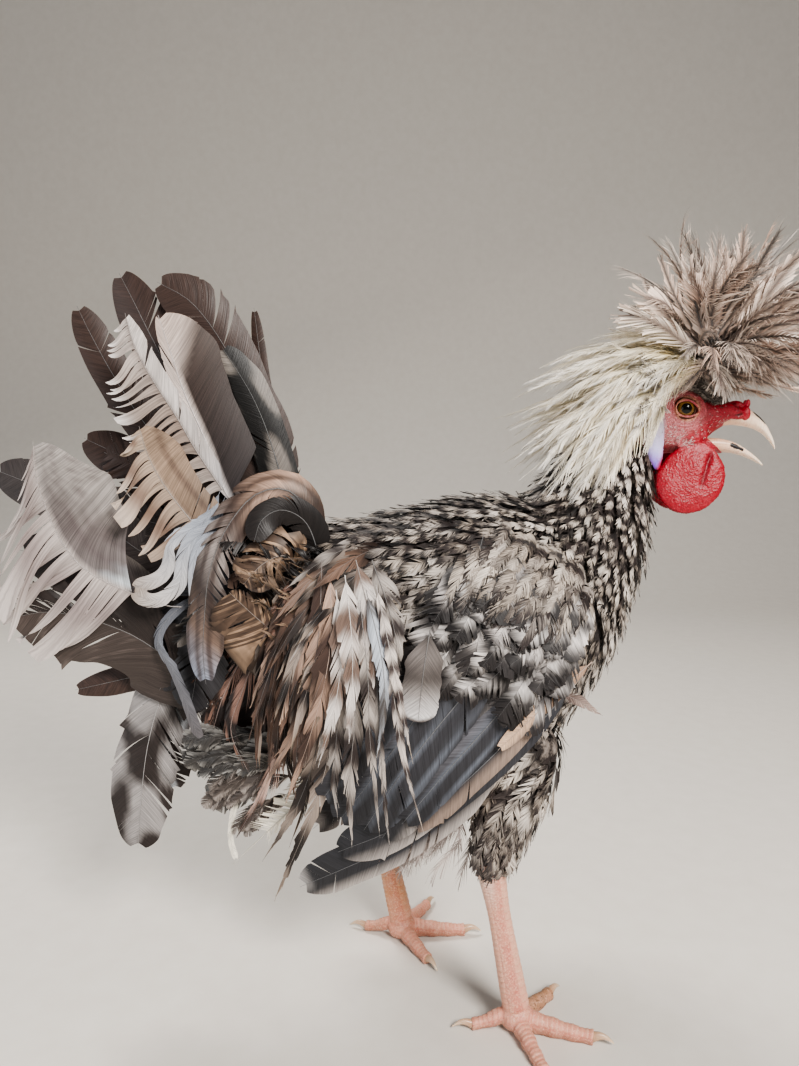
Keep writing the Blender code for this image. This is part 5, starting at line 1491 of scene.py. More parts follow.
# Near and middle tail feathers as the photograph shows them: path in pixels, depth at root and tip, half
# width, roll in degrees, paint, and what differs from HERO. A path starts from the tail's root, or from one
# of its own.
PHOTO_PLUMES = {
    "brown_a": (((200, 478), (150, 430), (115, 378), (90, 333), (77, 306)),
     (6, 12), 12.5, 10, dark_plume, PLAIN),
    "brown_b": (((222, 450), (182, 392), (152, 338), (132, 298), (119, 273)),
     (3, 6), 16, -6, dark_plume, PLAIN),
    "brown_c": (((268, 450), (247, 395), (224, 346), (192, 303), (157, 282)),
     (0, 0), 17.5, 6, dark_plume, PLAIN),
    "blotched": (((286, 505), (272, 446), (252, 396), (222, 347)), (-3, -6), 12, 10, smudged_plume, PLAIN),
    "narrow": (((290, 500), (279, 450), (263, 375), (254, 308)), (12, 24), 4.4, 0, dark_plume, PLAIN),
    "vane": (((231, 502), (208, 446), (184, 392), (170, 350), (158, 315)),
     (-7, -17), 25, 4, paint_vane, dict(clumps=48, split=0.1, ragged=0.04, side_width=(0.3, 1.1), first=0.3)),
    "sickle": (((233, 504), (214, 477), (194, 447), (178, 419), (151, 377), (134, 346), (125, 313)),
     (-12, -26), 22, 4, paint_sickle,
     dict(SPLIT, clumps=18, first=0.34, angle=(58, 24), sweep=(2.4, -3.0), side_sweep=(1, 0.1),
          side_lean=(34, 0), side_split=(1, 0.15), side_width=(1.2, 0.42), side_curl=(1, 0.1))),
    "second": (((225, 560), (194, 524), (166, 488), (148, 456), (139, 426)),
     (-18, -32), 20, 8, paint_second,
     dict(SPLIT, clumps=14, first=0.3, angle=(60, 20), sweep=(2.2, -2.2), side_sweep=(1, 0.1),
          side_lean=(24, 0), side_split=(1, 0.2), side_width=(1.25, 1.0), side_curl=(1, 0.1))),
    "silver": (((190, 606), (130, 592), (86, 570), (61, 541), (47, 510), (36, 477), (33, 441)),
     (-16, -42), 25, 2, paint_silver,
     dict(SPLIT, clumps=17, first=0.46, angle=(44, 30), sweep=(0.5, -0.5), side_sweep=(1, 0.2),
          side_lean=(95, 0), side_split=(1, 0.15), side_width=(1.7, 1.35), side_curl=(1, 0.1), droop=0.0)),
    "broad": (((196, 672), (160, 652), (130, 634), (92, 620), (48, 612), (12, 618)),
     (-10, -30), 27, 0, paint_broad,
     dict(clumps=44, split=0.3, ragged=0.1, first=0.3, angle=(34, 12), side_split=(0.3, 1.2),
          sweep=(0.45, 0), side_width=(1.1, 0.6), rows=10)),
    "under": (((190, 640), (120, 590), (60, 560), (20, 550)), (-4, -14), 20, 0, grey_plume, PLAIN),
    "small": (((180, 665), (128, 678), (75, 690)), (0, -6), 9, 12, dark_plume, PLAIN),
    "back_a": (((180, 505), (132, 463), (84, 438)), (8, 18), 15, 14, dark_plume, PLAIN),
    "back_b": (((160, 560), (80, 505), (-4, 470)), (4, 4), 17, 6, grey_plume, PLAIN),
    "slate_b": (((215, 590), (176, 630), (160, 690)),
     (-10, -14), 18, 8, slate_plume, dict(clumps=40, split=0.25)),
    "slate_c": (((235, 590), (205, 640), (190, 710)),
     (-14, -20), 17, 4, slate_plume, dict(clumps=40, split=0.25)),
    "stem": (((190, 600), (165, 622), (158, 645), (172, 668), (188, 708), (200, 744)),
     (-18, -30), 4.2, 20, steel_strip, dict(STRIP, root=(205, 590, -14))),
    "hook_a": (((205, 520), (180, 535), (168, 548), (169, 562), (160, 577), (133, 588)),
     (-22, -34), 4.8, 10, pale_strip, dict(STRIP, root=(222, 488, -15))),
    "hook_b": (((212, 525), (192, 541), (182, 561), (180, 582), (165, 597), (147, 600), (133, 591)),
     (-24, -38), 4.8, 0, pale_strip, dict(STRIP, root=(226, 495, -15))),
    "strip": (((212, 530), (196, 552), (193, 590), (200, 631), (200, 672)),
     (-26, -40), 3.4, 10, pale_strip, dict(STRIP, root=(228, 500, -15))),
    "hang_a": (((200, 640), (165, 690), (149, 740), (142, 790), (138, 848)),
     (-4, -14), 20, 4, hanging_plume, dict(clumps=48, split=0.2, ragged=0.12, droop=0.05)),
    "hang_b": (((205, 650), (180, 700), (170, 740), (176, 790)),
     (0, -4), 13, -10, paint_blotched("#b9bcc0", "#3a3230", 12, 1.1), dict(clumps=40, split=0.3)),
    "hang_c": (((262, 640), (243, 690), (231, 731), (250, 775)),
     (-22, -34), 9.5, 12, rust_plume, dict(SILK, root=(275, 600, -16))),
    "hang_d": (((268, 660), (262, 710), (258, 778)),
     (-18, -28), 12, 4, rust_plume, dict(SILK, root=(282, 600, -14))),
    "hang_e": (((285, 665), (283, 715), (270, 790)),
     (-22, -32), 12, 10, rose_plume, dict(SILK, root=(295, 600, -18))),
    "hang_f": (((245, 650), (222, 700), (208, 750)),
     (-14, -22), 12, 10, rust_plume, dict(SILK, root=(262, 600, -12))),
    "hang_g": (((300, 680), (285, 735), (262, 792), (236, 838)),
     (-26, -34), 10, 10, rose_plume, dict(SILK, root=(306, 620, -22))),
    "hang_h": (((232, 650), (216, 690), (214, 735), (222, 765)),
     (-10, -16), 11, 10, rust_plume, dict(SILK, root=(252, 600, -10))),
    "hang_i": (((240, 650), (228, 700), (222, 742), (224, 772)),
     (2, -6), 17, 8, dark_plume, dict(clumps=44, split=0.2, ragged=0.12, root=(262, 600, 0))),
    "hang_j": (((272, 660), (262, 710), (252, 745), (248, 778)),
     (0, -8), 17, 0, dark_plume, dict(clumps=44, split=0.2, ragged=0.12, root=(285, 600, 0))),
    "down_a": (((250, 744), (226, 744), (204, 750), (184, 762)),
     (-14, -24), 13, 12, down_plume, dict(DOWNY, root=(272, 742, -10))),
    "down_c": (((262, 774), (243, 784), (226, 794), (212, 806)),
     (-9, -18), 12, 6, down_plume, dict(DOWNY, root=(276, 758, -8))),
    "bone_a": (((299, 800), (287, 813), (268, 831), (250, 848), (233, 864)),
     (-24, -31), 8.5, 0, bone_plume, dict(COMB, root=(312, 752, -18), last=0.66, side_width=(0.55, 1.3))),
    "bone_c": (((236, 802), (232, 822), (231, 842), (236, 860)),
     (-16, -22), 2.2, 0, bone_plume, dict(STRIP, root=(256, 740, -10))),
    "hoop": (((315, 548), (306, 508), (284, 489), (255, 495), (232, 520), (217, 548), (208, 580),
              (205, 612), (203, 650), (206, 684)),
     (-22, -46), 12.5, 14, paint_hoop,
     dict(clumps=56, split=0.2, ragged=0.1, camber=0.3, rows=8, root=(322, 585, -20))),
    # A very dark curled feather laid in the shaded hollow inside the hoop: painted shadow.
    "shadow_arch": (((320, 562), (307, 524), (283, 510), (262, 520), (254, 542)),
     (-24, -40), 9.5, 0, black_plume, dict(clumps=40, split=0.15, root=(324, 595, -20))),
    "fan_a": (((286, 556), (263, 564), (243, 585)),
     (-30, -42), 13, 6, paint_fan,
     dict(clumps=34, split=0.3, ragged=0.15, root=(305, 575, -22), sweep=(0.5, 0))),
    "fan_b": (((296, 651), (272, 631), (250, 612), (229, 592)),
     (-34, -46), 20, 6, paint_fan,
     dict(clumps=40, split=0.22, ragged=0.12, side_width=(1.3, 0.4), angle=(62, 14), sweep=(0.9, 0.2),
          side_sweep=(1, 0), rows=9, root=(308, 655, -26))),
}


def make_photo_plumes(coat, draw, patches):
    for i, (path, depths, half_width, roll, paint, look) in enumerate(PHOTO_PLUMES.values()):
        share = np.linspace(0, 1, len(path) + 1)[1:]
        own = dict(look)
        root = own.pop("root", None)
        first = TAIL_ROOT + (0, 0.25 * depths[0], 0) if root is None else seen(*root)
        deep = depths[0] + (depths[1] - depths[0]) * share
        places = [first] + [seen(u, v, y) for (u, v), y in zip(path, deep)]
        spine = curve(places, 30)[None]
        facing = rolled(spine, np.array((0, -1.0, 0)), math.radians(roll))
        mark = marks(draw, 1, 0.9, 0.2)
        grow(coat, draw, spine, facing, half_width, CREAM, DARK, mark, paint=paint, patch=patches[i : i + 1],
             **{**HERO, **own})


# Feathers of the far side and inside of the tail, as the solids have them: rise, splay, length, half width,
# curl and paint
FAR_PLUMES = (
    (75, 2, 150, 17, 14, dark_plume), (58, 5, 150, 17, 14, dark_plume), (40, 4, 128, 17, 16, dark_plume),
    (22, 5, 132, 17, 14, grey_plume), (4, 4, 140, 17, 10, grey_plume),
    (72, 15, 150, 15, 46, slate_plume), (48, 21, 140, 16, 36, dark_plume), (24, 22, 140, 18, 26, grey_plume),
    (0, 18, 140, 18, 14, hanging_plume), (86, 12, 120, 12, 30, slate_plume),
    (60, 26, 128, 14, 50, fawn_plume), (80, 32, 88, 9.5, 165, curl_plume), (48, 36, 92, 10, 135, curl_plume),
    (20, 34, 90, 10, 105, fawn_plume), (64, 34, 90, 10, 150, curl_plume), (34, 36, 90, 10, 120, curl_plume),
    (4, 30, 92, 10, 90, fawn_plume), (-32, 24, 128, 16, 34, hanging_plume),
    (-48, 16, 140, 17, 20, hanging_plume), (-64, 6, 120, 15, 14, hanging_plume),
    (-20, 10, 130, 15, 20, grey_plume), (-40, 4, 130, 15, 16, hanging_plume),
)


def make_far_plumes(coat, draw, patches):
    for i, (rise, splay, length, half_width, curl, paint) in enumerate(FAR_PLUMES):
        up, out = math.radians(rise), math.radians(splay)
        heading = np.array([(-math.cos(up) * math.cos(out), math.sin(out), math.sin(up) * math.cos(out))])
        fall = np.array([(-math.sin(up), 0, -math.cos(up))])
        start = TAIL_ROOT[None] + (0, 0.035 * splay, 0)
        spine = bent(start, heading, np.array([length]), fall, np.radians([curl]), 22)
        facing = rolled(spine, np.array((0, 1.0, 0)), draw.normal(0, 0.15))
        mark = marks(draw, 1, 0.9, 0.3)
        grow(coat, draw, spine, facing, half_width, CREAM, DARK, mark, paint=paint, patch=patches[i : i + 1],
             clumps=36, split=draw.choice((0.15, 0.3, 0.6)), ragged=0.12, **{**HERO, "rows": 5})


# Curling coverts round the tail's foot: count, ranges of rise, splay, length and curl, and paints
COVER_GROUPS = (
    (9, (70, 110), (-60, -30), (40, 58), (90, 150), (curl_plume, black_plume, pink_plume)),
    (26, (60, 110), (14, 60), (58, 90), (110, 175), (curl_plume, fawn_plume, black_plume)),
    (26, (0, 60), (16, 62), (58, 90), (70, 140), (curl_plume, fawn_plume, dark_plume)),
    (20, (80, 125), (-40, 40), (28, 40), (60, 110), (black_plume, dark_plume)),
    (30, (-70, -10), (-24, 44), (60, 100), (10, 60), (smudged_plume, rust_plume, grey_plume)),
)


# Small loose feathers laid over a part of the tail: count, corners of the field of tips in pixels, reach to
# the root in pixels at the least and most, depths, half widths, curl, look and paint
SMALL_FIELDS = (
    (34, (234, 546), (306, 632), (22, 10), (50, 40), (-52, -32), (1.8, 4.2), 0.5,
     dict(clumps=14, outline=pointed, angle=(30, 8), split=0.7), golden_plume),
    (14, (250, 540), (312, 600), (16, 10), (40, 44), (-40, -26), (4, 7), 0.4,
     dict(clumps=16, outline=pointed, angle=(30, 8), split=0.5), black_plume),
    (22, (262, 600), (306, 690), (14, -50), (34, -26), (-46, -30), (4, 7), 0.6,
     dict(clumps=18, outline=pointed, angle=(28, 8), split=0.6), rust_plume),
    (46, (182, 742), (246, 774), (40, -10), (64, 0), (-32, -20), (4, 7), 0.25,
     dict(clumps=34, outline=rounded, angle=(24, 8), split=0.35, shaft=0.05), down_plume),
    (34, (202, 782), (254, 810), (30, -34), (48, -20), (-28, -16), (4, 7), 0.3,
     dict(clumps=34, outline=rounded, angle=(24, 10), split=0.45, shaft=0.05), fluff_plume),
    (16, (232, 824), (258, 838), (24, -32), (36, -20), (-24, -16), (3, 5), 0.3,
     dict(clumps=26, outline=rounded, angle=(26, 10), split=0.5, shaft=0.05), fluff_plume),
)


def make_small_fields(coat, draw):
    for count, low, high, least, most, depths, widths, curl, look, paint in SMALL_FIELDS:
        tips = draw.uniform(low, high, (count, 2))
        roots = tips + draw.uniform(np.minimum(least, most), np.maximum(least, most), (count, 2))
        out = draw.uniform(*depths, count)
        spines = np.array([curve([seen(*root, depth + 12), seen(*((root + tip) / 2 - (0, 5)), depth - 2),
                                  seen(*tip, depth)], 8) for root, tip, depth in zip(roots, tips, out)])
        facing = rolled(spines, np.array((0, -1.0, 0)), draw.normal(0, 0.4, count))
        mark = marks(draw, count, (0.8, 1.6), 0.2)
        grow(coat, draw, spines, facing, draw.uniform(*widths, count), CREAM, DARK, mark, paint=paint,
             **{**dict(rows=4, ragged=0.22, camber=0.25, shaft=0.2, curl=draw.normal(0, curl, count)),
                **look})


def make_tail_covers(coat, draw):
    for count, rises, splays, lengths, curls, paints in COVER_GROUPS:
        up = np.radians(draw.uniform(*rises, count))
        splay = draw.uniform(*splays, count)
        out = np.radians(splay)
        heading = np.stack([-np.cos(up) * np.cos(out), np.sin(out), np.sin(up) * np.cos(out)], 1)
        fall = np.stack([-np.sin(up) - 0.2, 0.4 * np.sin(out), -np.cos(up) - 0.4], 1)
        start = TAIL_ROOT + heading * draw.uniform(-4, 12, (count, 1)) + (8, 0, 0)
        length = draw.uniform(*lengths, count)
        spines = bent(start, heading, length, fall, np.radians(draw.uniform(*curls, count)), 12)
        side = np.sign(splay)
        facing = rolled(spines, vectors(-0.3, side, 0.2)[:, None], draw.normal(0, 0.4, count))
        for k, paint in enumerate(paints):
            own = np.arange(count) % len(paints) == k
            mark = marks(draw, own.sum(), (0.8, 2.2), (0.2, 0.6))
            grow(coat, draw, spines[own], facing[own], draw.uniform(5, 9, own.sum()), CREAM, DARK, mark,
                 paint=paint, clumps=24, rows=4, first=0.05, last=0.97, angle=(30, 7), outline=rounded,
                 ragged=0.2, split=draw.uniform(0.3, 0.8, own.sum()), curl=draw.normal(0, 0.3, own.sum()),
                 camber=0.25, shaft=0.3)
    make_small_fields(coat, draw)


def tail_unwrap(points):
    around = np.arctan2(points[:, 1], points[:, 2] - TAIL_ROOT[2]) / (2 * np.pi) + 0.5
    return on_map(around, (points[:, 0] + 100) / 60)


def make_tail(mats):
    draw = np.random.default_rng(SEED + 3)
    plumes = Coat("tail_plumes", mats["tail"], tail_unwrap, nodes=("tail",), slot="tail_plumage")
    patches = grid_patches(len(PHOTO_PLUMES) + len(FAR_PLUMES), 8)
    make_photo_plumes(plumes, draw, patches)
    make_far_plumes(plumes, draw, patches[len(PHOTO_PLUMES) :])
    covers = Coat("tail_coverts", mats["tail"], tail_unwrap, slot="tail_plumage")
    make_tail_covers(covers, np.random.default_rng(SEED + 11))
    plumes.make()
    covers.make()


# Crest

CREST_AT = np.array((8.0, 0, 24))
CREST_CORE = np.array((25.0, 24, 19))
# Crown tiers from the top down: lift and half spread to each side from the front in degrees, feathers, length
CROWN_TIERS = (
    (82, 175, 18, 62), (70, 165, 26, 64), (56, 155, 34, 66), (42, 135, 38, 66), (28, 118, 40, 60),
    (14, 108, 40, 52), (2, 98, 40, 42), (-8, 80, 34, 30),
)
# x in the head's frame, and the z that no feather of the crown passes
CREST_FLOOR = ((-40, -16, 4, 16, 26, 60), (-60, 6, 9, 10, 11, 20))
# Nape tiers from the parting backwards: root x and z in the head's frame, rise in degrees, feathers, length
# and bend
NAPE_TIERS = (
    (-2, 34, 46, 30, 48, 80), (-7, 32, 36, 42, 56, 74), (-12, 28, 27, 50, 64, 66), (-17, 24, 18, 54, 70, 58),
    (-22, 18, 9, 54, 74, 50), (-27, 11, 0, 50, 76, 42), (-31, 4, -10, 44, 72, 34), (-34, -4, -22, 34, 66, 26),
)


def paint_crown(u, v, q, light, dark, jump):
    """Dark shaft streak, pale fringe."""
    centre = np.clip(1.15 - np.abs(v) * 2.6, 0, 1) * np.clip(1.25 - 0.4 * u, 0, 1)
    centre = np.maximum(centre, np.clip(1.05 - 2.4 * u, 0, 1))
    colour = blended(light, dark, centre)
    return colour * (1 + 0.12 * jump[..., None]), dark


def paint_nape(u, v, q, light, dark, jump):
    colour = along_mix(u, (0, 0.25, 0.6, 1), ("#c4b58f", "#e6d9b4", "#f1e8d6", "#d9d4ce"))
    return shaded(colour, jump, 0.08, 0.8)


def crest_unwrap(points):
    own = to_head(points)
    around = np.arctan2(own[:, 1], own[:, 2] - 10) / (2 * np.pi) + 0.5
    return on_map(around, (own[:, 0] + 45) / 90)


def make_crown(mats):
    draw = np.random.default_rng(SEED + 4)
    coat = Coat("crown", mats["crest"], crest_unwrap, nodes=("crest_crown",), slot="mottled_plumage")
    lift, around, length = [], [], []
    for level, spread, count, reach in CROWN_TIERS:
        lift.append(level + draw.uniform(-8, 8, count))
        around.append(spread * (2 * (np.arange(count) + draw.uniform(0, 1, count)) / count - 1))
        length.append(np.full(count, reach, float))
    lift, around, length = (np.concatenate(parts) for parts in (lift, around, length))
    lift, around = np.radians(lift), np.radians(around)
    count = len(lift)
    forward = np.cos(around) * np.cos(lift)
    out = np.stack([forward, np.sin(around) * np.cos(lift), np.sin(lift)], 1)
    root = CREST_AT + out * CREST_CORE * 0.8
    keep = root[:, 0] + 0.85 * (root[:, 2] - 18) > -8
    reach = length * draw.uniform(0.7, 1.2, count) * (1 + 0.22 * np.clip(forward, 0, 1)
                                                      - 0.2 * np.abs(out[:, 1]))
    heading = out + vectors(0.22, 0, 0.3 - 0.15 * np.abs(out[:, 1]))
    heading = heading + draw.normal(0, 0.27, (count, 3))
    fall = vectors(out[:, 0], out[:, 1], -1.1) + draw.normal(0, 0.45, (count, 3))
    bend = np.radians(16 + 46 * np.cos(lift) * (1 - 0.75 * np.clip(forward, 0, 1))
                      + draw.uniform(-12, 26, count))
    spines = bent(moved(root, HEAD), turned(heading, HEAD), reach, turned(fall, HEAD), bend, 8)
    own = to_head(spines.reshape(-1, 3)).reshape(spines.shape)
    keep &= (own[..., 2] - np.interp(own[..., 0], *CREST_FLOOR)).min(1) > 0
    spines = spines[keep]
    count = len(spines)
    facing = rolled(spines, turned(out + (0, 0, 0.4), HEAD)[keep][:, None], draw.normal(0, 0.8, count))
    low = np.clip((12 - lift[keep] * 57) / 40, 0, 1)[:, None]
    warm = draw.random((count, 1))
    light = (linear("#e2c2ae") * warm + linear("#ecdfd3") * (1 - warm)) * (1 - low) + linear("#8f857d") * low
    dark = linear("#1e1715") * (1 + 6.0 * draw.random((count, 1)) ** 2)
    mark = marks(draw, count, (0.7, 1.6), (0.1, 0.4))
    grow(coat, draw, spines, facing, draw.uniform(4.8, 8.4, count), light, dark, mark, clumps=32, rows=3,
         first=0.06, angle=(36, 12), profile=leaf, split=1.0, ragged=0.35, curl=draw.normal(0, 0.22, count),
         droop=0.08, camber=0.1, shaft=0.16, waist=0.3, paint=paint_crown)
    make_crown_vanes(coat, draw)
    coat.make()
    make_brow(mats)


# Broad loose feathers on the sides of the crown: path in pixels, depth at root and tip, half width, light and
# dark
CROWN_VANES = (
    (((706, 348), (688, 335), (671, 316), (658, 304), (645, 298)), (-26, -34), 9, "#dfcabb", "#3a2c27"),
    (((700, 352), (682, 341), (666, 329), (654, 322), (642, 318)), (-28, -38), 9, "#e6d8ca", "#6b5a4f"),
    (((704, 346), (690, 322), (677, 300), (670, 284), (661, 260)), (-28, -34), 4, "#dcc3b3", "#2a201c"),
    (((708, 345), (699, 318), (694, 296), (690, 274)), (-32, -36), 7, "#dcc6b8", "#241a17"),
    (((712, 344), (712, 318), (712, 296), (716, 276)), (-34, -38), 7, "#c9b3a6", "#1f1613"),
    (((716, 346), (722, 318), (727, 292), (724, 258)), (-34, -38), 5, "#e2c6b4", "#2a1d19"),
    (((718, 348), (731, 320), (739, 292), (744, 232)), (-32, -34), 5, "#e0c2ae", "#2d201b"),
    (((720, 354), (736, 338), (751, 320), (770, 292), (792, 264)), (-32, -36), 8, "#ead6c8", "#4a3b34"),
    (((722, 350), (742, 322), (756, 298), (768, 250)), (-28, -32), 5, "#e2c6b4", "#2a1d19"),
    (((714, 358), (743, 347), (768, 336), (788, 331)), (-36, -42), 8, "#f0e4d8", "#a59388"),
    (((722, 366), (750, 354), (774, 341), (794, 322)), (-38, -42), 7, "#bfa798", "#1a1311"),
    (((728, 374), (752, 370), (772, 356), (790, 346)), (-36, -42), 7, "#e2c9b8", "#4b3a33"),
    (((724, 372), (744, 379), (770, 384), (798, 391)), (-34, -40), 3, "#e6c9b4", "#5b463c"),
    (((700, 364), (712, 366), (722, 374), (726, 388)), (-38, -42), 6, "#c9beb4", "#4b4039"),
)


def make_crown_vanes(coat, draw):
    for path, depths, half_width, light, dark in CROWN_VANES:
        depth = np.linspace(*depths, len(path))
        near_side = to_head(curve([seen(*p, y) for p, y in zip(path, depth)], 12))
        for side in (-1, 1):
            own = near_side * (1, -side, 1)
            spine = moved(own, HEAD)[None]
            facing = rolled(spine, turned(np.array((0, side, 0.25)), HEAD), draw.normal(0, 0.25))
            mark = marks(draw, 1, 1.1, 0.3)
            grow(coat, draw, spine, facing, half_width, linear(light), linear(dark), mark, clumps=44, rows=4,
                 first=0.08, angle=(32, 14), profile=leaf, split=0.55, ragged=0.34, curl=draw.normal(0, 0.2),
                 droop=0.05, camber=0.15, shaft=0.22, waist=0.4, paint=paint_crown)


# Short feathers of brow, parting and temple: places along the skull, turn from the top in degrees, feathers a
# side, length and half width
BROW_FIELDS = (
    ((-22, 24), (0, 44), 120, (15, 24), 3.6),
    ((0, 27), (14, 47), 300, (7, 12), 1.8),
    ((-26, -12), (34, 88), 60, (18, 28), 3.6),
)


def make_brow(mats):
    draw = np.random.default_rng(SEED + 8)
    coat = Coat("brow", mats["crest"], crest_unwrap, slot="mottled_plumage")
    skull = np.array(SKULL, float)
    for (x_low, x_high), (low, high), count, lengths, half_width in BROW_FIELDS:
        x = draw.uniform(x_low, x_high, 2 * count)
        side = np.repeat((-1, 1), count)
        turn = np.radians(draw.uniform(low, high, 2 * count))
        middle, tall, wide = (np.interp(x, skull[:, 0], skull[:, i]) for i in (1, 2, 3))
        out = vectors(0, side * np.sin(turn), np.cos(turn))
        root = np.stack([x, side * (wide - 0.6) * np.sin(turn), middle + (tall - 0.6) * np.cos(turn)], 1)
        heading = out + vectors(-0.55 - 0.02 * x, 0, 0.25) + draw.normal(0, 0.25, root.shape)
        fall = vectors(-0.7, 0.2 * side, -0.8) + draw.normal(0, 0.2, root.shape)
        spines = bent(moved(root, HEAD), turned(heading, HEAD), draw.uniform(*lengths, 2 * count),
                      turned(fall, HEAD), np.radians(draw.uniform(20, 60, 2 * count)), 6)
        facing = rolled(spines, turned(out, HEAD)[:, None], draw.normal(0, 0.4, 2 * count))
        pale = draw.random((2 * count, 1)) ** 1.5
        behind = np.clip((-8 - x) / 8, 0, 1)[:, None]
        light = linear("#a59b92") * (1 - pale) + linear("#d3c8bc") * pale
        light = light * (1 - behind) + linear("#cfc8be") * behind
        dark = linear("#211c1b") * (1 - behind) + linear("#4d4540") * behind
        mark = marks(draw, 2 * count, (0.7, 1.6), (0.2, 0.6))
        grow(coat, draw, spines, facing, half_width * draw.uniform(0.8, 1.25, 2 * count), light, dark, mark,
             clumps=9, rows=2, first=0.08, angle=(44, 12), split=0.9, ragged=0.3, droop=0.05,
             paint=paint_crown)
    coat.make()


TEMPLE_STRANDS = 46  # a side, over the ear lobes


def make_nape(mats):
    draw = np.random.default_rng(SEED + 5)
    coat = Coat("nape", mats["cream"], crest_unwrap, nodes=("crest_nape",), slot="cream_plumage")
    rows = [np.stack([np.full(count, v, float) for v in (x, z, rise, length, bend)]
                     + [2 * (np.arange(count) + draw.uniform(0, 1, count)) / count - 1], 1)
            for x, z, rise, count, length, bend in NAPE_TIERS]
    x, z, rise, length, bend, across = np.vstack(rows).T
    count = len(x)
    root = np.stack([x + 7 * across**2, 20 * across, z - 9 * across**2 - 3], 1)
    lift = np.radians(rise - 58 * across**2 + draw.uniform(-8, 8, count))
    aside = np.radians(38 * across + draw.uniform(-9, 9, count))
    heading = np.stack([-np.cos(lift) * np.cos(aside), np.cos(lift) * np.sin(aside), np.sin(lift)], 1)
    reach = length * draw.uniform(0.72, 1.12, count) * (1 - 0.16 * np.abs(across))
    fall = vectors(-0.3, 0.05 * across, -1) + draw.normal(0, 0.08, (count, 3))
    turn = np.radians(bend * (1 - 0.35 * across**2) + draw.uniform(-8, 8, count))
    spines = bent(moved(root, HEAD), turned(heading, HEAD), reach, turned(fall, HEAD), turn, 9)
    up = vectors(-0.4, 1.2 * across, 0.8)
    facing = rolled(spines, turned(up, HEAD)[:, None], draw.normal(0, 0.35, count))
    mark = marks(draw, count, (0.5, 1.0), (0.05, 0.3))
    grow(coat, draw, spines, facing, draw.uniform(4.2, 7.0, count), IVORY, STRAW, mark, clumps=32, rows=4,
         first=0.05, angle=(28, 8), profile=lance, split=1.0, ragged=0.3, curl=draw.normal(0.1, 0.4, count),
         droop=0.12, camber=0.2, shaft=0.24, paint=paint_nape)
    make_temples(coat, draw)
    coat.make()


def make_temples(coat, draw):
    count = 2 * TEMPLE_STRANDS
    side = np.repeat((-1.0, 1.0), TEMPLE_STRANDS)
    back = draw.uniform(0, 1, count)
    stations = []
    for x, y, z in ((-13.5, 15.6, 4), (-15.5, 20.8, -6), (-17, 22.2, -17), (-18, 22.6, -28)):
        stations.append(np.stack([x - 6 * back + 2, side * (y - 1.5 * back), z - 2 * back
                                  + draw.normal(0, 1, count)], 1))
    reach = draw.uniform(0.35, 1.0, count)
    spines = np.array([curve([moved(np.array([stop[i]]), HEAD)[0] for stop in stations], 12)
                       for i in range(count)])
    spines = np.array([[spine_at(spine, t * far) for t in np.linspace(0, 1, 8)]
                       for spine, far in zip(spines, reach)])
    out = turned(vectors(0, side, 0.2), HEAD)[:, None]
    mark = marks(draw, count, (0.5, 1.0), (0.05, 0.3))
    grow(coat, draw, spines, rolled(spines, out, draw.normal(0, 0.3, count)), draw.uniform(1.6, 2.6, count),
         IVORY, STRAW, mark, clumps=16, rows=3, first=0.05, angle=(26, 8), profile=lance, split=1.0,
         ragged=0.3, curl=draw.normal(0, 0.3, count), camber=0.2, shaft=0.2, paint=paint_nape)


def spine_at(spine, share):
    """Point at a share of a spine's run."""
    place = share * (len(spine) - 1)
    low = min(int(place), len(spine) - 2)
    return spine[low] + (spine[low + 1] - spine[low]) * (place - low)


# Head. Sizes in the head's frame: X to the bill's tip, the right side is -Y

SKULL = (
    (-31, -8, 7, 7), (-26, -8, 15, 13), (-17, -7, 19.5, 15.6), (-8, -6, 20.5, 15.4), (0, -5.5, 19.5, 14.6),
    (7, -5, 17.5, 13.2), (13, -4, 14.5, 11.2), (19, -1.5, 9.5, 8.8), (24, -0.5, 6, 6.5),
)  # (x, mid z, half height, half width)
UPPER_JAW = (
    (2, -12.5, 9, 12), (12, -10.5, 8.6, 10.4), (20, -7.4, 7.6, 8.6), (27, -4.8, 6.6, 7.0),
    (33, -4.2, 5.8, 6.0), (38, -4.4, 4.8, 5.2), (43, -5.4, 2.3, 4.3), (47.5, -7.6, -1.6, 3.4),
    (51, -10.4, -6.2, 2.3), (53.6, -13, -10.4, 1.3), (55, -14.8, -14, 0.5),
)  # (x, cutting edge z, ridge z, half width)
LOWER_JAW = (
    (0, -25, -12, 11), (8, -23.5, -12.6, 10), (16, -22.3, -12.4, 8.6), (24, -21.2, -11.9, 7.2),
    (31, -20.6, -12.9, 5.9), (37, -21.2, -15.2, 4.8), (42, -22.3, -18, 3.6), (46.5, -23.8, -21, 2.3),
    (50, -25.2, -24, 0.9),
)  # (x, underside z, cutting edge z, half width)
UPPER_SKIN_ENDS = ((38.5, 6.5), (17, -9))  # plane where skin gives way to horn: (x, z) above and below
LOWER_SKIN_ENDS = ((12.5, -12.2), (27, -21.5))
EYE_Y = 10.4
LIDS_X = 0.9  # middle of the lids, a little ahead of the eye's
EYE_RADIUS = 7.0
WATTLE_AT = (9.5, 10.8, -39.5)
WATTLE_SIZE = (18.6, 3.3, 20.8)
WATTLE_SPLAY = math.radians(9)
EARLOBE_AT = (-14.0, 17.6, -20)
EARLOBE_SIZE = (5.2, 2.2, 16.0)
FACE_VOXEL = 0.5


def jaw_rings(stations, swell, count=40, squareness=2.1, steps=4):
    rings = []
    for x, low, high, wide in refined(stations, steps):
        tall, half_width = max((high - low) / 2 + swell, 0.3), max(wide + swell, 0.3)
        centre = (x, 0, (low + high) / 2)
        rings.append(oval(centre, (0, 1, 0), (0, 0, 1), half_width, tall, count, squareness))
    return rings


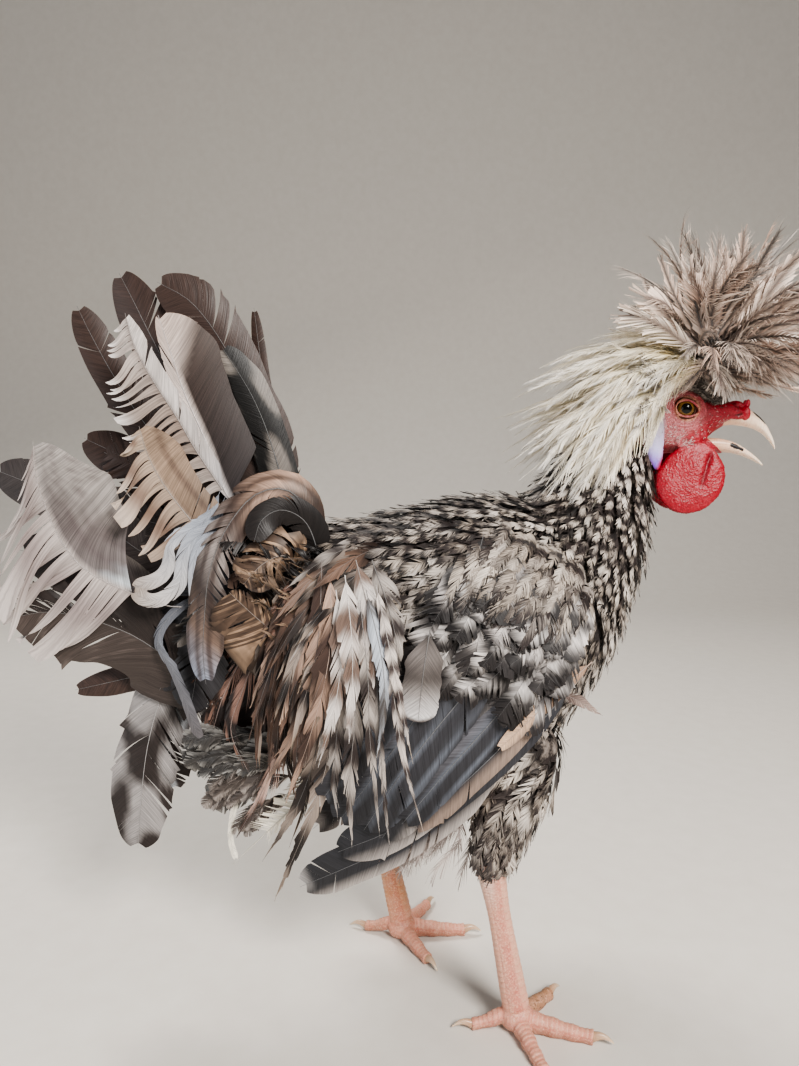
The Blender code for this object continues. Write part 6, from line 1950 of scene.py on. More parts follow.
def slab_beyond(ends, reach):
    """Box across the jaws on one side of a slanting plane."""
    (x_top, z_top), (x_low, z_low) = ends
    slope = (x_top - x_low) / (z_top - z_low)
    high, low = 40, -60
    top, bottom = x_top + slope * (high - z_top), x_low + slope * (low - z_low)
    outline = ((top, high), (top + reach, high), (bottom + reach, low), (bottom, low))
    return tube("slab", [[(x, y, z) for x, z in outline] for y in (-40, 40)], HEAD)


def carved(obj, cutters):
    for cutter in cutters:
        modifier = obj.modifiers.new("cut", "BOOLEAN")
        modifier.operation, modifier.object, modifier.solver = "DIFFERENCE", cutter, "EXACT"
        bpy.context.view_layer.update()
        result = bpy.data.meshes.new_from_object(obj.evaluated_get(bpy.context.evaluated_depsgraph_get()))
        obj.modifiers.clear()
        obj.data = result
    for cutter in cutters:
        bpy.data.objects.remove(cutter)
    return obj


def closed_ring(name, path, radius):
    """Torus-like tube round a closed path, with its radius at each point."""
    path = np.array(path)
    ahead = unit(np.roll(path, -1, 0) - np.roll(path, 1, 0))
    out = unit(path - path.mean(0))
    out = unit(out - ahead * (out * ahead).sum(1, keepdims=True))
    across = np.cross(ahead, out)
    count, n = 8, len(path)
    turn = (2 * np.pi * np.arange(count) / count)[None, :, None]
    radius = np.broadcast_to(radius, n)[:, None, None]
    points = path[:, None] + radius * (np.cos(turn) * out[:, None] + np.sin(turn) * across[:, None])
    i, j = np.meshgrid(np.arange(n), np.arange(count), indexing="ij")
    faces = np.stack([i * count + j, i * count + (j + 1) % count, (i + 1) % n * count + (j + 1) % count,
                      (i + 1) % n * count + j], -1).reshape(-1, 4)
    obj = add_mesh(name, moved(points.reshape(-1, 3), HEAD), faces)
    turned_out(obj)
    return obj


def lid_path(side, wide, above, below, stand):
    """Almond round the eye, pointed to the front, on a ball round it."""
    turn = np.linspace(0, 2 * np.pi, 40, endpoint=False)
    x = LIDS_X + wide * np.cos(turn)
    z = np.where(np.sin(turn) > 0, above, below) * np.sign(np.sin(turn)) * np.abs(np.sin(turn)) ** 1.15
    z = z * (1 - 0.2 * np.cos(turn)) - 0.35 * np.clip(np.cos(turn), 0, 1)
    off = np.sqrt(np.maximum((EYE_RADIUS + stand) ** 2 - (x - 0.4) ** 2 * 0.82 - z**2, 6))
    return np.stack([x, side * (EYE_Y + off), z], 1)


def wattle_tube(side):
    rings = []
    for turn in np.pi * np.linspace(0.05, 0.95, 15):
        high = math.cos(turn)
        wide = math.sin(turn) * (1 - 0.22 * max(high, 0) ** 2)
        thick = (0.7 + 0.4 * math.sin(turn) + 0.22 * max(-high, 0)) * max(math.sin(turn), 0.45) ** 0.5
        centre = (WATTLE_AT[0] + 2.5 * high, WATTLE_AT[1], WATTLE_AT[2] + WATTLE_SIZE[2] * high)
        size = (WATTLE_SIZE[0] * wide, WATTLE_SIZE[1] * thick)
        rings.append(oval(centre, (1, 0, 0), (0, 1, 0), *size, 30, 2.3))
    down, up = Matrix.Translation((0, 0, -18)), Matrix.Translation((0, 0, 18))
    hinge = down @ Matrix.Rotation(WATTLE_SPLAY, 4, "X") @ up
    return tube("wattle", rings, HEAD @ Matrix.Diagonal((1, side, 1, 1)) @ hinge)


def earlobe_tube(side):
    rings = []
    for turn in np.pi * np.linspace(0.08, 0.94, 10):
        high = math.cos(turn)
        wide = math.sin(turn) * (1 + 0.15 * high)
        centre = (EARLOBE_AT[0] - 2.6 * high + 1.6 * high**2, EARLOBE_AT[1],
                  EARLOBE_AT[2] + EARLOBE_SIZE[2] * high)
        rings.append(oval(centre, (1, 0, 0), (0, 1, 0), EARLOBE_SIZE[0] * wide,
                          EARLOBE_SIZE[1] * math.sin(turn) ** 0.6, 24))
    return tube("earlobe", rings, HEAD @ Matrix.Diagonal((1, side, 1, 1)))


# Rings round the eye: half width, height above and below, how far they stand off the eye, and thickness
LIDS = ((6.6, 4.5, 4.4, 0.55, 0.8), (8.4, 6.9, 6.4, 0.2, 1.15), (10.2, 8.8, 8.4, -0.6, 1.3))
# Balls for nostril, its rims, the corner of the mouth and the cheek's foot: place and half sizes
FLESHY_FORMS = (
    (28.5, 5.8, 1.6, 6.2, 2.3, 3.6), (34.6, 4.6, 2.2, 2.9, 1.8, 4.0), (24.5, 6.6, 3.6, 5.0, 2.4, 3.4),
    (29.5, 2.8, 6.4, 4.4, 2.2, 2.6), (35.2, 2.6, 7.6, 1.6, 1.4, 3.0), (12.6, 9.2, -13.2, 3.2, 1.6, 3.0),
    (8.5, 10.4, -15.5, 3.6, 1.5, 4.2), (12, 7.4, -21.5, 9, 4.2, 4.6),
)


def make_face(mats):
    upper = carved(tube("upper", jaw_rings(UPPER_JAW, 0.7), HEAD), [slab_beyond(UPPER_SKIN_ENDS, 60)])
    lower = carved(tube("lower", jaw_rings(LOWER_JAW, 0.6), HEAD), [slab_beyond(LOWER_SKIN_ENDS, 60)])
    sockets = [ball("socket", (0, side * EYE_Y, 0), (EYE_RADIUS + 0.25,) * 3, HEAD) for side in (-1, 1)]
    rings = [oval((x, 0, z), (0, 1, 0), (0, 0, 1), wide, high, 40, 2.15)
             for x, z, high, wide in refined(SKULL, 4)]
    pieces = [carved(tube("skull", rings, HEAD), sockets), upper, lower]
    for side in (-1, 1):
        pieces += [closed_ring("lid", lid_path(side, *sizes), radius) for *sizes, radius in LIDS]
        pieces += [ball("flesh", (x, side * y, z), size, HEAD, 20, 12) for x, y, z, *size in FLESHY_FORMS]
        pieces.append(wattle_tube(side))
        pieces.append(earlobe_tube(side))
    face = melted("face", pieces, FACE_VOXEL, 3)
    shape_face(face)
    face.data.materials.append(mats["flesh"])
    make_bristles(face, mats)
    return face


BRISTLES = 1500  # tiny feathers on the bare skin of both cheeks


def make_bristles(face, mats):
    draw = np.random.default_rng(SEED + 9)
    points, normals = points_of(face), normals_of(face)
    own = to_head(points)
    folded = one_sided(own)
    weight = near(folded, [((-8, 14, -16), (6, 12, -17)), ((-10, 15, -4), (-6, 14, -12)),
                           ((12, 9, -9), (24, 8, -4)), ((-9, 14, 7), (4, 13, 10))], 5.5)
    weight *= (np.hypot(own[:, 0] - LIDS_X, own[:, 2]) > 9) * (own[:, 2] > -20.5)
    weight *= (own[:, 0] > -13) * (folded[:, 1] > 6)
    chosen = draw.choice(len(points), BRISTLES, p=weight / weight.sum())
    root, out = points[chosen] - 0.2 * normals[chosen], normals[chosen]
    back = turned(np.array([(-1.0, 0, -0.45)]), HEAD)
    heading = out * 0.5 + back + draw.normal(0, 0.35, root.shape)
    spines = bent(root, heading, draw.uniform(1.0, 2.2, BRISTLES), back + 0 * root, np.full(BRISTLES, 0.3), 4)
    white = draw.random((BRISTLES, 1)) < 0.7
    light = np.where(white, linear("#cbb0ad"), linear("#6b4a4a"))
    coat = Coat("bristles", mats["cream"], crest_unwrap, slot="cream_plumage")
    mark = marks(draw, BRISTLES, 1, 0.2)
    grow(coat, draw, spines, out[:, None], 0.45, light, light * 0.6, mark, clumps=3, rows=1, first=0.15,
         angle=(34, 12), split=1.0, shaft=0.07)
    coat.make()


def to_head(points):
    return moved(points, HEAD.inverted())


def one_sided(points):
    """The points with those of the left side brought over to the right, where Y counts as positive."""
    return vectors(points[:, 0], np.abs(points[:, 1]), points[:, 2])


def near(points, places, size):
    """Closeness to the nearest of some places or segments, 1 at it and 0 beyond a few sizes."""
    best = np.full(len(points), 1e9)
    for place in places:
        ends = np.array(place, float).reshape(-1, 3)
        for a, b in zip(ends[:-1], ends[1:]) if len(ends) > 1 else ((ends[0], ends[0]),):
            run = b - a
            share = np.clip((points - a) @ run / max(run @ run, 1e-9), 0, 1)
            best = np.minimum(best, np.linalg.norm(points - a - share[:, None] * run, axis=1))
    return np.exp(-((best / size) ** 2))


def grains(points, size, seed):
    """Rounded grains like the skin of a wattle, 0 between them and 1 on top."""
    offset = Vector((seed, 0, 0))
    found = np.array([noise.voronoi(Vector(p) / size + offset)[0][:2] for p in points])
    return np.clip((found[:, 1] - found[:, 0]) * 1.6, 0, 1)


def rough(points, size, seed):
    offset = Vector((seed, 3, 0))
    return np.array([noise.noise(Vector(p) / size + offset) for p in points])


def shape_face(face):
    """Folds, grains, slits and the colour of the bare skin."""
    points, normals = points_of(face), normals_of(face)
    own = to_head(points)
    folded = one_sided(own)
    wattle = np.clip((-20.5 - own[:, 2]) / 3, 0, 1) * (folded[:, 1] > 5.5) * (own[:, 0] > -11.5)
    lobe_gap = (folded - EARLOBE_AT) / np.array(EARLOBE_SIZE) / 1.12
    lobe = np.clip((1.15 - np.linalg.norm(lobe_gap * (1, 0.45, 1), axis=1)) * 4, 0, 1) * (folded[:, 1] > 14.6)
    slits = near(folded, [((26.6, 8.6, -0.2), (29, 8.4, 0.1), (32, 7.4, 1.6))], 0.62)
    groove = near(folded, [((19, 12.5, -20), (17.4, 15, -27), (16, 16.5, -35), (15.5, 17, -40))],
                  1.5) * wattle
    fold = near(folded, [((3, 12.5, -21), (12, 13.5, -23.5), (22, 11, -20))], 1.0)
    gape = near(folded, [((12, 10, -13.5), (20, 8.8, -8.6)), ((12, 10, -13.5), (17, 8.6, -13.6))], 1.9)
    wattle_grain = grains(own, 1.15, 3)
    face_grain = grains(own, 0.95, 9)
    eye_gap = np.hypot(own[:, 0] - LIDS_X, own[:, 2])
    around_eye = np.exp(-(((eye_gap - 8.5) / 3.2) ** 2)) * (folded[:, 1] > 9)
    ripple = np.sin(eye_gap * 3.4 + 3 * rough(own, 6, 2)) * around_eye
    push = 0.42 * (wattle_grain - 0.5) * wattle + 0.55 * rough(own, 7, 5) * wattle
    push += (0.16 * (face_grain - 0.5) + 0.25 * rough(own, 3.2, 7)) * (1 - wattle) * (1 - lobe)
    push += 0.22 * ripple - 1.1 * slits - 1.3 * groove - 0.6 * fold * wattle + 0.25 * gape * face_grain
    push += 0.25 * rough(own, 4, 8) * lobe
    set_points(face, points + normals * push[:, None])
    red = near(folded, [((13, 9, -12), (19, 8, -6)), ((22, 7, 2), (35, 5, 3)), ((28, 3, 7), (36, 3, 8)),
                        ((9, 12, 5.5), (20, 8, 5)), ((8, 10, -16), (16, 8, -20))], 5.5)
    cheek = near(folded, [((-8, 14, -14), (2, 14, -17)), ((-6, 15, -8), (6, 13, -9))], 6.5)
    lid = np.exp(-(((eye_gap - 6.2) / 1.0) ** 2)) * (folded[:, 1] > 13)
    corner = near(folded, [((6.2, 14.4, -0.8), (8.2, 13.6, -1))], 1.2)
    back = np.clip((-13 - own[:, 0]) / 6, 0, 1) * (1 - wattle)
    # Painted shade: the wattle's groove and fold are darkened where they sink in.
    crease_shade = np.clip(groove + 0.6 * fold * wattle, 0, 1)
    lobe_tone = blended("#a59da6", "#b9b6dc", (-own[:, 2] - 12) / 12)
    lobe_tone = blended(lobe_tone, "#8a66d6", np.clip((-24 - own[:, 2]) / 9, 0, 1))
    lobe_tone = blended(lobe_tone, "#d7a3b8", np.clip((own[:, 0] + 11) / 5, 0, 1) * 0.6)
    # Dark maroon in the wattle's groove and fold and dark red in the nostril slits are painted shade.
    colour = layered(
        len(own), "#a8444d", ("#c9878a", cheek * 0.9), ("#a5142a", np.clip(red * 1.25, 0, 1)),
        ("#b3686a", around_eye * 0.55), ("#c89a7c", lid * 0.85), ("#b4525a", corner), ("#7a625c", back),
        ("#970820", wattle), ("#5c0614", crease_shade * 0.7), (lobe_tone, lobe),
        ("#5a1016", np.clip(slits * 1.3, 0, 1)))
    put_colour(face.data, "Flesh", colour)
    put_colour(face.data, "Mark", np.stack([wattle, lobe, cheek], 1))


def flesh_material():
    n = Nodes("bare_skin", Roughness=0.42, Subsurface_Weight=0.14, Subsurface_Radius=(1.0, 0.28, 0.18),
              Subsurface_Scale=0.003, Specular_IOR_Level=0.45)
    _, lobe, cheek = n.parts(n.colour("Mark"))[:3]
    place = n.object_place()
    grain = n.node("ShaderNodeTexVoronoi", Vector=place, Scale=1150.0)
    fine = n.noise(place, 2600.0, 2.0)
    patch = n.noise(place, 260.0, 3.0)
    colour = n.colour("Flesh")
    colour = n.mix(n.times(n.step(patch, 0.5, 0.75), 0.16), colour, "#d06a74", "MIX")
    pits = n.times(n.step(grain, 0.35, 0.75), n.minus(0.55, n.times(lobe, 0.5)))
    dark = n.mix(1.0, colour, "#b0303c", "MULTIPLY")
    colour = n.mix(pits, colour, dark)
    specks = n.times(n.step(fine, 0.62, 0.75), n.plus(n.times(cheek, 0.45), 0.12))
    colour = n.mix(specks, colour, "#f0d6d0")
    veins = n.times(n.step(n.noise(place, 420.0, 4.0), 0.55, 0.62), n.times(lobe, 0.25))
    colour = n.mix(veins, colour, "#b7a2cc")
    n.out("Base Color", colour)
    n.out("Roughness", n.plus(n.times(fine, 0.25), 0.3))
    height = n.plus(grain, n.times(fine, 0.5))
    n.bump(height, 0.35, 0.0004)
    return n.material


def horn_material(name, pale, deep, marked):
    """Horn of bill and claws: growth lines, warmer at the foot, paler and clearer at the tip."""
    n = Nodes(name, Roughness=0.3, Subsurface_Weight=0.15, Subsurface_Radius=(1.0, 0.6, 0.35),
              Subsurface_Scale=0.002, Coat_Weight=0.25, Coat_Roughness=0.15)
    share, dark = n.parts(n.colour("Mark"))[:2]
    place = n.object_place()
    lines = n.noise(n.place(n.times(share, 26), n.times(n.noise(place, 300.0), 0.7)), 3.0, 3.0)
    tone = n.mix(share, deep, pale)
    tone = n.mix(n.times(n.step(lines, 0.42, 0.7), 0.35), tone, n.mix(1.0, tone, "#c79a7c", "MULTIPLY"))
    rough_dark = n.plus(dark, n.times(n.minus(n.noise(place, 1500.0, 3.0), 0.5), 0.7))
    tone = n.mix(n.times(n.step(rough_dark, 0.42, 0.6), marked), tone, "#1b1416")
    n.out("Base Color", tone)
    n.out("Roughness", n.plus(n.times(lines, 0.22), 0.2))
    n.bump(lines, 0.25, 0.0003)
    return n.material


def make_bill(mats):
    upper = jaw_rings(UPPER_JAW, 0.0, 64, 2.0, 24)
    for ring in upper:
        sideways = ring[:, 1] / max(np.abs(ring[:, 1]).max(), 1e-6)
        top = ring[:, 2].max()
        low = ring[:, 2].min()
        share = (ring[:, 2] - low) / max(top - low, 1e-6)
        ring[:, 1] *= 1 - 0.28 * share**2
        edge = 0.25 * (1 - share) * (np.abs(sideways) > 0.9)
        ridge = 0.5 * (1 - share) ** 4 * (1 - np.abs(sideways))
        ring[:, 2] += edge - ridge
    lower = jaw_rings(LOWER_JAW, 0.0, 64, 2.1, 24)
    for ring in lower:
        top, low = ring[:, 2].max(), ring[:, 2].min()
        share = (ring[:, 2] - low) / max(top - low, 1e-6)
        wide = np.abs(ring[:, 1]).max()
        ring[:, 2] -= 2.2 * share**3 * (1 - np.abs(ring[:, 1]) / max(wide, 1e-6)) * min(1, wide / 4)
    for name, rings, node, marks in (
        ("upper_bill", upper, "bill_upper", ((((41.5, 1.2, 3.6), (46.5, 1.0, 0.4)), 3.0),)),
        ("lower_bill", lower, "bill_lower", ((((30.2, 5.6, -16.2), (33.0, 5.2, -16.9)), 1.5),
                                             (((33.0, 5.2, -16.9), (36.5, 4.6, -17.9)), 1.05))),
    ):
        points, faces = tube_arrays(rings)
        share = np.clip((points[:, 0] - 15) / 38, 0, 1)
        folded = one_sided(points)
        dark = np.max([near(folded, [place], size) for place, size in marks], axis=0)
        obj = add_mesh(name, moved(points, HEAD), faces, materials=[mats["bill"]],
                       colours={"Mark": np.stack([share, dark, 0 * share], 1)})
        turned_out(obj)
        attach(obj, "root")
        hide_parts(node)


PUPIL, IRIS, RIM = 24.0, 39.0, 44.0  # degrees from the middle of the eye


def eye_material():
    n = Nodes("eye", Roughness=0.15, Coat_Weight=0.25, Coat_Roughness=0.03, Specular_IOR_Level=0.2)
    angle, around = n.parts(n.colour("Mark"))[:2]
    degrees = n.times(angle, 180)
    streaks = n.noise(n.place(n.times(around, 60), n.times(angle, 7)), 1.0, 3.0)
    iris = n.mix(n.step(degrees, PUPIL, IRIS), "#6b4a22", "#4b3013")
    iris = n.mix(n.times(n.step(streaks, 0.35, 0.7), 0.55), iris, "#94703c")
    colour = n.mix(n.step(degrees, PUPIL - 1.2, PUPIL + 0.8), "#050404", iris)
    colour = n.mix(n.step(degrees, IRIS - 2, IRIS + 1.5), colour, "#1d100b")
    colour = n.mix(n.step(degrees, RIM, RIM + 6), colour, "#6b4a40")
    n.out("Base Color", colour)
    return n.material


def make_eyes(mats):
    for side, letter in ((-1, "R"), (1, "L")):
        around, stops = 48, 60
        angle = np.pi * (np.arange(stops) + 0.5) / stops
        turn = 2 * np.pi * np.arange(around) / around
        radius = EYE_RADIUS - 0.1 + 0.45 * np.exp(-((np.degrees(angle) / 30) ** 2))
        x = radius[:, None] * np.sin(angle)[:, None] * np.cos(turn)
        z = radius[:, None] * np.sin(angle)[:, None] * np.sin(turn)
        y = side * (EYE_Y + (radius * np.cos(angle))[:, None] + 0 * turn)
        points, faces = tube_arrays(np.stack([x, y, z], -1))
        shares = np.append(np.repeat(angle / np.pi, around), (0, 1))
        turns = np.append(np.tile(np.abs(turn / np.pi - 1), stops), (0, 0))
        obj = add_mesh(f"eyeball_{letter}", moved(points, HEAD), faces, materials=[mats["eye"]],
                       colours={"Mark": np.stack([shares, turns, 0 * turns], 1)})
        turned_out(obj)
        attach(obj, "root")
        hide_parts(f"eye_{letter}")


# Legs and feet

SHANK_TOP = (8.2, 7.2)  # half depth, half width
SHANK_MIDDLE = (6.3, 5.3)
SHANK_FOOT = (7.6, 7.0)
SHANK_OVERRUN = 8
TOES = {
    "inner": (-62, 34, 5.0, 3),
    "middle": (0, 43, 5.3, 4),
    "outer": (58, 37, 4.8, 4),
    "hind": (162, 25, 4.4, 2),
}  # spread from the heading towards the outside, length, half width at the root, bones
CLAW_LENGTH = 11
LEG_VOXEL = 0.5
SCUTE = 4.4
TOE_SCUTE = 2.7


def toe_line(leg, toe):
    """Way ahead, start and the height of the middle of a toe along it."""
    spread, _, half_width, _ = TOES[toe]
    turn = math.radians(leg["heading"] + leg["side"] * spread)
    ahead = np.array((math.cos(turn), math.sin(turn), 0))
    start = np.array((leg["ankle"][0], leg["ankle"][1], 9.0 if toe == "hind" else 6.0))
    lift = 0.4 if toe == "hind" else 0.0
    return ahead, start, lambda t: smooth(start[2], half_width * 0.62, t) + lift


def toe_tube(leg, toe):
    _, length, half_width, bones = TOES[toe]
    ahead, start, height = toe_line(leg, toe)
    across = np.array((-ahead[1], ahead[0], 0))
    rings = []
    for t in np.linspace(0, 1, 26):
        knuckle = math.cos(2 * math.pi * bones * t)
        wide = smooth(half_width, half_width * 0.68, t) * (1 + 0.075 * knuckle)
        high = smooth(half_width * 1.12, half_width * 0.72, t) * (1 + 0.05 * knuckle)
        at = start + ahead * length * t
        at[2] = height(t)
        rings.append(oval(at, across, (0, 0, 1), wide, high, 24, 2.15))
    return tube("toe", rings)


def shank_line(leg):
    hock, ankle = np.array(leg["hock"], float), np.array(leg["ankle"], float)
    top = hock + unit(hock - ankle) * SHANK_OVERRUN
    return top, ankle


def shank_tube(leg):
    top, ankle = shank_line(leg)
    axis = unit(ankle - top)
    rings = []
    for t in np.linspace(0.03, 1, 30):
        ends, part = (SHANK_TOP, SHANK_MIDDLE), t / 0.4
        if t >= 0.4:
            ends, part = (SHANK_MIDDLE, SHANK_FOOT), (t - 0.4) / 0.6
        deep, wide = (smooth(a, b, part) for a, b in zip(*ends))
        rings.append(leg_ring(top + (ankle - top) * t, axis, deep, wide, 32, 2.15))
    return tube("shank", rings)


def plates(along, across, columns, ragged=0.0):
    """Height of overlapping plates, rising to a lip at their lower edge. `across` runs 0 to 1."""
    column = np.floor(across * columns)
    inside = across * columns - column
    place = along + 0.5 * (column % 2) + 0.16 * (2 * inside - 1) ** 2 + ragged
    part = place - np.floor(place)
    lip = np.minimum(0.35 + 0.65 * part, (1 - part) / 0.13)
    side = np.minimum(np.minimum(inside, 1 - inside) / 0.10, 1)
    return np.clip(lip, 0, 1) * np.clip(side, 0, 1), np.floor(place)


def leg_reading(leg, points):
    """For each point its nearest bone's place along, turn round it, height of scale and kind of skin."""
    top, ankle = shank_line(leg)
    axis = ankle - top
    length = np.linalg.norm(axis)
    axis = axis / length
    forward = unit(np.array((1.0, 0, 0)) - axis * axis[0])
    off = points - top
    along = off @ axis
    turn = np.arctan2(off @ np.cross(axis, forward), off @ forward)
    gap = np.linalg.norm(off - np.clip(along, 0, length)[:, None] * axis, axis=1) / 7.0
    wave = 0.18 * rough(points, 9, 4)
    front, _ = plates(along / SCUTE, (np.clip(turn, -1.15, 1.15) + 1.15) / 2.3, 2, wave)
    back_turn = np.abs(turn) - (np.pi - 0.95)
    back, _ = plates(along / (SCUTE * 0.72), np.clip(back_turn / 0.95, 0, 0.999) * 0.999, 1, wave)
    small = np.clip(grains(points, 1.5, 21) * 1.3, 0, 1)
    height = np.where(np.abs(turn) < 1.15, front, np.where(back_turn > 0, back, small))
    plate = (np.abs(turn) < 1.15) | (back_turn > 0)
    share = along / length
    best, under = gap.copy(), np.zeros(len(points))
    where = share.copy()
    for toe, (_, toe_length, half_width, _) in TOES.items():
        ahead, start, centre = toe_line(leg, toe)
        across = np.array((-ahead[1], ahead[0], 0))
        off = points - start
        run = off @ ahead
        t = np.clip(run / toe_length, 0, 1.1)
        high = points[:, 2] - np.array([centre(v) for v in t])
        side = off @ across
        toe_turn = np.arctan2(side, high)
        behind, beyond = np.clip(-run, 0, 99), np.clip(run - toe_length, 0, 99)
        toe_gap = np.sqrt(side**2 + high**2 + behind**2 + beyond**2) / half_width
        band, _ = plates(run / TOE_SCUTE, np.clip((toe_turn + 1.35) / 2.7, 0, 0.999), 1, wave)
        pad = np.clip(grains(points, 1.15, 33) * 1.4, 0, 1)
        own = np.where(np.abs(toe_turn) < 1.35, band, pad)
        nearer = (toe_gap < best) & (run > 3)
        height = np.where(nearer, own, height)
        plate = np.where(nearer, np.abs(toe_turn) < 1.35, plate)
        under = np.where(nearer, np.clip((np.abs(toe_turn) - 1.3) / 0.5, 0, 1), under)
        where = np.where(nearer, 1 + t, where)
        best = np.where(nearer, toe_gap, best)
    ball = np.exp(-((np.linalg.norm(points - (ankle + (0.5, 0, -5)), axis=1) / 8.5) ** 4))
    height = height * (1 - ball) + small * ball
    return where, turn, height, plate.astype(float) * (1 - ball), under


def make_leg(mats, leg, letter):
    ankle = np.array(leg["ankle"], float)
    pieces = [shank_tube(leg), ball("ball", ankle + (0.5, 0, -6.4), (9.6, 9.2, 8.2))]
    pieces += [toe_tube(leg, toe) for toe in TOES]
    obj = melted(f"leg_{letter}", pieces, LEG_VOXEL, 3)
    points, normals = points_of(obj), normals_of(obj)
    where, turn, height, plate, under = leg_reading(leg, points)
    on_floor = points[:, 2] < 0.5
    hock_back = np.clip((0.34 - where) / 0.2, 0, 1) * np.clip((np.abs(turn) - 1.2) / 0.8, 0, 1)
    wrinkle = np.sin(points[:, 2] * 3.4 + 2.5 * rough(points, 5, 12)) * hock_back
    amount = np.where(plate > 0.5, 0.62, 0.34) * (1 - hock_back)
    push = amount * (height - 0.55) + 0.28 * wrinkle + 0.10 * rough(points, 2.2, 5)
    points = points + normals * (push * np.where(on_floor, 0.3, 1))[:, None]
    points[:, 2] = np.maximum(points[:, 2], 0)
    set_points(obj, points)
    far = leg["side"] > 0
    foot = np.clip((where - 0.82) / 0.25, 0, 1)
    stripe = np.exp(-(((np.abs(turn) - 1.45) / 0.38) ** 2)) * (where < 1) * (1 - hock_back)
    edge = np.clip(height, 0, 1) ** 3
    between = 1 - np.clip(height * 2.5, 0, 1)
    ahead, start, _ = toe_line(leg, "hind" if far else "inner")
    run = (points - start) @ ahead
    side = np.linalg.norm((points - start)[:, :2] - run[:, None] * ahead[:2], axis=1)
    grimy = np.clip((run - 6) / 6, 0, 1) * np.clip((7 - side) / 2, 0, 1) * (0.3 if far else 1.0)
    # The far leg's darker, warmer ground colour is painted shade.
    colour = layered(
        len(points), "#c98a62" if far else "#d39c88", ("#cf8a76", foot * 0.9),
        ("#c4685c", stripe * (0.3 if far else 0.6)), ("#e8cdb0", edge * 0.35), ("#a85c50", between * 0.55),
        ("#d9c0b2", hock_back * 0.75), ("#9c7650", grimy * 0.75), ("#9a6a58", under * 0.5))
    put_colour(obj.data, "Flesh", colour)
    put_colour(obj.data, "Mark", np.stack([height, plate, grimy], 1))
    obj.data.materials.append(mats["leg"])
    for toe in TOES:
        make_claw(mats, leg, toe, letter)
    return obj


def make_claw(mats, leg, toe, letter):
    _, length, half_width, _ = TOES[toe]
    ahead, start, _ = toe_line(leg, toe)
    across = np.array((-ahead[1], ahead[0], 0))
    rings = []
    for t in np.linspace(-0.12, 1, 26):
        at = start + ahead * (length + 0.3 + CLAW_LENGTH * t)
        arch = math.sin(math.pi * max(t, 0))
        at[2] = half_width * 0.66 + 1.9 * arch - 1.2 * t
        size = half_width * 0.5 * (1 - max(t, 0)) ** 0.8 + 0.28
        ring = oval(at, across, (0, 0, 1), size * 0.85, size * 1.1, 22)
        below = ring[:, 2] < at[2]
        ring[below, 2] = at[2] + (ring[below, 2] - at[2]) * (0.85 - 0.25 * abs(arch))
        ring[:, 2] = np.maximum(ring[:, 2], 0.02)
        rings.append(ring)
    points, faces = tube_arrays(rings)
    share = np.clip(((points - start) @ ahead - length) / CLAW_LENGTH, 0, 1)
    obj = add_mesh(f"claw_fine_{toe}_{letter}", points, faces, materials=[mats["claw"]],
                   colours={"Mark": np.stack([share, 0 * share, 0 * share], 1)})
    turned_out(obj)
    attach(obj, "root")
    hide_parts(f"claw_{toe}_{letter}")


def leg_material():
    n = Nodes("leg_scales", Roughness=0.5, Subsurface_Weight=0.12, Subsurface_Radius=(1.0, 0.35, 0.2),
              Subsurface_Scale=0.002)
    place = n.object_place()
    height, _, grimy = n.parts(n.colour("Mark"))[:3]
    fine = n.noise(place, 1400.0, 4.0)
    broad = n.noise(place, 160.0, 3.0)
    colour = n.mix(n.times(n.step(broad, 0.4, 0.7), 0.35), n.colour("Flesh"), "#d9a58e")
    dry = n.times(n.step(fine, 0.5, 0.72), 0.4)
    colour = n.mix(dry, colour, "#ecd8c6")
    dirt = n.times(n.step(n.noise(place, 620.0, 4.0), 0.52, 0.66), n.plus(n.times(grimy, 0.7), 0.14))
    colour = n.mix(dirt, colour, "#6e5138")
    n.out("Base Color", colour)
    n.out("Roughness", n.plus(n.times(fine, 0.3), 0.36))
    n.bump(n.plus(fine, n.times(height, 0.5)), 0.3, 0.0003)
    return n.material


# Stage and lights


def make_stage():
    wide, front, back, high, bend = 3600, -2600, 1900, 3200, 800
    profile = [(front, 0), (back - bend, 0)]
    profile += [(back - bend + bend * math.sin(a), bend - bend * math.cos(a))
                for a in np.linspace(0.1, math.pi / 2, 14)]
    profile.append((back, high))
    points = [(x, y, z) for y, z in profile for x in (-wide, wide)]
    faces = [(2 * i, 2 * i + 1, 2 * i + 3, 2 * i + 2) for i in range(len(profile) - 1)]
    n = Nodes("pale_floor", Roughness=0.9, Specular_IOR_Level=0.2)
    grain = n.noise(n.object_place(), 60.0, 4.0)
    n.out("Base Color", n.mix(grain, "#d3ccc3", "#ddd7cf"))
    obj = add_mesh("floor", points, faces, materials=[n.material])


def area_light(name, place, target, size, watts, tone):
    data = bpy.data.lights.new(name, "AREA")
    data.shape = "DISK"
    data.size = size * MM
    data.energy = watts
    data.color = tone
    obj = bpy.data.objects.new(name, data)
    place, target = Vector(place), Vector(target)
    obj.location = (np.array(place) + SHIFT) * MM
    obj.rotation_euler = (target - place).to_track_quat("-Z", "Y").to_euler()
    bpy.context.scene.collection.objects.link(obj)


LIT_AT = (20, 0, 230)
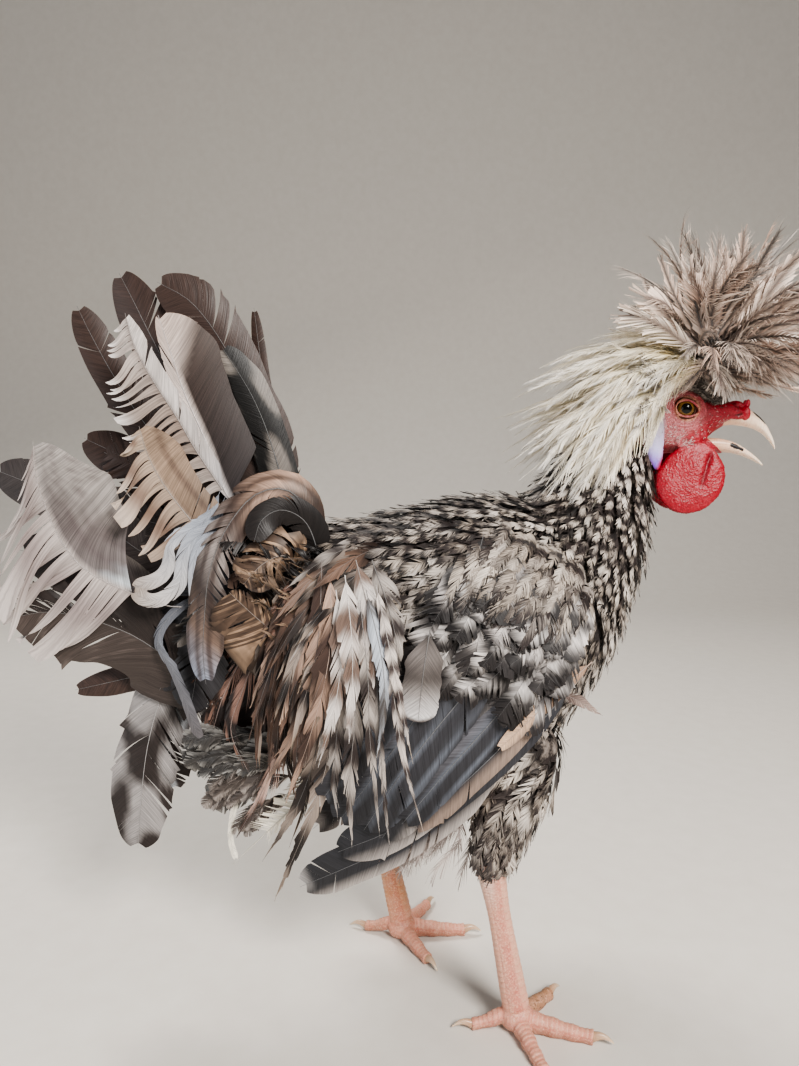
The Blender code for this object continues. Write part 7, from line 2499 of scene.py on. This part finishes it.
# Lamps' places, sizes, watts and colours
LAMPS = {
    "key": ((520, -1000, 950), 480, 27, (1.0, 0.965, 0.92)),
    "fill": ((-1100, -900, 420), 900, 6, (0.9, 0.95, 1.0)),
    "rim": ((-450, 650, 1300), 500, 15, (1.0, 0.98, 0.95)),
}
SKY_COLOUR = (0.94, 0.97, 1.0, 1)
SKY_STRENGTH = 0.22


def make_lights():
    for name, (place, size, watts, tone) in LAMPS.items():
        area_light(name, place, LIT_AT, size, watts, tone)
    world = bpy.data.worlds.new("studio")
    world.use_nodes = True
    sky = world.node_tree.nodes["Background"].inputs
    sky["Color"].default_value = SKY_COLOUR
    sky["Strength"].default_value = SKY_STRENGTH
    bpy.context.scene.world = world
    bpy.context.scene.view_settings.look = "AgX - Medium High Contrast"


FLESH_NODES = ["torso", "neck", "rump", "head"] + [
    f"{part}_{letter}" for letter in LEGS for part in
    ("thigh", "shank", "toe_inner", "toe_middle", "toe_outer", "toe_hind", "wattle", "earlobe")]


def main():
    make_camera()
    mats = {
        "ground": make_skin_material(),
        "mottle": plumage("mottle", 0.62, 0.7, "spots"),
        "slate": plumage("slate", 0.42, 0.8),
        "covert": plumage("covert", 0.55, 0.85),
        "tail": plumage("tail", 0.42, 0.9),
        "crest": plumage("crest", 0.6, 0.8),
        "cream": plumage("cream", 0.55, 0.5),
        "flesh": flesh_material(),
        "bill": horn_material("bill_horn", "#f3e2cd", "#e3b698", 1.0),
        "claw": horn_material("claw_horn", "#d9c3a8", "#b99478", 0.0),
        "eye": eye_material(),
        "leg": leg_material(),
    }
    skin = make_skin()
    skin.data.materials.append(mats["ground"])
    make_body_coat(skin, mats)
    make_saddle(mats)
    flesh = [skin]
    for letter, leg in LEGS.items():
        make_wing(mats, leg["side"], letter)
        flesh.append(make_leg(mats, leg, letter))
    make_tail(mats)
    make_crown(mats)
    make_nape(mats)
    flesh.append(make_face(mats))
    whole = joined("skin", flesh)
    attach(whole, "root")
    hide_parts(*FLESH_NODES)
    make_bill(mats)
    make_eyes(mats)
    make_lights()
    make_stage()


main()
